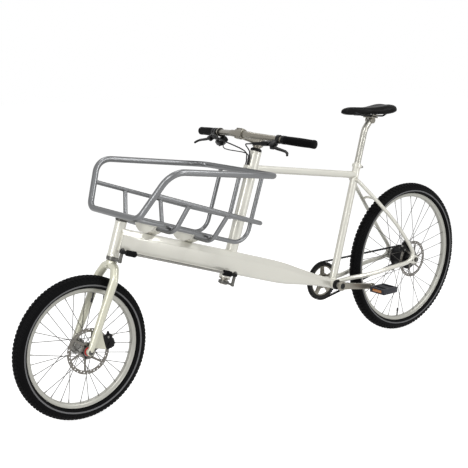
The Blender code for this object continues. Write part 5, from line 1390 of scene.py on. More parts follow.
    def top_and_seat_tubes(self) -> None:
        """Top tube and seat tube with the weld beads at their ends."""
        front, rear = BIKE.column_point(BIKE.column_high - 0.062), BIKE.seat_point(BIKE.seat_top - 0.047)
        top = rod("top_tube_shell", front, rear, self.top_radius, sides=64)
        column = rod("column", BIKE.column_point(0.70), BIKE.column_point(0.90), BIKE.column_radius, sides=72)
        place(cut(top, column, self.seat_tool()), PEARL, Body.FRAME, "top_tube")
        low, high = BIKE.seat_point(BIKE.bottom_bracket.z), BIKE.seat_point(BIKE.seat_top)
        length = (high - low).length
        outline = [(0.0, 0.0), (self.seat_radius, 0.0), (self.seat_radius, length - 0.0006),
                   (self.seat_radius - 0.0006, length), (self.seat_bore, length), (self.seat_bore, 0.075),
                   (0.0, 0.075)]
        tube = lathe("seat_tube_shell", outline, low, BIKE.seat_line, 72)
        place(cut(tube, self.shell_tool()), PEARL, Body.FRAME, "seat_tube")
        line = (rear - front).normalized()
        middle = (front + rear) / 2
        beads = [bead("a", joint_line(middle, -line, self.top_radius, front, BIKE.up, BIKE.column_radius)),
                 bead("b", joint_line(middle, line, self.top_radius, rear, BIKE.seat_line, self.seat_radius)),
                 bead("c", joint_line(high, -BIKE.seat_line, self.seat_radius, BIKE.bottom_bracket, ACROSS,
                                      self.shell_radius))]
        place(gather("top_tube_weld_beads", beads), PEARL, Body.FRAME)

    def clamp(self) -> None:
        """Split collar on the seat tube with its pinch bolt."""
        top = BIKE.seat_point(BIKE.seat_top)
        line, rear = BIKE.seat_line, Vector((BIKE.seat_line.z, 0.0, -BIKE.seat_line.x))
        inner, outer, height = self.seat_radius + 0.0002, self.seat_radius + 0.0045, 0.014
        outline = [(inner, 0.0), (outer - 0.0012, 0.0), (outer, 0.0012), (outer, height - 0.0012),
                   (outer - 0.0012, height), (inner, height)]
        collar = lathe("collar", outline, top - line * (height + 0.004), line, 64)
        middle = top - line * (0.004 + height / 2)
        lug = block("lug", (0.013, 0.0175, height - 0.0006), aim(line, middle + rear * (outer + 0.0005)), 0.0025)
        bore = rod("bore", top - line * 0.04, top + line * 0.02, inner, sides=64)
        split = block("split", (0.03, 0.0016, 0.04), aim(line, middle + rear * (self.seat_radius + 0.014)))
        place(cut(weld(collar, lug), bore, split), PEARL, Body.FRAME, "seat_clamp")
        centre = middle + rear * (outer + 0.002)
        head = bolt("head", centre - ACROSS * 0.0088, -ACROSS, 0.0036, 0.0042)
        nut = bolt("nut", centre + ACROSS * 0.0088, ACROSS, 0.0036, 0.0042)
        place(gather("seat_collar_bolt", [head, nut]), STEEL, Body.FRAME)

    def shell(self) -> None:
        """Bottom bracket shell and its two black notched cups."""
        half, radius, bore = self.shell_half, self.shell_radius, 0.0135
        outline = [(bore, half), (radius - 0.0006, half), (radius, half - 0.0006), (radius, -half + 0.0006),
                   (radius - 0.0006, -half), (bore, -half)]
        place(lathe("bracket_shell_tube", outline, BIKE.bottom_bracket, ACROSS, 72), PEARL, Body.FRAME,
              "bottom_bracket_shell")
        cups = []
        for side in Side:
            teeth: Outline = []
            for index in range(16):
                middle = 2 * math.pi * index / 16
                for share, size in ((-0.30, 0.0203), (0.30, 0.0203), (0.40, 0.0193), (0.60, 0.0193)):
                    angle = middle + share * 2 * math.pi / 16
                    teeth.append((size * math.cos(angle), size * math.sin(angle)))
            centre = BIKE.bottom_bracket + ACROSS * (side * (half + 0.0042))
            notched = slab("notched", [teeth, circle(bore + BIKE.gap, 48)], 0.008, centre)
            lip = lathe("lip", [(bore + 0.0002, 0.0080), (0.0193, 0.0080), (0.0193, 0.0094), (0.0176, 0.0108),
                                (bore + 0.0002, 0.0108)], BIKE.bottom_bracket + ACROSS * (side * half),
                        ACROSS * side, 64)
            cups += [notched, lip]
        place(gather("bracket_cups", cups), BLACK, Body.FRAME)

    def shell_tool(self, slack: float = 0.0, sides: int = 72) -> Piece:
        """Outside of the bottom bracket shell, to cope tubes against it."""
        reach, centre = ACROSS * 0.1, BIKE.bottom_bracket
        return rod("shell", centre - reach, centre + reach, self.shell_radius + slack, sides=sides)

    def seat_tool(self) -> Piece:
        """Outside of the seat tube's upper part, to cope tubes against it."""
        return rod("seat", BIKE.seat_point(0.60), BIKE.seat_point(0.80), self.seat_radius, sides=72)

    def chain_stay_path(self, side: Side) -> Path:
        """Route of a chain stay, from the shell to the bend in front of the axle.

        Args:
            side: the side of the bike.

        Returns:
            The points of its centre line.
        """
        bracket, axle = BIKE.bottom_bracket, BIKE.rear_axle
        inner = BIKE.belt_line - 0.0055 - self.chain_stay_radius - 0.001

        def at(run: float, half: float, rise: float) -> Vector:
            """Point behind the bottom bracket."""
            return Vector((bracket.x + run, side * half, bracket.z + rise))
        half = side * self.stay_half
        return [at(0.018, inner - 0.002, 0.010), at(0.085, inner, 0.0125), at(0.125, inner + 0.0075, 0.0140),
                at(0.165, inner + 0.0175, 0.0165), at(0.220, 0.0600, 0.022), at(0.275, 0.0680, 0.030),
                axle + Vector((-0.105, half, -0.0095)), axle + Vector((-0.060, half, -0.006)),
                axle + Vector((-0.034, half, 0.004)), axle + Vector((-0.0215, half, 0.020)),
                axle + Vector((-0.0195, half, 0.036))]

    def seat_stay_path(self, side: Side) -> Path:
        """Route of a seat stay, from the seat tube down to the bend of the chain stay.

        Args:
            side: the side of the bike.

        Returns:
            The points of its centre line.
        """
        top = BIKE.seat_point(BIKE.seat_top - 0.066)
        end = BIKE.rear_axle + Vector((-0.0195, side * self.stay_half, 0.036))
        slope = end - top
        return [top + Vector((-0.004, side * 0.015, 0.004)), top + Vector((0.020, side * 0.01995, -0.016)),
                Vector((top.x + slope.x * 0.36, side * 0.046, top.z + slope.z * 0.32)),
                Vector((top.x + slope.x * 0.62, side * 0.0640, top.z + slope.z * 0.57)),
                Vector((top.x + slope.x * 0.80, side * self.stay_half, top.z + slope.z * 0.765)),
                Vector((end.x - 0.0125, side * self.stay_half, end.z + 0.0195)),
                Vector((end.x + 0.0008, side * self.stay_half, end.z - 0.0080))]

    def chain_stay(self, side: Side) -> None:
        """Chain stay with its dropout plate and the two bolts of the plate.

        Args:
            side: the side of the bike.
        """
        path = flowing(self.chain_stay_path(side), 5)
        tube = sweep("stay", path, self.chain_stay_radius, 24)
        cut(tube, self.shell_tool(sides=64))
        centre = BIKE.rear_axle + ACROSS * (side * self.stay_half)
        outline = (arc(0.018, math.radians(-100), math.radians(95), 28)
                   + [(-0.016, 0.034), (-0.030, 0.010), (-0.045, -0.008), (-0.016, -0.0165)])
        plate = slab("plate", [outline], self.dropout, centre, bevel=0.0012)
        hole = rod("hole", centre - ACROSS * 0.02, centre + ACROSS * 0.02, 0.0053)
        cut(plate, hole)
        name = f"chain_stay_{side.word}"
        place(gather(f"{name}_tube", [tube, plate]), PEARL, Body.FRAME, name)
        bolts = []
        for run, rise in ((-0.030, 0.0015), (-0.013, 0.0245)):
            at = centre + Vector((run, side * (self.dropout / 2 + 0.0055 * (run < -0.02)), rise))
            bolts.append(bolt("bolt", at, ACROSS * side, 0.0032, 0.0024))
        place(gather(f"dropout_bolts_{side.word}", bolts), DARK_SATIN, Body.FRAME)
        if side is Side.LEFT:
            under = path[len(path) // 2 + 2] - Vector((0.0, 0.0, self.chain_stay_radius + 0.0012))
            place(block("cable_guide", (0.012, 0.0065, 0.0050), Matrix.Translation(under), 0.0012), BOLT_BLACK,
                  Body.FRAME)

    def seat_stays(self) -> None:
        """Seat stays with their arched bridge and the weld beads at the seat tube."""
        pieces, beads = [], []
        for side in Side:
            route = flowing(self.seat_stay_path(side), 6)
            radii = [self.seat_stay_radius + max(0.0, index / (len(route) - 1) - 0.72) * 0.0052
                     for index in range(len(route))]
            stay = sweep("stay", route, self.seat_stay_radius, 24, radii=radii)
            pieces.append(cut(stay, self.seat_tool()))
        start = self.bridge_foot
        crown = Vector((start.x - 0.012, 0.0, start.z + 0.018))
        half = [start, start.lerp(crown, 0.45) + Vector((0.0, 0.0, 0.006)), crown]
        arch = flowing(half + mirrored(half[::-1])[1:], 8)
        pieces.append(sweep("bridge", arch, 0.0055, 20))
        place(gather("seat_stay_tubes", pieces), PEARL, Body.FRAME, "seat_stays")
        for side in Side:
            first, second = self.seat_stay_path(side)[:2]
            line = (first - second).normalized()
            beads.append(bead("bead", joint_line(second, line, self.seat_stay_radius, BIKE.seat_point(0.7),
                                                 BIKE.seat_line, self.seat_radius), 0.0013))
        place(gather("seat_stay_weld_beads", beads), PEARL, Body.FRAME)

    def rear_axle(self) -> None:
        """Rear axle with its washers and domed nuts."""
        axle = BIKE.rear_axle
        pieces = [rod("axle", axle - ACROSS * 0.0805, axle + ACROSS * 0.0805, 0.0050, bevel=0.0008)]
        for side in Side:
            face = axle + ACROSS * (side * (self.stay_half + self.dropout / 2 + BIKE.gap))
            pieces.append(lathe("washer", [(0.0052, 0.0), (0.0110, 0.0), (0.0110, 0.0012), (0.0052, 0.0012)], face,
                                ACROSS * side, 32))
            pieces.append(hex_nut("nut", face + ACROSS * (side * 0.0012), ACROSS * side, 0.0096, 0.0062, 0.0052))
        place(gather("rear_axle_nuts", pieces), DARK_SATIN, Body.FRAME, "rear_axle")


def bolt(name: str, base: Vector, direction: Vector, radius: float, height: float) -> Piece:
    """Socket bolt head with its hexagonal recess.

    Args:
        name: the piece's name.
        base: centre of its underside.
        direction: where its top points.
        radius: its radius.
        height: its height.

    Returns:
        The bolt head.
    """
    line = Vector(direction).normalized()
    head = rod(name, base, base + line * height, radius, sides=24, bevel=radius * 0.14)
    socket = rod("socket", base + line * height * 0.35, base + line * (height * 1.5), radius * 0.52, sides=6)
    return cut(head, socket)


def hex_nut(name: str, base: Vector, direction: Vector, radius: float, height: float, bore: float) -> Piece:
    """Hexagonal nut with a chamfered face.

    Args:
        name: the piece's name.
        base: centre of its underside.
        direction: where its top points.
        radius: radius to its corners.
        height: its height.
        bore: radius of its hole.

    Returns:
        The nut.
    """
    line = Vector(direction).normalized()
    nut = rod(name, base, base + line * height, radius, sides=6, bevel=radius * 0.07)
    return cut(nut, rod("bore", base - line * height, base + line * height * 2, bore, sides=24))


# Basket
@dataclass
class Basket:
    """Tubular load basket on the beam: rim, middle rail, floor rails, hoops and brackets."""
    rise: float = 0.083
    middle_rise: float = 0.174
    rim_tube: float = 0.011
    rail_tube: float = 0.008
    front_reach: float = 0.0375
    front_half: float = 0.152
    top_front_half: float = 0.228
    top_rear_half: float = 0.208
    slope_run: float = 0.083
    top_front: float = 0.855
    top_rear: float = 0.798
    rear_gap: float = 0.060
    upright_setback: float = 0.012
    floor_half: float = 0.120
    hoop_half: float = 0.150
    hoop_run: float = 0.123
    hoop_spacing: float = 0.158
    middle_start: float = 0.52
    middle_rear_half: float = 0.210
    rear_corner: float = 0.028

    def build(self) -> None:
        """Make every piece of the basket."""
        self.rim()
        self.middle_rail()
        for side in Side:
            self.floor_rail(side)
        for index in (0, 1):
            self.hoop(index)
            self.bracket(index)
        self.fasteners()

    @property
    def front_x(self) -> float:
        """x of the rim's front bar."""
        head = BIKE.head_point(BIKE.head_high).x
        return head + BIKE.lean * (BIKE.beam_z(head) + self.rise - BIKE.head_high) - self.front_reach

    @property
    def front_z(self) -> float:
        """Height of the rim's front bar."""
        return BIKE.beam_z(self.front_x) + self.rise

    @property
    def rear_x(self) -> float:
        """x of the rim's rear bar."""
        return BIKE.column_point(self.top_rear).x - self.rear_gap

    def floor_z(self, x: float) -> float:
        """Height of the floor rails at x."""
        return BIKE.beam_z(x) + self.rise

    def middle_z(self, x: float) -> float:
        """Height of the middle rail at x."""
        return BIKE.beam_z(x) + self.middle_rise

    def slope_point(self, side: Side, share: float) -> Vector:
        """Point of a front slope tube, from its lower corner (0) to its upper bend (1).

        Args:
            side: the side of the bike.
            share: how far along the tube.

        Returns:
            The point.
        """
        half = self.front_half + (self.top_front_half - self.front_half) * share
        return Vector((self.front_x + self.slope_run * share, side * half,
                       self.front_z + (self.top_front - self.front_z) * share))

    def upright_x(self, z: float) -> float:
        """x of the rear uprights at height z."""
        return self.rear_x + self.upright_setback - (self.top_rear - z) * BIKE.lean

    def upright_foot(self, height: Callable[[float], float]) -> tuple[float, float]:
        """Where the uprights' line meets a rail, as x and z.

        Args:
            height: the rail's height at x.

        Returns:
            Both numbers.
        """
        z = self.top_rear
        for _ in range(30):
            z = height(self.upright_x(z))
        return self.upright_x(z), z

    def rim_path(self, steps: int = 14) -> Path:
        """Closed loop of the rim.

        Args:
            steps: steps in each bend.

        Returns:
            The points of its centre line.
        """
        rear = {side: Vector((self.rear_x, side * self.top_rear_half, self.top_rear)) for side in Side}
        left, right = Side.LEFT, Side.RIGHT
        corners = [self.slope_point(left, 0), self.slope_point(right, 0), self.slope_point(right, 1), rear[right],
                   rear[left], self.slope_point(left, 1)]
        return rounded(corners, [0.045, 0.045, 0.075, self.rear_corner, self.rear_corner, 0.075], steps, True)

    def rim(self) -> None:
        """Thick rim loop."""
        place(sweep("basket_rim_tube", self.rim_path(), self.rim_tube, 28, closed=True), SILVER, Body.FRAME,
              "basket_rim")

    def rim_tool(self) -> Piece:
        """Rim a hair thicker, to cope tubes against it."""
        return sweep("rim_tool", self.rim_path(10), self.rim_tube + BIKE.cope, 24, closed=True)

    def middle_path(self, steps: int = 14) -> Path:
        """Route of the middle rail round the back, from one slope tube to the other.

        Args:
            steps: steps in each bend.

        Returns:
            The points of its centre line.
        """
        x, _ = self.upright_foot(self.middle_z)
        x -= (2 * self.rail_tube + BIKE.gap) / math.cos(BIKE.tilt)
        half = self.middle_rear_half
        return rounded([self.slope_point(Side.LEFT, self.middle_start), Vector((x, -half, self.middle_z(x))),
                        Vector((x, half, self.middle_z(x))), self.slope_point(Side.RIGHT, self.middle_start)],
                       [0, self.rear_corner, self.rear_corner, 0], steps)

    def middle_rail(self) -> None:
        """Middle rail with the upright behind it, and its weld beads."""
        path = self.middle_path()
        rail = sweep("rail", path, self.rail_tube, 24)
        _, z = self.upright_foot(self.middle_z)
        ahead = BIKE.ahead * 0.0035
        low = z - 0.010
        feet = [Vector((self.upright_x(low), 0.0, low)) + ahead,
                Vector((self.upright_x(self.top_rear), 0.0, self.top_rear)) + ahead]
        upright = rod("upright", feet[0], feet[1], self.rail_tube, sides=24)
        place(gather("basket_middle_tube", [cut(rail, self.rim_tool()), cut(upright, self.rim_tool())]), SILVER,
              Body.FRAME, "basket_middle_rail")
        beads = []
        for side in Side:
            near, far = path_end(path, side)
            slope = (self.slope_point(side, 1) - self.slope_point(side, 0)).normalized()
            beads.append(bead("bead", joint_line(far, (near - far).normalized(), self.rail_tube,
                                                 self.slope_point(side, 0.5), slope, self.rim_tube), 0.0015))
        up = (feet[1] - feet[0]).normalized()
        rear = Vector((self.rear_x, 0.0, self.top_rear))
        beads.append(bead("bead", joint_line(feet[0], up, self.rail_tube, rear, ACROSS, self.rim_tube), 0.0015))
        place(gather("basket_weld_beads", beads), SILVER, Body.FRAME)

    def floor_path(self, side: Side, steps: int = 16) -> Path:
        """Route of a floor rail that bends up at the rear.

        Args:
            side: the side of the bike.
            steps: steps in each bend.

        Returns:
            The points of its centre line.
        """
        half = side * self.floor_half
        x, z = self.upright_foot(self.floor_z)
        return rounded([Vector((self.front_x, half, self.front_z)), Vector((x, half, z)),
                        Vector((self.upright_x(self.top_rear), half, self.top_rear))], [0, 0.060, 0], steps)

    def floor_rail(self, side: Side) -> None:
        """Floor rail of one side with the beads at both ends.

        Args:
            side: the side of the bike.
        """
        path = self.floor_path(side)
        rail = sweep(f"floor_rail_{side.word}_tube", path, self.rail_tube, 24)
        place(cut(rail, self.rim_tool()), SILVER, Body.FRAME, f"floor_rail_{side.word}")
        up = (path[-1] - path[-2]).normalized()
        front = (path[0] - path[1]).normalized()
        beads = [bead("bead", joint_line(path[-2], up, self.rail_tube,
                                         Vector((self.rear_x, 0.0, self.top_rear)), ACROSS, self.rim_tube), 0.0015),
                 bead("bead", joint_line(path[1], front, self.rail_tube,
                                         Vector((self.front_x, 0.0, self.front_z)), ACROSS, self.rim_tube), 0.0015)]
        place(gather(f"floor_rail_beads_{side.word}", beads), SILVER, Body.FRAME)

    def hoop_centre(self, index: int) -> Vector:
        """Middle of a hoop's bottom bar.

        Args:
            index: 0 for the front one, 1 for the rear one.

        Returns:
            The point.
        """
        x = self.front_x + self.hoop_run + self.hoop_spacing * index
        lift = self.rise * BIKE.beam_normal.z - 2 * self.rail_tube - 0.00054
        return Vector((x, 0.0, BIKE.beam_z(x))) + BIKE.beam_normal * lift

    def hoop_path(self, index: int, steps: int = 14) -> Path:
        """Route of a hoop from the middle rail, under the floor rails, to the middle rail.

        Args:
            index: 0 for the front one, 1 for the rear one.
            steps: steps in each bend.

        Returns:
            The points of its centre line.
        """
        base = self.hoop_centre(index)
        rise = (self.middle_rise - self.rise) / math.sqrt(1 + BIKE.lean ** 2) + 2 * self.rail_tube
        top = base + BIKE.beam_normal * rise
        start, end = self.middle_path(4)[:2]
        half = abs(start.y + (end.y - start.y) * (top.x - start.x) / (end.x - start.x))
        corners = [top + ACROSS * -half, base + ACROSS * -self.hoop_half, base + ACROSS * self.hoop_half,
                   top + ACROSS * half]
        return rounded(corners, [0, 0.050, 0.050, 0], steps)

    def hoop(self, index: int) -> None:
        """Cross hoop with the beads at its upper ends.

        Args:
            index: 0 for the front one, 1 for the rear one.
        """
        word = ("front", "rear")[index]
        path = self.hoop_path(index)
        tube = sweep(f"{word}_hoop_tube", path, self.rail_tube, 24)
        tool = sweep("tool", self.middle_path(4), self.rail_tube + BIKE.cope, 24)
        place(cut(tube, tool), SILVER, Body.FRAME, f"{word}_hoop")
        rail = self.middle_path(4)
        beads = []
        for side in Side:
            near, far = path_end(path, side)
            start, end = path_end(rail, side)
            beads.append(bead("bead", joint_line(far, (near - far).normalized(), self.rail_tube, start,
                                                 (end - start).normalized(), self.rail_tube), 0.0014))
        place(gather(f"{word}_hoop_beads", beads), SILVER, Body.FRAME)

    def bracket(self, index: int) -> None:
        """Pressed steel saddle that holds a hoop on the beam, open at its front.

        Args:
            index: 0 for the front one, 1 for the rear one.
        """
        word = ("front", "rear")[index]
        base = self.hoop_centre(index)
        piece = refined(f"{word}_bracket_pressing", f"{word}_bracket", 0.0008, 2, 30.0)
        place(smooth(piece, 22.0), PEARL, Body.FRAME, f"{word}_bracket")
        bolts = []
        for across in (-0.030, 0.0, 0.030):
            top = base + ACROSS * across + BIKE.beam_normal * (self.rail_tube - 0.0006)
            bolts.append(bolt("bolt", top, BIKE.beam_normal, 0.0048, 0.0038))
        place(gather(f"{word}_bracket_bolts", bolts), BOLT_BLACK, Body.FRAME)

    def fasteners(self) -> None:
        """Light rivet heads on the floor rails above the hoops."""
        heads = []
        for side in Side:
            for index in (0, 1):
                x = self.hoop_centre(index).x
                for run in (-0.017, 0.017):
                    at = Vector((x + run, side * self.floor_half, self.floor_z(x + run)))
                    foot = at + ACROSS * (side * (self.rail_tube - 0.0004))
                    heads.append(bolt("rivet", foot, ACROSS * side, 0.0032, 0.0018))
        place(gather("floor_rail_rivets", heads), STEEL, Body.FRAME)


# Wheels
@dataclass
class Wheel:
    """Tyre, rim, spokes, hub and brake rotor of one wheel."""
    word: str
    body: Body
    radius: float
    bead: float
    hub_outline: Outline
    hub_finish: Finish
    flange_radius: float
    flange_y: float
    crossing: int
    rotor_y: float
    valve_angle: float
    tread_depth: float
    tyre_width: float = 0.053
    blocks_round: int = 108
    rim_width: float = 0.026
    flange: float = 0.006
    rim_depth: float = 0.016
    spoke: float = 0.0012
    rotor_band: float = 0.013
    rotor_thickness: float = 0.002

    @property
    def axle(self) -> Vector:
        """Centre of the wheel."""
        return BIKE.front_axle if self.body is Body.FRONT_WHEEL else BIKE.rear_axle

    def build(self) -> None:
        """Make every piece of the wheel."""
        self.tyre()
        self.rim()
        self.spokes()
        self.hub()
        self.rotor()
        self.valve()

    def section(self, angle: float, lift: float = 0.0) -> tuple[float, float]:
        """Point of the tyre's skin, as (radius, y), at an angle from its crown.

        Args:
            angle: the angle.
            lift: height above the skin.

        Returns:
            The radius and y.
        """
        height = (self.radius - self.bead) / 2
        middle = self.radius - self.tread_depth - height
        half = self.tyre_width / 2 - 0.0012
        return middle + (height + lift) * math.cos(angle), (half + lift) * math.sin(angle)

    def tyre(self) -> None:
        """Casing with its light stripe and its tread blocks."""
        inner = self.bead + self.flange + BIKE.gap
        side = [self.section(math.radians(angle)) for angle in range(0, 116, 5)]
        side = [point for point in side if point[0] > inner + 0.001]
        wall = [(inner, self.rim_width / 2 - 0.001)]
        outline = wall + side[::-1] + [(r, -y) for r, y in side[1:]] + [(r, -y) for r, y in wall]
        place(lathe(f"{self.word}_tyre_casing", outline, self.axle, ACROSS, 144, 60.0), TYRE, self.body,
              f"{self.word}_tyre")
        blocks = []
        for angle, size, depth in ((9, (0.0085, 0.0078), 1.0), (33, (0.0085, 0.0090), 0.95),
                                   (55, (0.0075, 0.0085), 0.8)):
            for sign in (-1, 1):
                blocks.append(self.tread_row(sign * angle, size, depth, (angle + sign) % 3))
        place(gather(f"{self.word}_tread_blocks", blocks), TYRE, self.body)
        stripes = []
        for sign in (-1, 1):
            band = [self.section(math.radians(a), 0.00035) for a in (106, 102, 98, 94)]
            under = [self.section(math.radians(a), -0.0004) for a in (94, 106)]
            loop = [(r, sign * y) for r, y in band + under]
            stripes.append(lathe("stripe", loop, self.axle, ACROSS, 144, 60.0))
        place(gather(f"{self.word}_sidewall_stripe", stripes), STRIPE, self.body)

    def tread_row(self, degrees: float, size: tuple[float, float], depth: float, phase: int) -> Piece:
        """One row of blocks round the tyre.

        Args:
            degrees: angle of the row from the crown.
            size: length along the tread and width across it.
            depth: share of the tread's depth.
            phase: how far the row is shifted, in thirds of a block's pitch.

        Returns:
            The row as one piece.
        """
        angle = math.radians(degrees)
        radial, across = self.section(angle)
        tall = self.tread_depth * depth - 0.0004
        height = (self.radius - self.bead) / 2
        slope = math.atan2(math.sin(angle) / (self.tyre_width / 2), math.cos(angle) / height)
        normal = Vector((0.0, math.sin(slope), math.cos(slope)))
        start_clean()
        bpy.ops.mesh.primitive_cube_add(size=1.0)
        piece = bpy.context.object
        foot = Vector((0.0, across, radial))
        width = Vector((0.0, normal.z, -normal.y))
        turn = Matrix((Vector((1, 0, 0)), width, normal)).transposed().to_4x4()
        spot = Matrix.Translation(foot + normal * (tall / 2 - 0.0006)) @ turn
        lean = Matrix.Rotation(math.radians(10.0 if degrees > 0 else -10.0), 4, 'Z')
        settle(piece, spot @ lean @ Matrix.Diagonal((*size, tall + 0.0012, 1.0)), "block")
        with Editing(piece) as mesh:
            for face in mesh.faces:
                face.select = face.normal.dot(normal) > 0.9
            bmesh.update_edit_mesh(piece.data)
            bpy.ops.transform.resize(value=(0.82, 0.82, 0.82))
        spin = Matrix.Rotation(2 * math.pi / self.blocks_round * phase / 3, 4, 'Y')
        settle(piece, Matrix.Translation(self.axle) @ spin, "block")
        spun(piece, self.blocks_round, self.axle, ACROSS)
        return smooth(piece, 30.0)

    def rim(self) -> None:
        """Rim with its well, side walls and rounded flange lips."""
        outer, half = self.bead + self.flange, self.rim_width / 2
        inner = outer - self.rim_depth
        side = [(inner, half * 0.22), (inner + 0.0006, half * 0.45), (inner + 0.0035, half * 0.82),
                (inner + 0.0065, half * 0.90), (outer - 0.0022, half * 0.93), (outer - 0.0014, half),
                (outer - 0.0004, half), (outer, half - 0.0008), (outer, half - 0.0022)]
        well = [(outer - 0.0050, half - 0.0030), (outer - 0.0060, half * 0.4)]
        outline = side + well + [(r, -y) for r, y in well[::-1]] + [(r, -y) for r, y in side[::-1]]
        place(lathe(f"{self.word}_rim_profile", outline, self.axle, ACROSS, 144, 40.0), RIM_METAL, self.body,
              f"{self.word}_rim")

    def spokes(self) -> None:
        """Crossed spokes with their nipples and heads."""
        step = 2 * math.pi / 16
        reach = self.bead + self.flange - self.rim_depth + 0.0006
        wires, nipples = [], []
        for side in Side:
            for lead in (1, -1):
                angle = (step if lead < 0 else 0.0) + side * step / 4
                outer = angle + lead * self.crossing * step
                start = self.axle + Vector((self.flange_radius * math.cos(angle),
                                            side * (self.flange_y + lead * 0.0022),
                                            self.flange_radius * math.sin(angle)))
                end = self.axle + Vector((reach * math.cos(outer), side * 0.0045 + lead * 0.0012,
                                          reach * math.sin(outer)))
                line = (end - start).normalized()
                wire = rod("wire", start - line * 0.002, end, self.spoke, sides=8)
                head = rod("head", start - ACROSS * 0.0012, start + ACROSS * 0.0012, 0.0020, sides=8)
                wires.append(spun(gather("wire", [wire, head]), 8, self.axle, ACROSS))
                nipple = rod("nipple", end - line * 0.011, end, 0.0019, 0.0022, 8)
                nipples.append(spun(nipple, 8, self.axle, ACROSS))
        place(gather(f"{self.word}_spoke_wires", wires), SPOKE_STEEL, self.body)
        place(gather(f"{self.word}_spoke_nipples", nipples), STEEL, self.body)

    def hub(self) -> None:
        """Hub shell with rounded flanges."""
        shell = lathe(f"{self.word}_hub_shell", self.hub_outline, self.axle, ACROSS, 72, 30.0)
        place(soften(shell, 0.0010, 2, 35.0), self.hub_finish, self.body, f"{self.word}_hub")

    def rotor(self) -> None:
        """Brake rotor: drilled band on six swept arms, with its bolts."""
        centre = self.axle + ACROSS * self.rotor_y
        inner = BIKE.rotor_radius - self.rotor_band
        width = 2 * math.pi / 6
        outlines = [circle(BIKE.rotor_radius, 120), circle(0.0192, 48)]
        for index in range(6):
            start = width * index
            outlines.append(arc(0.028, start + width * 0.18, start + width * 0.86, 8)
                            + arc(inner, start + width * 0.98 + 0.25, start + width * 0.06 + 0.25, 14))
        for index in range(36):
            angle = 2 * math.pi * (index + 0.5) / 36
            radius = inner + self.rotor_band * (0.30, 0.52, 0.74)[index % 3]
            outlines.append(circle(0.0027, 12, 0.0, (radius * math.cos(angle), radius * math.sin(angle))))
        disc = slab(f"{self.word}_rotor_disc", outlines, self.rotor_thickness, centre)
        place(disc, ROTOR_STEEL, self.body, f"{self.word}_rotor")
        face = centre - ACROSS * (self.rotor_thickness / 2)
        screw = bolt("screw", face + Vector((0.0235, 0.0, 0.0)), -ACROSS, 0.0038, 0.0022)
        screws = spun(screw, 6, self.axle, ACROSS)
        lock = lathe("carrier", [(0.0192, -0.0010), (0.0215, -0.0010), (0.0215, 0.0012), (0.0192, 0.0012)], centre,
                     -ACROSS, 48)
        place(gather(f"{self.word}_rotor_bolts", [screws, lock]), BOLT_BLACK, self.body)
        if self.body is Body.FRONT_WHEEL:
            ring = [(0.0060, 0.0446), (0.0150, 0.0446), (0.0158, 0.0454), (0.0158, 0.0474), (0.0138, 0.0490),
                    (0.0060, 0.0490)]
            place(lathe("front_hub_red_ring", ring, self.axle, -ACROSS, 48), RED, self.body)

    def valve(self) -> None:
        """Valve stem and its cap, pointing at the hub."""
        line = Vector((math.cos(self.valve_angle), 0.0, math.sin(self.valve_angle)))
        reach = self.bead + self.flange - self.rim_depth
        tip = self.axle + line * (reach - 0.034)
        stem = rod("stem", tip + line * 0.006, self.axle + line * (reach + 0.004), 0.0032, sides=16)
        cap = rod("cap", tip, tip + line * 0.014, 0.0040, 0.0044, 16, 0.0008)
        seat = rod("seat", self.axle + line * (reach - 0.002), self.axle + line * (reach + 0.001), 0.0052, sides=6)
        place(gather(f"{self.word}_valve", [stem, cap, seat]), BOLT_BLACK, self.body)


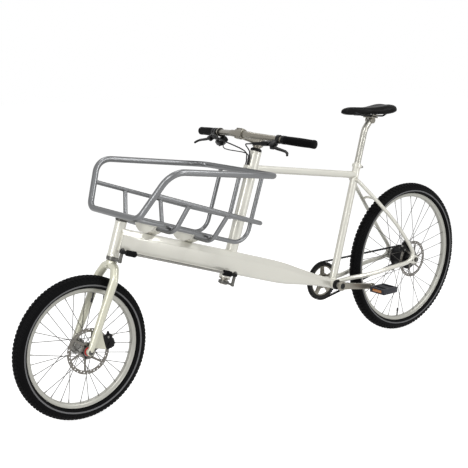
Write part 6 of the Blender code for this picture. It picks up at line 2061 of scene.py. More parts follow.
# Fork
@dataclass
class Fork:
    """Cast unicrown fork with its steerer, cap, caliper tab and axle."""
    blade_y: float = 0.0515
    end_y: float = 0.0565
    crown_radius: float = 0.020
    steerer: float = 0.0143

    @property
    def crown(self) -> Vector:
        """Middle of the crown's top face."""
        return BIKE.head_point(BIKE.head_low - (0.004 + 0.012 + 0.0006) * math.cos(BIKE.tilt))

    def build(self) -> None:
        """Make the fork, its cap and its axle."""
        crown, up, ahead, axle = self.crown, BIKE.up, BIKE.ahead, BIKE.front_axle
        parts = [rod("crown", crown - up * 0.019, crown - up * 0.0012, self.crown_radius - 0.0004, sides=64)]
        blade_top = crown - up * 0.062 + ahead * 0.006
        for side in Side:
            path = rounded([crown - up * 0.0160 + ACROSS * (side * 0.004),
                            crown - up * 0.0220 + ACROSS * (side * 0.030) + ahead * 0.001,
                            blade_top + ACROSS * (side * self.blade_y), axle + ACROSS * (side * self.end_y)],
                           [0, 0.020, 0.050, 0], 8)
            route = resample(path, 48, False)
            radii = [0.0149 - 0.0047 * (index / 47) ** 4 for index in range(48)]
            parts.append(sweep("blade", route, 0.015, 32, radii=radii))
            end = axle + ACROSS * (side * self.end_y)
            parts.append(rod("end", end - ACROSS * 0.0061, end + ACROSS * 0.0061, 0.0138, sides=40))
        skin = cast("fork_casting", parts + [self.tab(blade_top)], 0.0017, 4)
        place(skin, CREAM, Body.FORK, "fork")
        top = BIKE.head_point(BIKE.head_high) + up * 0.0236
        place(rod("fork_steerer", crown - up * 0.002, top, self.steerer, sides=48), DARK_SATIN, Body.FORK)
        cap = lathe("fork_top_cap", [(0.0, 0.0163), (0.0155, 0.0163), (0.0172, 0.0172), (0.0175, 0.0190),
                                     (0.0168, 0.0215), (0.0140, 0.0238), (0.0062, 0.0248), (0.0058, 0.0232),
                                     (0.0, 0.0232)], BIKE.head_point(BIKE.head_high), up, 64)
        cap_bolt = bolt("cap_bolt", BIKE.head_point(BIKE.head_high) + up * 0.0225, up, 0.0045, 0.0024)
        place(gather("fork_top_cap", [cap, cap_bolt]), BLACK, Body.FORK)
        self.axle_caps(axle)

    def tab(self, blade_top: Vector) -> Piece:
        """Tab from the left blade to the seat of the caliper.

        Args:
            blade_top: bend at the top of the blades.

        Returns:
            The tab.
        """
        rise = blade_top - BIKE.front_axle
        blade = Vector((rise.x, rise.z)).normalized()
        out = Vector((math.cos(BIKE.front_caliper_angle), math.sin(BIKE.front_caliper_angle)))
        along = Vector((-out.y, out.x))
        seat = out * (BIKE.rotor_radius - 0.017 - BIKE.gap)
        corners = [blade * 0.014, seat - along * 0.022, seat + along * 0.020, blade * 0.074 + out * 0.020,
                   blade * 0.098]
        middle = BIKE.front_axle + ACROSS * (BIKE.front_rotor_y - 0.0065)
        return slab("tab", [[tuple(corner) for corner in corners]], 0.0058, middle)

    def axle_caps(self, axle: Vector) -> None:
        """Front axle with a turned cap at each end.

        Args:
            axle: centre of the wheel.
        """
        pieces = [rod("axle", axle - ACROSS * 0.0655, axle + ACROSS * 0.0655, 0.0050, sides=32)]
        for side in Side:
            face = axle + ACROSS * (side * (self.end_y + 0.0062))
            outline = [(0.0045, 0.0), (0.0098, 0.0), (0.0098, 0.0014), (0.0080, 0.0026), (0.0045, 0.0030)]
            pieces.append(lathe("cap", outline, face, ACROSS * side, 40))
        place(gather("front_axle_ends", pieces), DARK_SATIN, Body.FORK)
        screws = [bolt("screw", axle + ACROSS * (side * 0.0640), ACROSS * side, 0.0042, 0.0019) for side in Side]
        place(gather("front_axle_screws", screws), BOLT_BLACK, Body.FORK)
        post = BIKE.front_axle.lerp(self.crown, 0.60)
        boss = post + Vector((0.0095, -self.blade_y - 0.001, 0.0))
        place(bolt("fender_boss", boss, -BIKE.ahead, 0.0035, 0.0050), DARK_SATIN, Body.FORK)


# Steering linkage
@dataclass
class SteeringLink:
    """Drag link beside the beam with its two arms, ball joints and rubber boots."""
    front_eye: Vector = field(default_factory=lambda: Vector((-0.722621, -0.065, 0.578883)))
    rear_eye: Vector = field(default_factory=lambda: Vector((-0.24088, -0.065, 0.422355)))
    rod_radius: float = 0.0044

    def build(self) -> None:
        """Make the arms, the rod, its boots and its ends."""
        place(refined("fork_steering_arm", "fork_arm", 0.0011), DARK_SATIN, Body.FORK, "fork_arm")
        place(refined("column_steering_arm", "column_arm", 0.0011), DARK_SATIN, Body.STEERING, "column_arm")
        line = (self.rear_eye - self.front_eye).normalized()
        bar = rod("drag_link_rod", self.front_eye + line * 0.012, self.rear_eye - line * 0.012, self.rod_radius)
        place(bar, BRIGHT, Body.LINK, "drag_link")
        boots, ends = [], []
        for eye, out in ((self.front_eye, line), (self.rear_eye, -line)):
            outline = [(self.rod_radius, 0.0165), (0.0078, 0.0165), (0.0096, 0.0178), (0.0104, 0.0200)]
            for rib in range(8):
                start = 0.0215 + rib * 0.0040
                outline += [(0.0098, start), (0.0098, start + 0.0008), (0.0106, start + 0.0016),
                            (0.0106, start + 0.0034)]
            outline += [(0.0096, 0.0548), (0.0070, 0.0558), (self.rod_radius, 0.0558)]
            boots.append(lathe("boot", outline, eye, out, 40, 60.0))
            socket = lathe("socket", [(0.0046, -0.0053), (0.0088, -0.0053), (0.0097, -0.0040), (0.0097, 0.0040),
                                      (0.0088, 0.0053), (0.0046, 0.0053)], eye, BIKE.up, 40)
            shank = rod("shank", eye + out * 0.0085, eye + out * 0.020, 0.0066, 0.0052, 24)
            ends += [socket, shank]
        place(gather("drag_link_boots", boots), BELT, Body.LINK)
        place(gather("drag_link_ends", ends), BLACK, Body.LINK)
        cap = [(0.0042, 0.0057), (0.0085, 0.0057), (0.0088, 0.0068), (0.0060, 0.0100), (0.0042, 0.0105)]
        place(lathe("front_eye_cap", cap, self.front_eye, BIKE.up, 32, 50.0), BOLT_BLACK, Body.FORK)


# Handlebar
@dataclass
class Cockpit:
    """Steering shaft, stem, bar and grips."""
    forward: float = 0.0964
    height: float = 0.9294
    half: float = 0.327
    sweep_back: float = 0.0665
    drop: float = 0.016
    straight: float = 0.045
    bar_radius: float = 0.0111
    clamp_radius: float = 0.0127
    grip_length: float = 0.140
    grip_radius: float = 0.0155
    shaft: float = 0.0143
    hub_low: float = 0.876
    hub_high: float = 0.915

    @property
    def centre(self) -> Vector:
        """Middle of the bar."""
        return Vector((BIKE.column_point(self.height).x - self.forward, 0.0, self.height))

    def bar_point(self, y: float) -> Vector:
        """Point of the bar's centre line at y."""
        share = max(0.0, abs(y) - self.straight) / (self.half - self.straight)
        return self.centre + Vector((self.sweep_back * share, y, -self.drop * share))

    def bar_line(self, side: Side) -> Vector:
        """Direction of the swept bar, outwards."""
        return (self.bar_point(side * self.half) - self.bar_point(side * self.straight)).normalized()

    def control_frame(self, side: Side, y: float) -> tuple[Vector, Vector, Vector, Vector]:
        """Origin and directions of a control on the bar: outwards, ahead and down, up.

        Args:
            side: the side of the bike.
            y: distance from the middle of the bike.

        Returns:
            The origin and the three directions.
        """
        out = self.bar_line(side)
        ahead = Vector((-math.cos(math.radians(32)), 0.0, -math.sin(math.radians(32))))
        ahead = (ahead - out * ahead.dot(out)).normalized()
        return self.bar_point(side * y), out, ahead, ahead.cross(out) * -side

    def master_cylinder(self, side: Side) -> tuple[Vector, Vector]:
        """Root and hose end of the master cylinder of a brake lever.

        Args:
            side: the side of the bike.

        Returns:
            Both points.
        """
        origin, out, ahead, _ = self.control_frame(side, BIKE.brake_y)
        return origin + ahead * 0.0220 + out * 0.006, origin + ahead * 0.0420 - out * 0.0860

    def build(self) -> None:
        """Make every piece of the cockpit."""
        self.steering_shaft()
        self.stem()
        self.bar()
        for side in Side:
            self.grip(side)

    def steering_shaft(self) -> None:
        """Shaft with its bearing collars; the upper one is black."""
        base, up = BIKE.column_point(BIKE.column_low), BIKE.up
        top = (BIKE.column_point(BIKE.column_high) - base).dot(up)
        high = (BIKE.column_point(self.hub_high) - base).dot(up)
        outline = [(0.0, high), (self.shaft, high), (self.shaft, top + 0.0128), (self.shaft, 0.0125),
                   (0.0178, 0.0120), (0.0178, 0.0), (0.0213, -0.0003), (0.0213, -0.0050), (0.0202, -0.0058),
                   (self.shaft, -0.0058), (self.shaft, -0.0265), (0.0, -0.0265)]
        place(lathe("steering_shaft_turned", outline, base, up, 64), SATIN, Body.STEERING, "steering_shaft")
        ring = [(self.shaft, 0.0004), (0.0213, 0.0004), (0.0215, 0.0012), (0.0215, 0.0070), (0.0206, 0.0086),
                (0.0180, 0.0110), (0.0160, 0.0122), (self.shaft, 0.0126)]
        bearing = lathe("upper_column_bearing", ring, BIKE.column_point(BIKE.column_high), up, 64)
        place(bearing, BLACK, Body.STEERING)
        cap = [(0.0, 0.0), (0.0178, 0.0), (0.0184, 0.0007), (0.0180, 0.0020), (0.0150, 0.0026), (0.0, 0.0026)]
        top_at = BIKE.column_point(self.hub_high) + up * 0.0002
        lid = lathe("cap", cap, top_at, up, 64)
        screw = bolt("bolt", top_at + up * 0.0022, up, 0.0045, 0.0026)
        place(gather("stem_top_cap", [lid, screw]), SATIN, Body.STEERING)

    def stem(self) -> None:
        """Cast stem with its shaft clamp, faceplate and bolts."""
        low, high = BIKE.column_point(self.hub_low), BIKE.column_point(self.hub_high)
        middle, centre = (low + high) / 2, self.centre
        line = (centre - middle).normalized()
        normal = ACROSS.cross(line)
        half = ACROSS * 0.0205
        hub = rod("hub", low + BIKE.up * 0.0006, high - BIKE.up * 0.0006, 0.0186, sides=64)
        route = [middle - line * 0.004, middle.lerp(centre, 0.35), centre + line * 0.003]
        extension = sweep("extension", flowing(route, 8), 0.0170, 40,
                          radii=[0.0170 - 0.0022 * math.sin(math.pi * index / 16) for index in range(17)])
        clamp = rod("clamp", centre - half, centre + half, 0.0186, sides=64)
        ears = [block("ear", (0.016, 0.029, 0.0085), aim(normal, centre + line * 0.004 + normal * (sign * 0.0160)),
                      0.002) for sign in (-1, 1)]
        skin = cast("stem_casting", [hub, extension, clamp, *ears], 0.0012, 4)
        cut(skin, rod("bar_hole", centre - half * 2, centre + half * 2, self.clamp_radius + BIKE.gap, sides=48),
            rod("shaft_hole", low - BIKE.up * 0.02, high + BIKE.up * 0.02, self.shaft + BIKE.gap, sides=48),
            block("faceplate_gap", (0.09, 0.09, 0.0009), aim(line, centre + line * 0.0035)))
        place(skin, SATIN, Body.STEERING, "stem")
        bolts = []
        for sign in (-1, 1):
            for across in (-0.0115, 0.0115):
                spot = centre + line * 0.0115 + normal * (sign * 0.0160) + ACROSS * across
                bolts.append(bolt("bolt", spot, line, 0.0031, 0.0026))
        for rise in (-0.010, 0.010):
            side_point = middle + BIKE.up * rise - line * 0.0172
            bolts.append(bolt("bolt", side_point - ACROSS * 0.0075, -ACROSS, 0.0034, 0.0040))
        place(gather("stem_bolts", bolts), STEEL, Body.STEERING)
        lug = block("lug", (0.011, 0.0145, 0.031), aim(BIKE.up, middle - line * 0.0178), 0.0022)
        slit = block("slit", (0.03, 0.0014, 0.05), aim(BIKE.up, middle - line * 0.0190))
        hole = rod("hole", low - BIKE.up * 0.02, high + BIKE.up * 0.02, 0.0180, sides=48)
        place(cut(lug, slit, hole), SATIN, Body.STEERING)

    def bar(self) -> None:
        """Bar with its thicker middle and back sweep."""
        ys = [self.half - 0.003, 0.15, 0.062, 0.051, 0.040, 0.029]
        radii = [self.bar_radius, self.bar_radius, self.bar_radius + 0.0002, self.clamp_radius, self.clamp_radius,
                 self.clamp_radius]
        path = [self.bar_point(-y) for y in ys] + [self.bar_point(y) for y in ys[::-1]]
        tube = sweep("handlebar_tube", path, self.clamp_radius, 40, radii=radii + radii[::-1])
        place(tube, SATIN, Body.STEERING, "handlebar")

    def grip(self, side: Side) -> None:
        """Ribbed grip with its end cap and clamp ring.

        Args:
            side: the side of the bike.
        """
        line, outer = self.bar_line(side), self.bar_point(side * self.half)
        length, radius, bore = self.grip_length, self.grip_radius, self.bar_radius + 0.0002
        outline = [(0.0, 0.0), (radius - 0.0035, 0.0), (radius - 0.0010, -0.0014), (radius, -0.0036),
                   (radius, -0.0120)]
        ribs = 26
        pitch = (length - 0.030) / ribs
        for index in range(ribs):
            start = 0.0120 + (length - 0.030) * index / ribs
            swell = 0.0008 * math.sin(math.pi * index / (ribs - 1))
            base = radius - 0.0016 + swell
            outline += [(base, -start - pitch * 0.12), (base, -start - pitch * 0.40),
                        (base + 0.0008, -start - pitch * 0.52), (base + 0.0008, -start - pitch * 0.98)]
        outline += [(radius - 0.0004, -(length - 0.0170)), (radius - 0.0004, -(length - 0.0120))]
        end = length - 0.0115
        outline += [(bore, -end), (bore, -0.0025), (0.0, -0.0025)]
        place(lathe(f"grip_{side.word}_sleeve", outline, outer, line, 56, 30.0), GRIP, Body.STEERING,
              f"grip_{side.word}")
        ring = [(bore, -end - 0.0002), (radius - 0.0006, -end - 0.0002), (radius, -end - 0.0010),
                (radius, -length + 0.0010), (radius - 0.0008, -length), (bore, -length)]
        place(lathe(f"grip_ring_{side.word}", ring, outer, line, 56), BLACK, Body.STEERING)


@dataclass
class Controls:
    """Brake levers, shifter and their clamps."""
    cockpit: Cockpit

    def build(self) -> None:
        """Make the controls of both sides."""
        for side in Side:
            word = side.word
            lever_body = Body.LEFT_LEVER if side is Side.LEFT else Body.RIGHT_LEVER
            place(refined(f"brake_mount_{word}_cast", f"brake_mount_{word}", 0.0010), BLACK, Body.STEERING,
                  f"brake_mount_{word}")
            place(refined(f"brake_lever_{word}_blade", f"brake_lever_{word}", 0.0013, 3), BLACK, lever_body,
                  f"brake_lever_{word}")
            self.fittings(side)
        place(refined("shifter_housing", "shifter_body", 0.0016, 3), BLACK, Body.STEERING, "shifter_body")
        place(refined("thumb_lever_paddle", "thumb_lever", 0.0006), BLACK, Body.SHIFT_UP, "thumb_lever")
        place(refined("release_lever_paddle", "release_lever", 0.0006), DARK_SATIN, Body.SHIFT_DOWN,
              "release_lever")
        self.clamp_band()

    def fittings(self, side: Side) -> None:
        """Clamp bolts, hose nut and cap of a brake lever's mount.

        Args:
            side: the side of the bike.
        """
        origin, _, ahead, rise = self.cockpit.control_frame(side, BIKE.brake_y)
        pieces = [bolt("bolt", origin + ahead * 0.0165 + rise * (0.0085 * sign), ahead, 0.0028, 0.0030)
                  for sign in (-1, 1)]
        root, tip = self.cockpit.master_cylinder(side)
        line = (tip - root).normalized()
        pieces.append(rod("nut", tip - line * 0.010, tip - line * 0.0006, 0.0052, sides=6, bevel=0.0005))
        cap = root.lerp(tip, 0.30) + rise * 0.0075
        outline = [(0.0, 0.0022), (0.0052, 0.0022), (0.0060, 0.0014), (0.0060, 0.0), (0.0, 0.0)]
        pieces.append(lathe("cap", outline, cap, rise, 32))
        place(gather(f"brake_fittings_{side.word}", pieces), BOLT_BLACK, Body.STEERING)

    def clamp_band(self) -> None:
        """Band of the shifter's clamp."""
        origin, out, _, _ = self.cockpit.control_frame(Side.RIGHT, BIKE.shift_y)
        band = lathe("shifter_band", [(0.0157, -0.0040), (0.0164, -0.0040), (0.0168, -0.0034), (0.0168, 0.0034),
                                      (0.0164, 0.0040), (0.0157, 0.0040)], origin, out, 48)
        place(band, SATIN, Body.STEERING)


# Drivetrain
@dataclass
class Drivetrain:
    """Toothed belt, both sprockets, cranks and pedals."""
    pitch: float = 0.011
    front_teeth: int = 46
    rear_teeth: int = 22
    belt_width: float = 0.011
    belt_back: float = 0.003
    tooth: float = 0.0028
    sprocket_width: float = 0.0095
    crank_length: float = 0.170
    crank_offset: float = 0.060
    crank_flare: float = 0.014
    crank_thickness: float = 0.0135
    crank_drop: float = math.radians(8.8)
    spindle: float = 0.0120
    pedal_gap: float = 0.018
    pedal_length: float = 0.080
    pedal_width: float = 0.084
    pedal_thickness: float = 0.024

    def build(self) -> None:
        """Make every piece of the drive."""
        self.front_sprocket()
        self.rear_sprocket()
        self.belt()
        for side in Side:
            self.crank(side)
            self.pedal(side)

    def tip(self, teeth: int) -> float:
        """Tip radius of a sprocket."""
        return teeth * self.pitch / (2 * math.pi) - 0.0011

    def sprocket_outline(self, teeth: int) -> Outline:
        """Toothed circle with flat tips and rounded roots.

        Args:
            teeth: how many teeth.

        Returns:
            The outline.
        """
        tip, step = self.tip(teeth), 2 * math.pi / teeth
        points: Outline = []
        for index in range(teeth):
            for share, depth in ((-0.5, 1.0), (-0.36, 0.82), (-0.27, 0.15), (-0.22, 0.0), (0.22, 0.0), (0.27, 0.15),
                                 (0.36, 0.82)):
                angle, radius = step * (index + share), tip - self.tooth * depth
                points.append((radius * math.cos(angle), radius * math.sin(angle)))
        return points

    def front_sprocket(self) -> None:
        """Black toothed ring on a bright five-arm spider with its bolts."""
        bracket = BIKE.bottom_bracket
        centre = bracket + ACROSS * BIKE.belt_line
        tip = self.tip(self.front_teeth)
        ring = slab("belt_ring", [self.sprocket_outline(self.front_teeth), circle(tip - 0.0150, 120)],
                    self.sprocket_width, centre)
        lip = lathe("lip", [(tip - 0.0146, 0.0046), (tip - 0.0045, 0.0046), (tip - 0.0045, 0.0062),
                            (tip - 0.0128, 0.0066), (tip - 0.0146, 0.0060)], centre, ACROSS, 120)
        place(gather("belt_ring", [ring, lip]), BLACK, Body.CRANKS, "front_sprocket")
        width = 2 * math.pi / 5
        windows = []
        for index in range(5):
            start = width * index + math.radians(20.0)
            windows.append(arc(0.0330, start + width * 0.26, start + width * 0.74, 8)
                           + arc(tip - 0.0205, start + width * 0.88, start + width * 0.12, 16))
        spider = slab("spider", [circle(tip - 0.0152, 120), circle(0.0230, 48), *windows], 0.0060,
                      centre + ACROSS * 0.0006, bevel=0.0009)
        boss = lathe("boss", [(0.0132, 0.0130), (0.0186, 0.0130), (0.0196, 0.0118), (0.0278, 0.0030),
                              (0.0278, -0.0020), (0.0230, -0.0020), (0.0132, 0.0040)], centre, ACROSS, 64)
        place(gather("belt_spider", [spider, boss]), SATIN, Body.CRANKS)
        angle = math.radians(20.0)
        spot = centre + Vector((math.cos(angle), 0.0, math.sin(angle))) * (tip - 0.0178) + ACROSS * 0.0034
        bolts = spun(bolt("belt_ring_bolts", spot, ACROSS, 0.0042, 0.0022), 5, bracket, ACROSS)
        place(bolts, STEEL, Body.CRANKS)

    def rear_sprocket(self) -> None:
        """Small sprocket with its guide flange and the hub's driver."""
        centre = BIKE.rear_axle + ACROSS * BIKE.belt_line
        disc = slab("rear_belt_sprocket", [self.sprocket_outline(self.rear_teeth), circle(0.0060, 32)],
                    self.sprocket_width, centre)
        place(disc, STEEL, Body.DRIVEN, "rear_sprocket")
        driver = [(0.0058, 0.0136), (0.0110, 0.0136), (0.0128, 0.0128), (0.0140, 0.0090), (0.0215, 0.0078),
                  (0.0225, 0.0068), (0.0225, 0.0049), (0.0058, 0.0049)]
        place(lathe("hub_driver", driver, centre, ACROSS, 56), STEEL, Body.DRIVEN)

    def belt(self) -> None:
        """Belt with its teeth on the two straight runs."""
        start, end = BIKE.bottom_bracket, BIKE.rear_axle
        distance = (end - start).length
        lift = math.atan2(end.z - start.z, end.x - start.x)
        inner_front, inner_rear = self.tip(self.front_teeth) + 0.0006, self.tip(self.rear_teeth) + 0.0006
        wrap = math.asin((inner_front - inner_rear) / distance)

        def run(first: Vector, last: Vector) -> Outline:
            """Teeth along a straight run."""
            line = (last - first).normalized()
            inward = Vector((-line.y, line.x))
            length = (last - first).length
            count = int((length - 0.032) / self.pitch)
            begin = (length - count * self.pitch) / 2
            points: Outline = []
            for index in range(count):
                for offset, depth in ((-0.5, 0.0), (-0.28, 0.0), (-0.20, 0.75), (-0.13, 1.0), (0.13, 1.0),
                                      (0.20, 0.75), (0.28, 0.0)):
                    along = begin + self.pitch * (index + 0.5 + offset)
                    spot = first + line * along + inward * (depth * self.tooth)
                    points.append((spot.x, spot.y))
            spot = first + line * (begin + self.pitch * count)
            return points + [(spot.x, spot.y)]

        def loop(grow: float, teeth: bool) -> Outline:
            """Closed loop round both sprockets."""
            front, rear = inner_front + grow, inner_rear + grow
            up, down = math.pi / 2 - wrap, wrap - math.pi / 2
            points = arc(front, up, 2 * math.pi + down, 72)
            low = Vector((distance + rear * math.cos(down), rear * math.sin(down)))
            if teeth:
                points += run(Vector(points[-1]), low)
            points += arc(rear, down, up, 36, (distance, 0.0))
            if teeth:
                points += run(Vector(points[-1]), Vector(points[0]))
            return points
        x_axis = Vector((math.cos(lift), 0.0, math.sin(lift)))
        y_axis = Vector((-math.sin(lift), 0.0, math.cos(lift)))
        piece = slab("belt_loop", [loop(self.belt_back, False), loop(0.0, True)], self.belt_width,
                     start + ACROSS * BIKE.belt_line, x_axis, y_axis)
        place(piece, BELT, Body.FRAME, "drive_belt")

    def crank_line(self, side: Side) -> Vector:
        """Direction of a crank from the bottom bracket.

        Args:
            side: the side of the bike.

        Returns:
            The direction.
        """
        line = Vector((math.cos(self.crank_drop), 0.0, -math.sin(self.crank_drop)))
        return line if side is Side.LEFT else -line

    def pedal_axis(self, side: Side) -> Vector:
        """Point of a pedal's axis at the outer face of its crank.

        Args:
            side: the side of the bike.

        Returns:
            The point.
        """
        out = side * (self.crank_offset + self.crank_flare + self.crank_thickness)
        return BIKE.bottom_bracket + self.crank_line(side) * self.crank_length + ACROSS * out

    def crank(self, side: Side) -> None:
        """Forged crank arm that flares outwards to the pedal.

        Args:
            side: the side of the bike.
        """
        line, out = self.crank_line(side), ACROSS * side
        slant = (line * self.crank_length + out * self.crank_flare).normalized()
        across = out.cross(slant).normalized()
        root = BIKE.bottom_bracket + out * self.crank_offset
        outline = [(0.004, -0.0150), (0.045, -0.0128), (self.crank_length - 0.012, -0.0118)]
        outline += arc(0.0125, math.radians(-60), math.radians(60), 14, (self.crank_length, 0.0))
        outline += [(self.crank_length - 0.012, 0.0118), (0.045, 0.0128), (0.004, 0.0150)]
        arm = slab("arm", [outline], self.crank_thickness - 0.0015, root + out * self.crank_thickness / 2, slant,
                   across)
        boss = rod("boss", root + out * 0.0004, root + out * (self.crank_thickness - 0.0004), 0.0201, sides=56)
        foot = self.pedal_axis(side)
        end = rod("end", foot - out * (self.crank_thickness - BIKE.gap), foot - out * BIKE.gap, 0.0137, sides=40)
        forged = cast("forged", [arm, boss, end], 0.0012, 3)
        cut(forged, rod("eye", foot - out * 0.05, foot + out * 0.05, 0.0071, sides=32),
            rod("recess", root + out * (self.crank_thickness - 0.0020), root + out * 0.05, 0.0128, sides=40))
        place(forged, SATIN, Body.CRANKS, f"crank_{side.word}")
        cup = [(0.0, 0.0004), (0.0060, 0.0004), (0.0066, 0.0012), (0.0112, 0.0012), (0.0122, 0.0003),
               (0.0122, -0.0020), (0.0, -0.0020)]
        face = root + out * (self.crank_thickness - 0.0009)
        pieces = [lathe("cup", cup, face, out, 48)]
        side_face = root + slant * 0.0215 + out * (self.crank_thickness * 0.5)
        under = across * -side
        for along in (0.0, 0.0105):
            pieces.append(bolt("pinch", side_face + slant * along + under * 0.0128, under, 0.0029, 0.0022))
        place(gather(f"crank_bolts_{side.word}", pieces), BOLT_BLACK, Body.CRANKS)
        if side is Side.RIGHT:
            spindle = rod("spindle", root + out * 0.004, BIKE.bottom_bracket - out * 0.0695, self.spindle - 0.0002,
                          sides=40)
            place(spindle, STEEL, Body.CRANKS)

    def pedal(self, side: Side) -> None:
        """Flat cage pedal with pins, amber reflectors and its axle.

        Args:
            side: the side of the bike.
        """
        out = ACROSS * side
        foot = self.pedal_axis(side)
        middle = foot + out * (self.pedal_gap + self.pedal_length / 2)
        body = Body.LEFT_PEDAL if side is Side.LEFT else Body.RIGHT_PEDAL
        width, length, thick = self.pedal_width, self.pedal_length, self.pedal_thickness
        cage = block("cage", (width, length, thick), Matrix.Translation(middle), 0.0035, 3)
        window = width * 0.27
        for sign in (-1, 1):
            spot = middle + Vector((sign * (0.0105 + window / 2 + 0.001), 0, 0))
            cut(cage, block("window", (window, length - 0.022, thick * 2), Matrix.Translation(spot), 0.003))
        waist = Vector((0.0, 0.0, thick / 2 + 0.0065))
        for sign in (-1, 1):
            cut(cage, rod("waist", middle + waist * sign - out * 0.036, middle + waist * sign + out * 0.036, 0.0088,
                          sides=24))
        for sign in (-1, 1):
            edge = middle + Vector((sign * width / 2, 0, 0))
            cut(cage, block("pocket", (0.006, length * 0.62, thick * 0.50), Matrix.Translation(edge)))
        place(cage, CAGE, body, f"pedal_{side.word}")
        studs = []
        for sign in (-1, 1):
            for share in (-0.38, -0.13, 0.13, 0.38):
                for face in (-1, 1):
                    at = middle + Vector((sign * (width / 2 - 0.0048), share * length, face * (thick / 2 - 0.0012)))
                    studs.append(rod("stud", at, at + Vector((0, 0, face * 0.0011)), 0.0021, 0.0017, 12))
        place(gather(f"pedal_studs_{side.word}", studs), STEEL, body)
        reflectors = []
        for sign in (-1, 1):
            edge = middle + Vector((sign * (width / 2 - 0.0021), 0, 0))
            reflectors.append(block("reflector", (0.0030, length * 0.60, thick * 0.46), Matrix.Translation(edge),
                                    0.0008))
        place(gather(f"pedal_reflectors_{side.word}", reflectors), AMBER, body)
        axle = rod("axle", foot - out * 0.0098, foot + out * (self.pedal_gap + 0.004), 0.0061, sides=32)
        shoulder = lathe("shoulder", [(0.0060, 0.0012), (0.0086, 0.0012), (0.0086, 0.0052), (0.0074, 0.0058),
                                      (0.0074, 0.0150), (0.0090, 0.0170), (0.0090, 0.0184), (0.0060, 0.0184)], foot,
                         out, 40)
        end_cap = rod("end_cap", middle + out * (length / 2 - 0.0030), middle + out * (length / 2 - 0.0001), 0.0062,
                      sides=32, bevel=0.0006)
        place(gather(f"pedal_axle_{side.word}", [axle, shoulder, end_cap]), STEEL, body)


# Brakes
@dataclass
class Brakes:
    """Both calipers with their bolts, fins and hose necks."""
    width: float = 0.020

    def build(self) -> None:
        """Make both calipers."""
        self.caliper("front", BIKE.front_axle, BIKE.front_caliper_angle, BIKE.front_rotor_y, Body.FORK)
        self.caliper("rear", BIKE.rear_axle, BIKE.rear_caliper_angle, BIKE.rear_rotor_y, Body.FRAME)

    def caliper(self, word: str, axle: Vector, angle: float, y: float, body: Body) -> None:
        """Dress one caliper.

        Args:
            word: front or rear.
            axle: centre of its wheel.
            angle: where it sits round the axle.
            y: place of the rotor.
            body: the body that it rides on.
        """
        place(refined(f"{word}_caliper_body", f"{word}_caliper", 0.0014, 3), BLACK, body, f"{word}_caliper")
        out = Vector((math.cos(angle), 0.0, math.sin(angle)))
        along = Vector((-out.z, 0.0, out.x))
        middle = axle + out * BIKE.rotor_radius + ACROSS * y
        pieces = []
        for sign in (-1, 1):
            spot = middle + along * (sign * 0.0185) - ACROSS * (self.width / 2 - 0.0004)
            pieces.append(bolt("bolt", spot, -ACROSS, 0.0036, 0.0030))
        fins = [block("fin", (0.0016, self.width - 0.002, 0.0035),
                      aim(out, middle + out * 0.0185 + along * (0.0045 * (index - 2) - 0.006)))
                for index in range(5)]
        neck = rod("neck", middle + along * 0.020 + out * 0.004, middle + along * 0.034 + out * 0.010, 0.0062,
                   0.0038, 24, 0.0008)
        lobe = rod("lobe", middle - along * 0.012 - ACROSS * 0.0100, middle - along * 0.012 - ACROSS * 0.0136,
                   0.0105, bevel=0.0012)
        place(gather(f"{word}_caliper_fins", [*fins, neck, lobe]), BLACK, body)
        top = middle + out * 0.0165 + along * 0.016 - ACROSS * 0.004
        pieces.append(bolt("banjo", top, out, 0.0046, 0.0042))
        place(gather(f"{word}_caliper_bolts", pieces), STEEL, body)


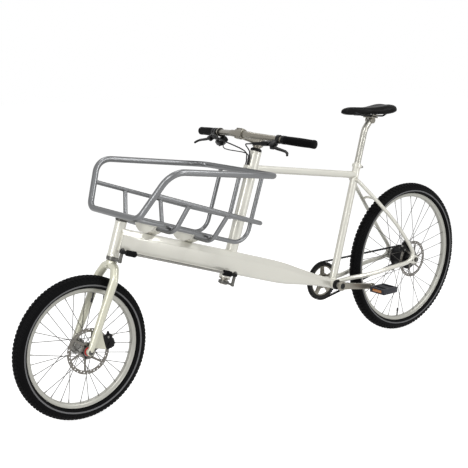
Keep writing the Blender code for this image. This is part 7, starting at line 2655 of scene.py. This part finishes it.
# Seat
@dataclass
class Seat:
    """Bent seat post, its clamp, the rails and the padded saddle."""
    post: float = 0.0136
    insertion: float = 0.160
    straight: float = 0.1417
    bend: float = 0.060
    back: float = 0.0315
    rise: float = 0.0350
    rail: float = 0.0035
    rail_half: float = 0.022
    half_width: float = 0.066
    pitch: float = math.radians(4.0)
    swell: float = 0.0030

    @property
    def head(self) -> Vector:
        """Centre of the saddle clamp."""
        bend = BIKE.seat_point(BIKE.seat_top) + BIKE.seat_line * self.straight
        return bend + Vector((self.back, 0.0, self.rise))

    def build(self) -> None:
        """Make the post, the clamp, the rails and the saddle."""
        top, line, head = BIKE.seat_point(BIKE.seat_top), BIKE.seat_line, self.head
        path = rounded([top - line * self.insertion, top + line * self.straight, head], [0, self.bend, 0], 14)
        place(sweep("seat_post_tube", path, self.post, 48), POST, Body.SEAT, "seat_post")
        tilt = Matrix.Translation(head) @ Matrix.Rotation(self.pitch, 4, 'Y')
        barrel = rod("barrel", head - ACROSS * 0.0180, head + ACROSS * 0.0180, 0.0128, sides=48)
        cradle = block("cradle", (0.036, 0.051, 0.0060), tilt @ Matrix.Translation((0, 0, 0.0122)), 0.0018)
        place(gather("saddle_cradle", [soften(barrel, 0.0015, 3), cradle]), SATIN, Body.SEAT)
        clamps, bolts = [], []
        for side in Side:
            spot = tilt @ Matrix.Translation((0.0, side * self.rail_half, 0.0212))
            clamps.append(block("plate", (0.034, 0.013, 0.0050), spot, 0.0016))
        for sign in (-1, 1):
            at = (tilt @ Matrix.Translation((sign * 0.0135, 0.0, 0.0150))).translation
            bolts.append(rod("bolt", at - Vector((0, 0, 0.022)), at + Vector((0, 0, 0.010)), 0.0030, sides=20))
            bolts.append(bolt("head", at - Vector((0, 0, 0.0195)), Vector((0, 0, -1)), 0.0045, 0.0050))
        place(gather("saddle_clamp_plates", clamps), SATIN, Body.SEAT)
        place(gather("saddle_clamp_bolts", bolts), STEEL, Body.SEAT)
        self.rails()
        self.saddle()

    def rail_path(self, side: Side, steps: int = 10) -> Path:
        """Route of one rail from the nose to the tail.

        Args:
            side: the side of the bike.
            steps: steps in each bend.

        Returns:
            The points of its centre line.
        """
        bed = self.head + Vector((0.0, 0.0, 0.0125 + 0.0030 + self.rail + BIKE.gap))
        forward = Vector((-math.cos(self.pitch), 0.0, math.sin(self.pitch)))
        half = ACROSS * (side * self.rail_half)
        return rounded([bed + forward * 0.120 + Vector((0.0, side * 0.009, 0.0150)), bed + forward * 0.075 + half,
                        bed - forward * 0.052 + half, bed - forward * 0.078 + Vector((0.0, side * 0.032, 0.0190))],
                       [0, 0.030, 0.022, 0], steps)

    def rails(self) -> None:
        """Both rails joined at the nose."""
        path = self.rail_path(Side.LEFT)[::-1] + self.rail_path(Side.RIGHT)
        place(sweep("saddle_rail_wire", path, self.rail, 20), BLACK, Body.SEAT, "saddle_rails")

    def rows(self) -> list[tuple[float, float, float, float, float]]:
        """Saddle's cross sections: run, half width, low, high and dip.

        Returns:
            The sections, from the nose.
        """
        wide = self.half_width
        return [(-0.169, 0.010, 0.035, 0.044, 0.0), (-0.160, 0.0175, 0.030, 0.0560, 0.0),
                (-0.130, 0.0205, 0.0270, 0.0585, 0.0), (-0.088, 0.0235, 0.0280, 0.0565, 0.0),
                (-0.046, 0.0310, 0.0285, 0.0535, 0.0), (-0.006, wide * 0.73, 0.0270, 0.0535, -0.0015),
                (0.036, wide * 0.95, 0.0255, 0.0575, -0.003), (0.074, wide, 0.0260, 0.0630, -0.0035),
                (0.100, wide * 0.93, 0.0300, 0.0640, -0.003), (0.117, wide * 0.68, 0.0350, 0.0590, -0.001),
                (0.123, wide * 0.40, 0.0390, 0.0520, 0.0)]

    def saddle(self) -> None:
        """Padded cover, swollen by a cloth simulation and cut out for the rails."""
        head, rings = self.head, []
        for run, half, low, high, dip in self.rows():
            height = high - low
            half = max(0.004, half - 0.0026)
            high -= 0.0030
            section = [(half * 0.50, low + 0.003), (half * 0.97, low - height * 0.06), (half, low + height * 0.42),
                       (half * 0.80, low + height * 0.86), (half * 0.40, high), (0.0, high + dip * 1.4)]
            section += [(-across, rise) for across, rise in reversed(section[:5])]
            rings.append([head + Vector((run, across, rise)) for across, rise in section])
        cover = loft("saddle_cover_skin", rings, 80.0)
        shape = cover.modifiers.new("round", 'SUBSURF')
        shape.levels = shape.render_levels = 2
        remesh = cover.modifiers.new("skin", 'REMESH')
        remesh.mode = 'VOXEL'
        remesh.voxel_size = 0.0042
        apply_modifiers(cover)
        self.inflate(cover)
        finer = cover.modifiers.new("finer", 'SUBSURF')
        finer.levels = finer.render_levels = 1
        smooth(apply_modifiers(cover), 80.0)
        path = self.rail_path(Side.LEFT)[::-1] + self.rail_path(Side.RIGHT)
        cut(cover, sweep("room", path, self.rail + 0.0004, 16))
        place(smooth(cover, 80.0), LEATHER, Body.SEAT, "saddle")

    def inflate(self, cover: Piece) -> None:
        """Swell the cover with pressure, no point by more than the cap.

        Args:
            cover: the saddle's cover.
        """
        before = [vert.co.copy() for vert in cover.data.vertices]
        cloth = cover.modifiers.new("air", 'CLOTH')
        cloth.settings.use_pressure = True
        cloth.settings.uniform_pressure_force = 4.0
        cloth.settings.effector_weights.gravity = 0.0
        scene = bpy.context.scene
        for number in range(1, 21):
            scene.frame_set(number)
        apply_modifiers(cover)
        for vert, start in zip(cover.data.vertices, before):
            moved = vert.co - start
            if moved.length > self.swell:
                vert.co = start + moved.normalized() * self.swell
        scene.frame_set(1)


# Hoses
@dataclass
class Hoses:
    """Brake hoses and shift cable from the controls to the port on the column."""
    routes: dict[str, tuple[float, Path]] = field(default_factory=dict)

    def build(self) -> None:
        for name, (radius, points) in self.routes.items():
            path = flowing(points, 4)
            hose = sweep(f"{name}_sleeve", path, radius, 14)
            place(hose, HOSE, Body.STEERING, name)


def hose_routes(cockpit: Cockpit) -> dict[str, tuple[float, Path]]:
    """Each hose's radius and the points that it passes through.

    Args:
        cockpit: the bar that the controls sit on.

    Returns:
        Radius and points by the node's name.
    """
    up, ahead = BIKE.up, BIKE.ahead
    reach = BIKE.column_radius + BIKE.port_reach / 2
    port = BIKE.column_point(BIKE.port_top) + ahead * reach + up * BIKE.gap
    routes = {}
    for side in Side:
        root, start = cockpit.master_cylinder(side)
        line = (start - root).normalized()
        end = port + ACROSS * (side * 0.008)
        right = side is Side.RIGHT
        middle = start.lerp(end, 0.45) + ahead * (0.056 if right else 0.034) + up * (0.026 if right else 0.024)
        above = end + up * 0.048 + ahead * 0.016 + ACROSS * (side * 0.0070)
        points = [start + line * 2 * BIKE.gap, start + line * 0.018, middle, above,
                  end + up * 0.020 + ahead * 0.002, end + up * 0.008, end]
        routes[f"brake_hose_{side.word}"] = (0.0025, points)
    origin, out, forward, rise = cockpit.control_frame(Side.RIGHT, BIKE.shift_y)
    start = origin + forward * 0.020 - rise * 0.0300 - out * (0.0203 + BIKE.gap)
    middle = start.lerp(port, 0.45) + ahead * 0.044 + up * 0.002
    above = port + up * 0.040 + ahead * 0.014 + ACROSS * 0.0025
    routes["shift_cable"] = (0.0020, [start, start - out * 0.014 + forward * 0.002, middle, above,
                                      port + up * 0.018 + ahead * 0.001, port + up * 0.008, port])
    return routes


# Studio
@dataclass
class Studio:
    """Camera, lamps, white floor and surroundings."""
    camera_place: tuple[float, float, float] = (-2.276, -2.5812, 1.2532)
    camera_turn: tuple[float, float, float] = (math.radians(75.542), 0.0, math.radians(-38.915))
    lens: float = 69.59
    shift: float = 0.0895
    fill_light: float = 0.13
    floor_glow: float = 0.93

    def build(self) -> None:
        """Set the view, the camera, the world, the lamps and the floor."""
        scene = bpy.context.scene
        scene.view_settings.view_transform = 'Standard'
        self.camera()
        self.world()
        self.lamp("key_lamp", (-2.6, -1.9, 3.2), (-0.2, 0.0, 0.4), (1.3, 1.3), 50.0)
        self.lamp("left_strip", (-3.3, -0.9, 1.3), (-0.1, 0.0, 0.6), (0.2, 2.2), 36.0)
        self.lamp("right_strip", (1.4, -3.4, 1.4), (0.1, 0.0, 0.5), (0.25, 2.2), 30.0)
        self.lamp("top_lamp", (0.1, 0.6, 3.4), (0.0, 0.0, 0.3), (0.6, 2.4), 18.0)
        self.lamp("streak_lamp", (1.3, -1.7, 2.7), (-0.4, 0.0, 0.7), (1.8, 0.50), 30.0)
        self.floor()

    def camera(self) -> None:
        """Camera at the photograph's viewing angle."""
        start_clean()
        bpy.ops.object.camera_add(location=self.camera_place, rotation=self.camera_turn)
        camera = bpy.context.object
        camera.name = "studio_camera"
        camera.data.lens = self.lens
        camera.data.sensor_width = 36.0
        camera.data.shift_y = self.shift
        camera.data.dof.use_dof = False
        bpy.context.scene.camera = camera

    def world(self) -> None:
        """White surroundings for the camera and reflections, dimmer light on the object."""
        world = bpy.data.worlds.new("studio_world")
        bpy.context.scene.world = world
        world.use_nodes = True
        tree = world.node_tree
        tree.nodes.clear()
        path = tree.nodes.new('ShaderNodeLightPath')
        mix = tree.nodes.new('ShaderNodeMixShader')
        dim, white = tree.nodes.new('ShaderNodeBackground'), tree.nodes.new('ShaderNodeBackground')
        dim.inputs[0].default_value = white.inputs[0].default_value = (1.0, 1.0, 1.0, 1.0)
        dim.inputs[1].default_value, white.inputs[1].default_value = self.fill_light, 1.0
        seen = path.outputs["Is Camera Ray"]
        for name in ("Is Glossy Ray", "Is Transmission Ray"):
            seen = math_node(tree, 'MAXIMUM', seen, path.outputs[name])
        tree.links.new(seen, mix.inputs[0])
        tree.links.new(dim.outputs[0], mix.inputs[1])
        tree.links.new(white.outputs[0], mix.inputs[2])
        tree.links.new(mix.outputs[0], tree.nodes.new('ShaderNodeOutputWorld').inputs[0])

    def lamp(self, name: str, place_at: Sequence[float], target: Sequence[float], size: tuple[float, float],
             power: float) -> None:
        """Soft rectangular lamp.

        Args:
            name: the lamp's name.
            place_at: where it stands.
            target: what it points at.
            size: its width and height.
            power: its power in watts.
        """
        start_clean()
        bpy.ops.object.light_add(type='AREA', location=place_at)
        lamp = bpy.context.object
        lamp.name = name
        lamp.data.shape = 'RECTANGLE'
        lamp.data.size, lamp.data.size_y = size
        lamp.data.energy = power
        lamp.rotation_euler = (Vector(target) - Vector(place_at)).to_track_quat('-Z', 'Y').to_euler()

    def floor(self) -> None:
        """White floor that keeps the bike's faint shadow."""
        start_clean()
        bpy.ops.mesh.primitive_plane_add(size=30.0, location=(0.0, 0.0, 0.0))
        floor = bpy.context.object
        floor.name = "studio_floor"
        made = bpy.data.materials.new("studio_floor")
        made.use_nodes = True
        tree = made.node_tree
        shader = tree.nodes["Principled BSDF"]
        shader.inputs["Base Color"].default_value = (0.50, 0.50, 0.50, 1.0)
        shader.inputs["Roughness"].default_value = 0.9
        shader.inputs["Specular IOR Level"].default_value = 0.1
        shader.inputs["Emission Color"].default_value = (1.0, 1.0, 1.0, 1.0)
        path = tree.nodes.new('ShaderNodeLightPath')
        seen = math_node(tree, 'MAXIMUM', path.outputs["Is Camera Ray"], path.outputs["Is Glossy Ray"])
        tree.links.new(math_node(tree, 'MULTIPLY', seen, self.floor_glow), shader.inputs["Emission Strength"])
        floor.data.materials.append(made)


def front_wheel() -> Wheel:
    """Small front wheel with its silver hub."""
    hub = [(0.0056, 0.0445), (0.0105, 0.0445), (0.0115, 0.0430), (0.0120, 0.0380), (0.0265, 0.0325),
           (0.0280, 0.0320), (0.0280, 0.0280), (0.0265, 0.0272), (0.0165, 0.0250), (0.0150, 0.0200),
           (0.0150, -0.0200), (0.0165, -0.0250), (0.0265, -0.0272), (0.0280, -0.0280), (0.0280, -0.0320),
           (0.0265, -0.0325), (0.0230, -0.0360), (0.0230, -0.0417), (0.0180, -0.0417), (0.0180, -0.0445),
           (0.0056, -0.0445)]
    return Wheel("front", Body.FRONT_WHEEL, radius=BIKE.front_radius, bead=0.203, hub_outline=hub,
                 hub_finish=STEEL, flange_radius=0.024, flange_y=0.030, crossing=3, rotor_y=BIKE.front_rotor_y,
                 valve_angle=math.radians(74.0), tread_depth=0.0022)


def rear_wheel() -> Wheel:
    """Large rear wheel with its black geared hub."""
    hub = [(0.0056, 0.04075), (0.0220, 0.04075), (0.0240, 0.0400), (0.0465, 0.0350), (0.0490, 0.0335),
           (0.0490, 0.0285), (0.0470, 0.0272), (0.0420, 0.0250), (0.0410, 0.0200), (0.0410, -0.0200),
           (0.0420, -0.0250), (0.0470, -0.0272), (0.0490, -0.0285), (0.0490, -0.0335), (0.0470, -0.0345),
           (0.0340, -0.0380), (0.0240, -0.0497), (0.0180, -0.0497), (0.0180, -0.0597), (0.0056, -0.0597)]
    return Wheel("rear", Body.REAR_WHEEL, radius=BIKE.rear_radius, bead=0.2795, hub_outline=hub, hub_finish=BLACK,
                 flange_radius=0.045, flange_y=0.031, crossing=2, rotor_y=BIKE.rear_rotor_y,
                 valve_angle=math.radians(-95.0), tread_depth=0.0030)


def main() -> None:
    """Build the studio, the hoses and every sub-assembly of the bike."""
    for make in (handling_group, flake_group, grain_group, brush_group, edge_group):
        make()
    cockpit = Cockpit()
    assemblies = [Studio(), Hoses(hose_routes(cockpit)), FrameTubes(), Basket(), front_wheel(), rear_wheel(),
                  Fork(), SteeringLink(), cockpit, Controls(cockpit), Drivetrain(), Brakes(), Seat()]
    for assembly in assemblies:
        log.info("building %s", type(assembly).__name__)
        assembly.build()


if __name__ == "__main__":
    main()
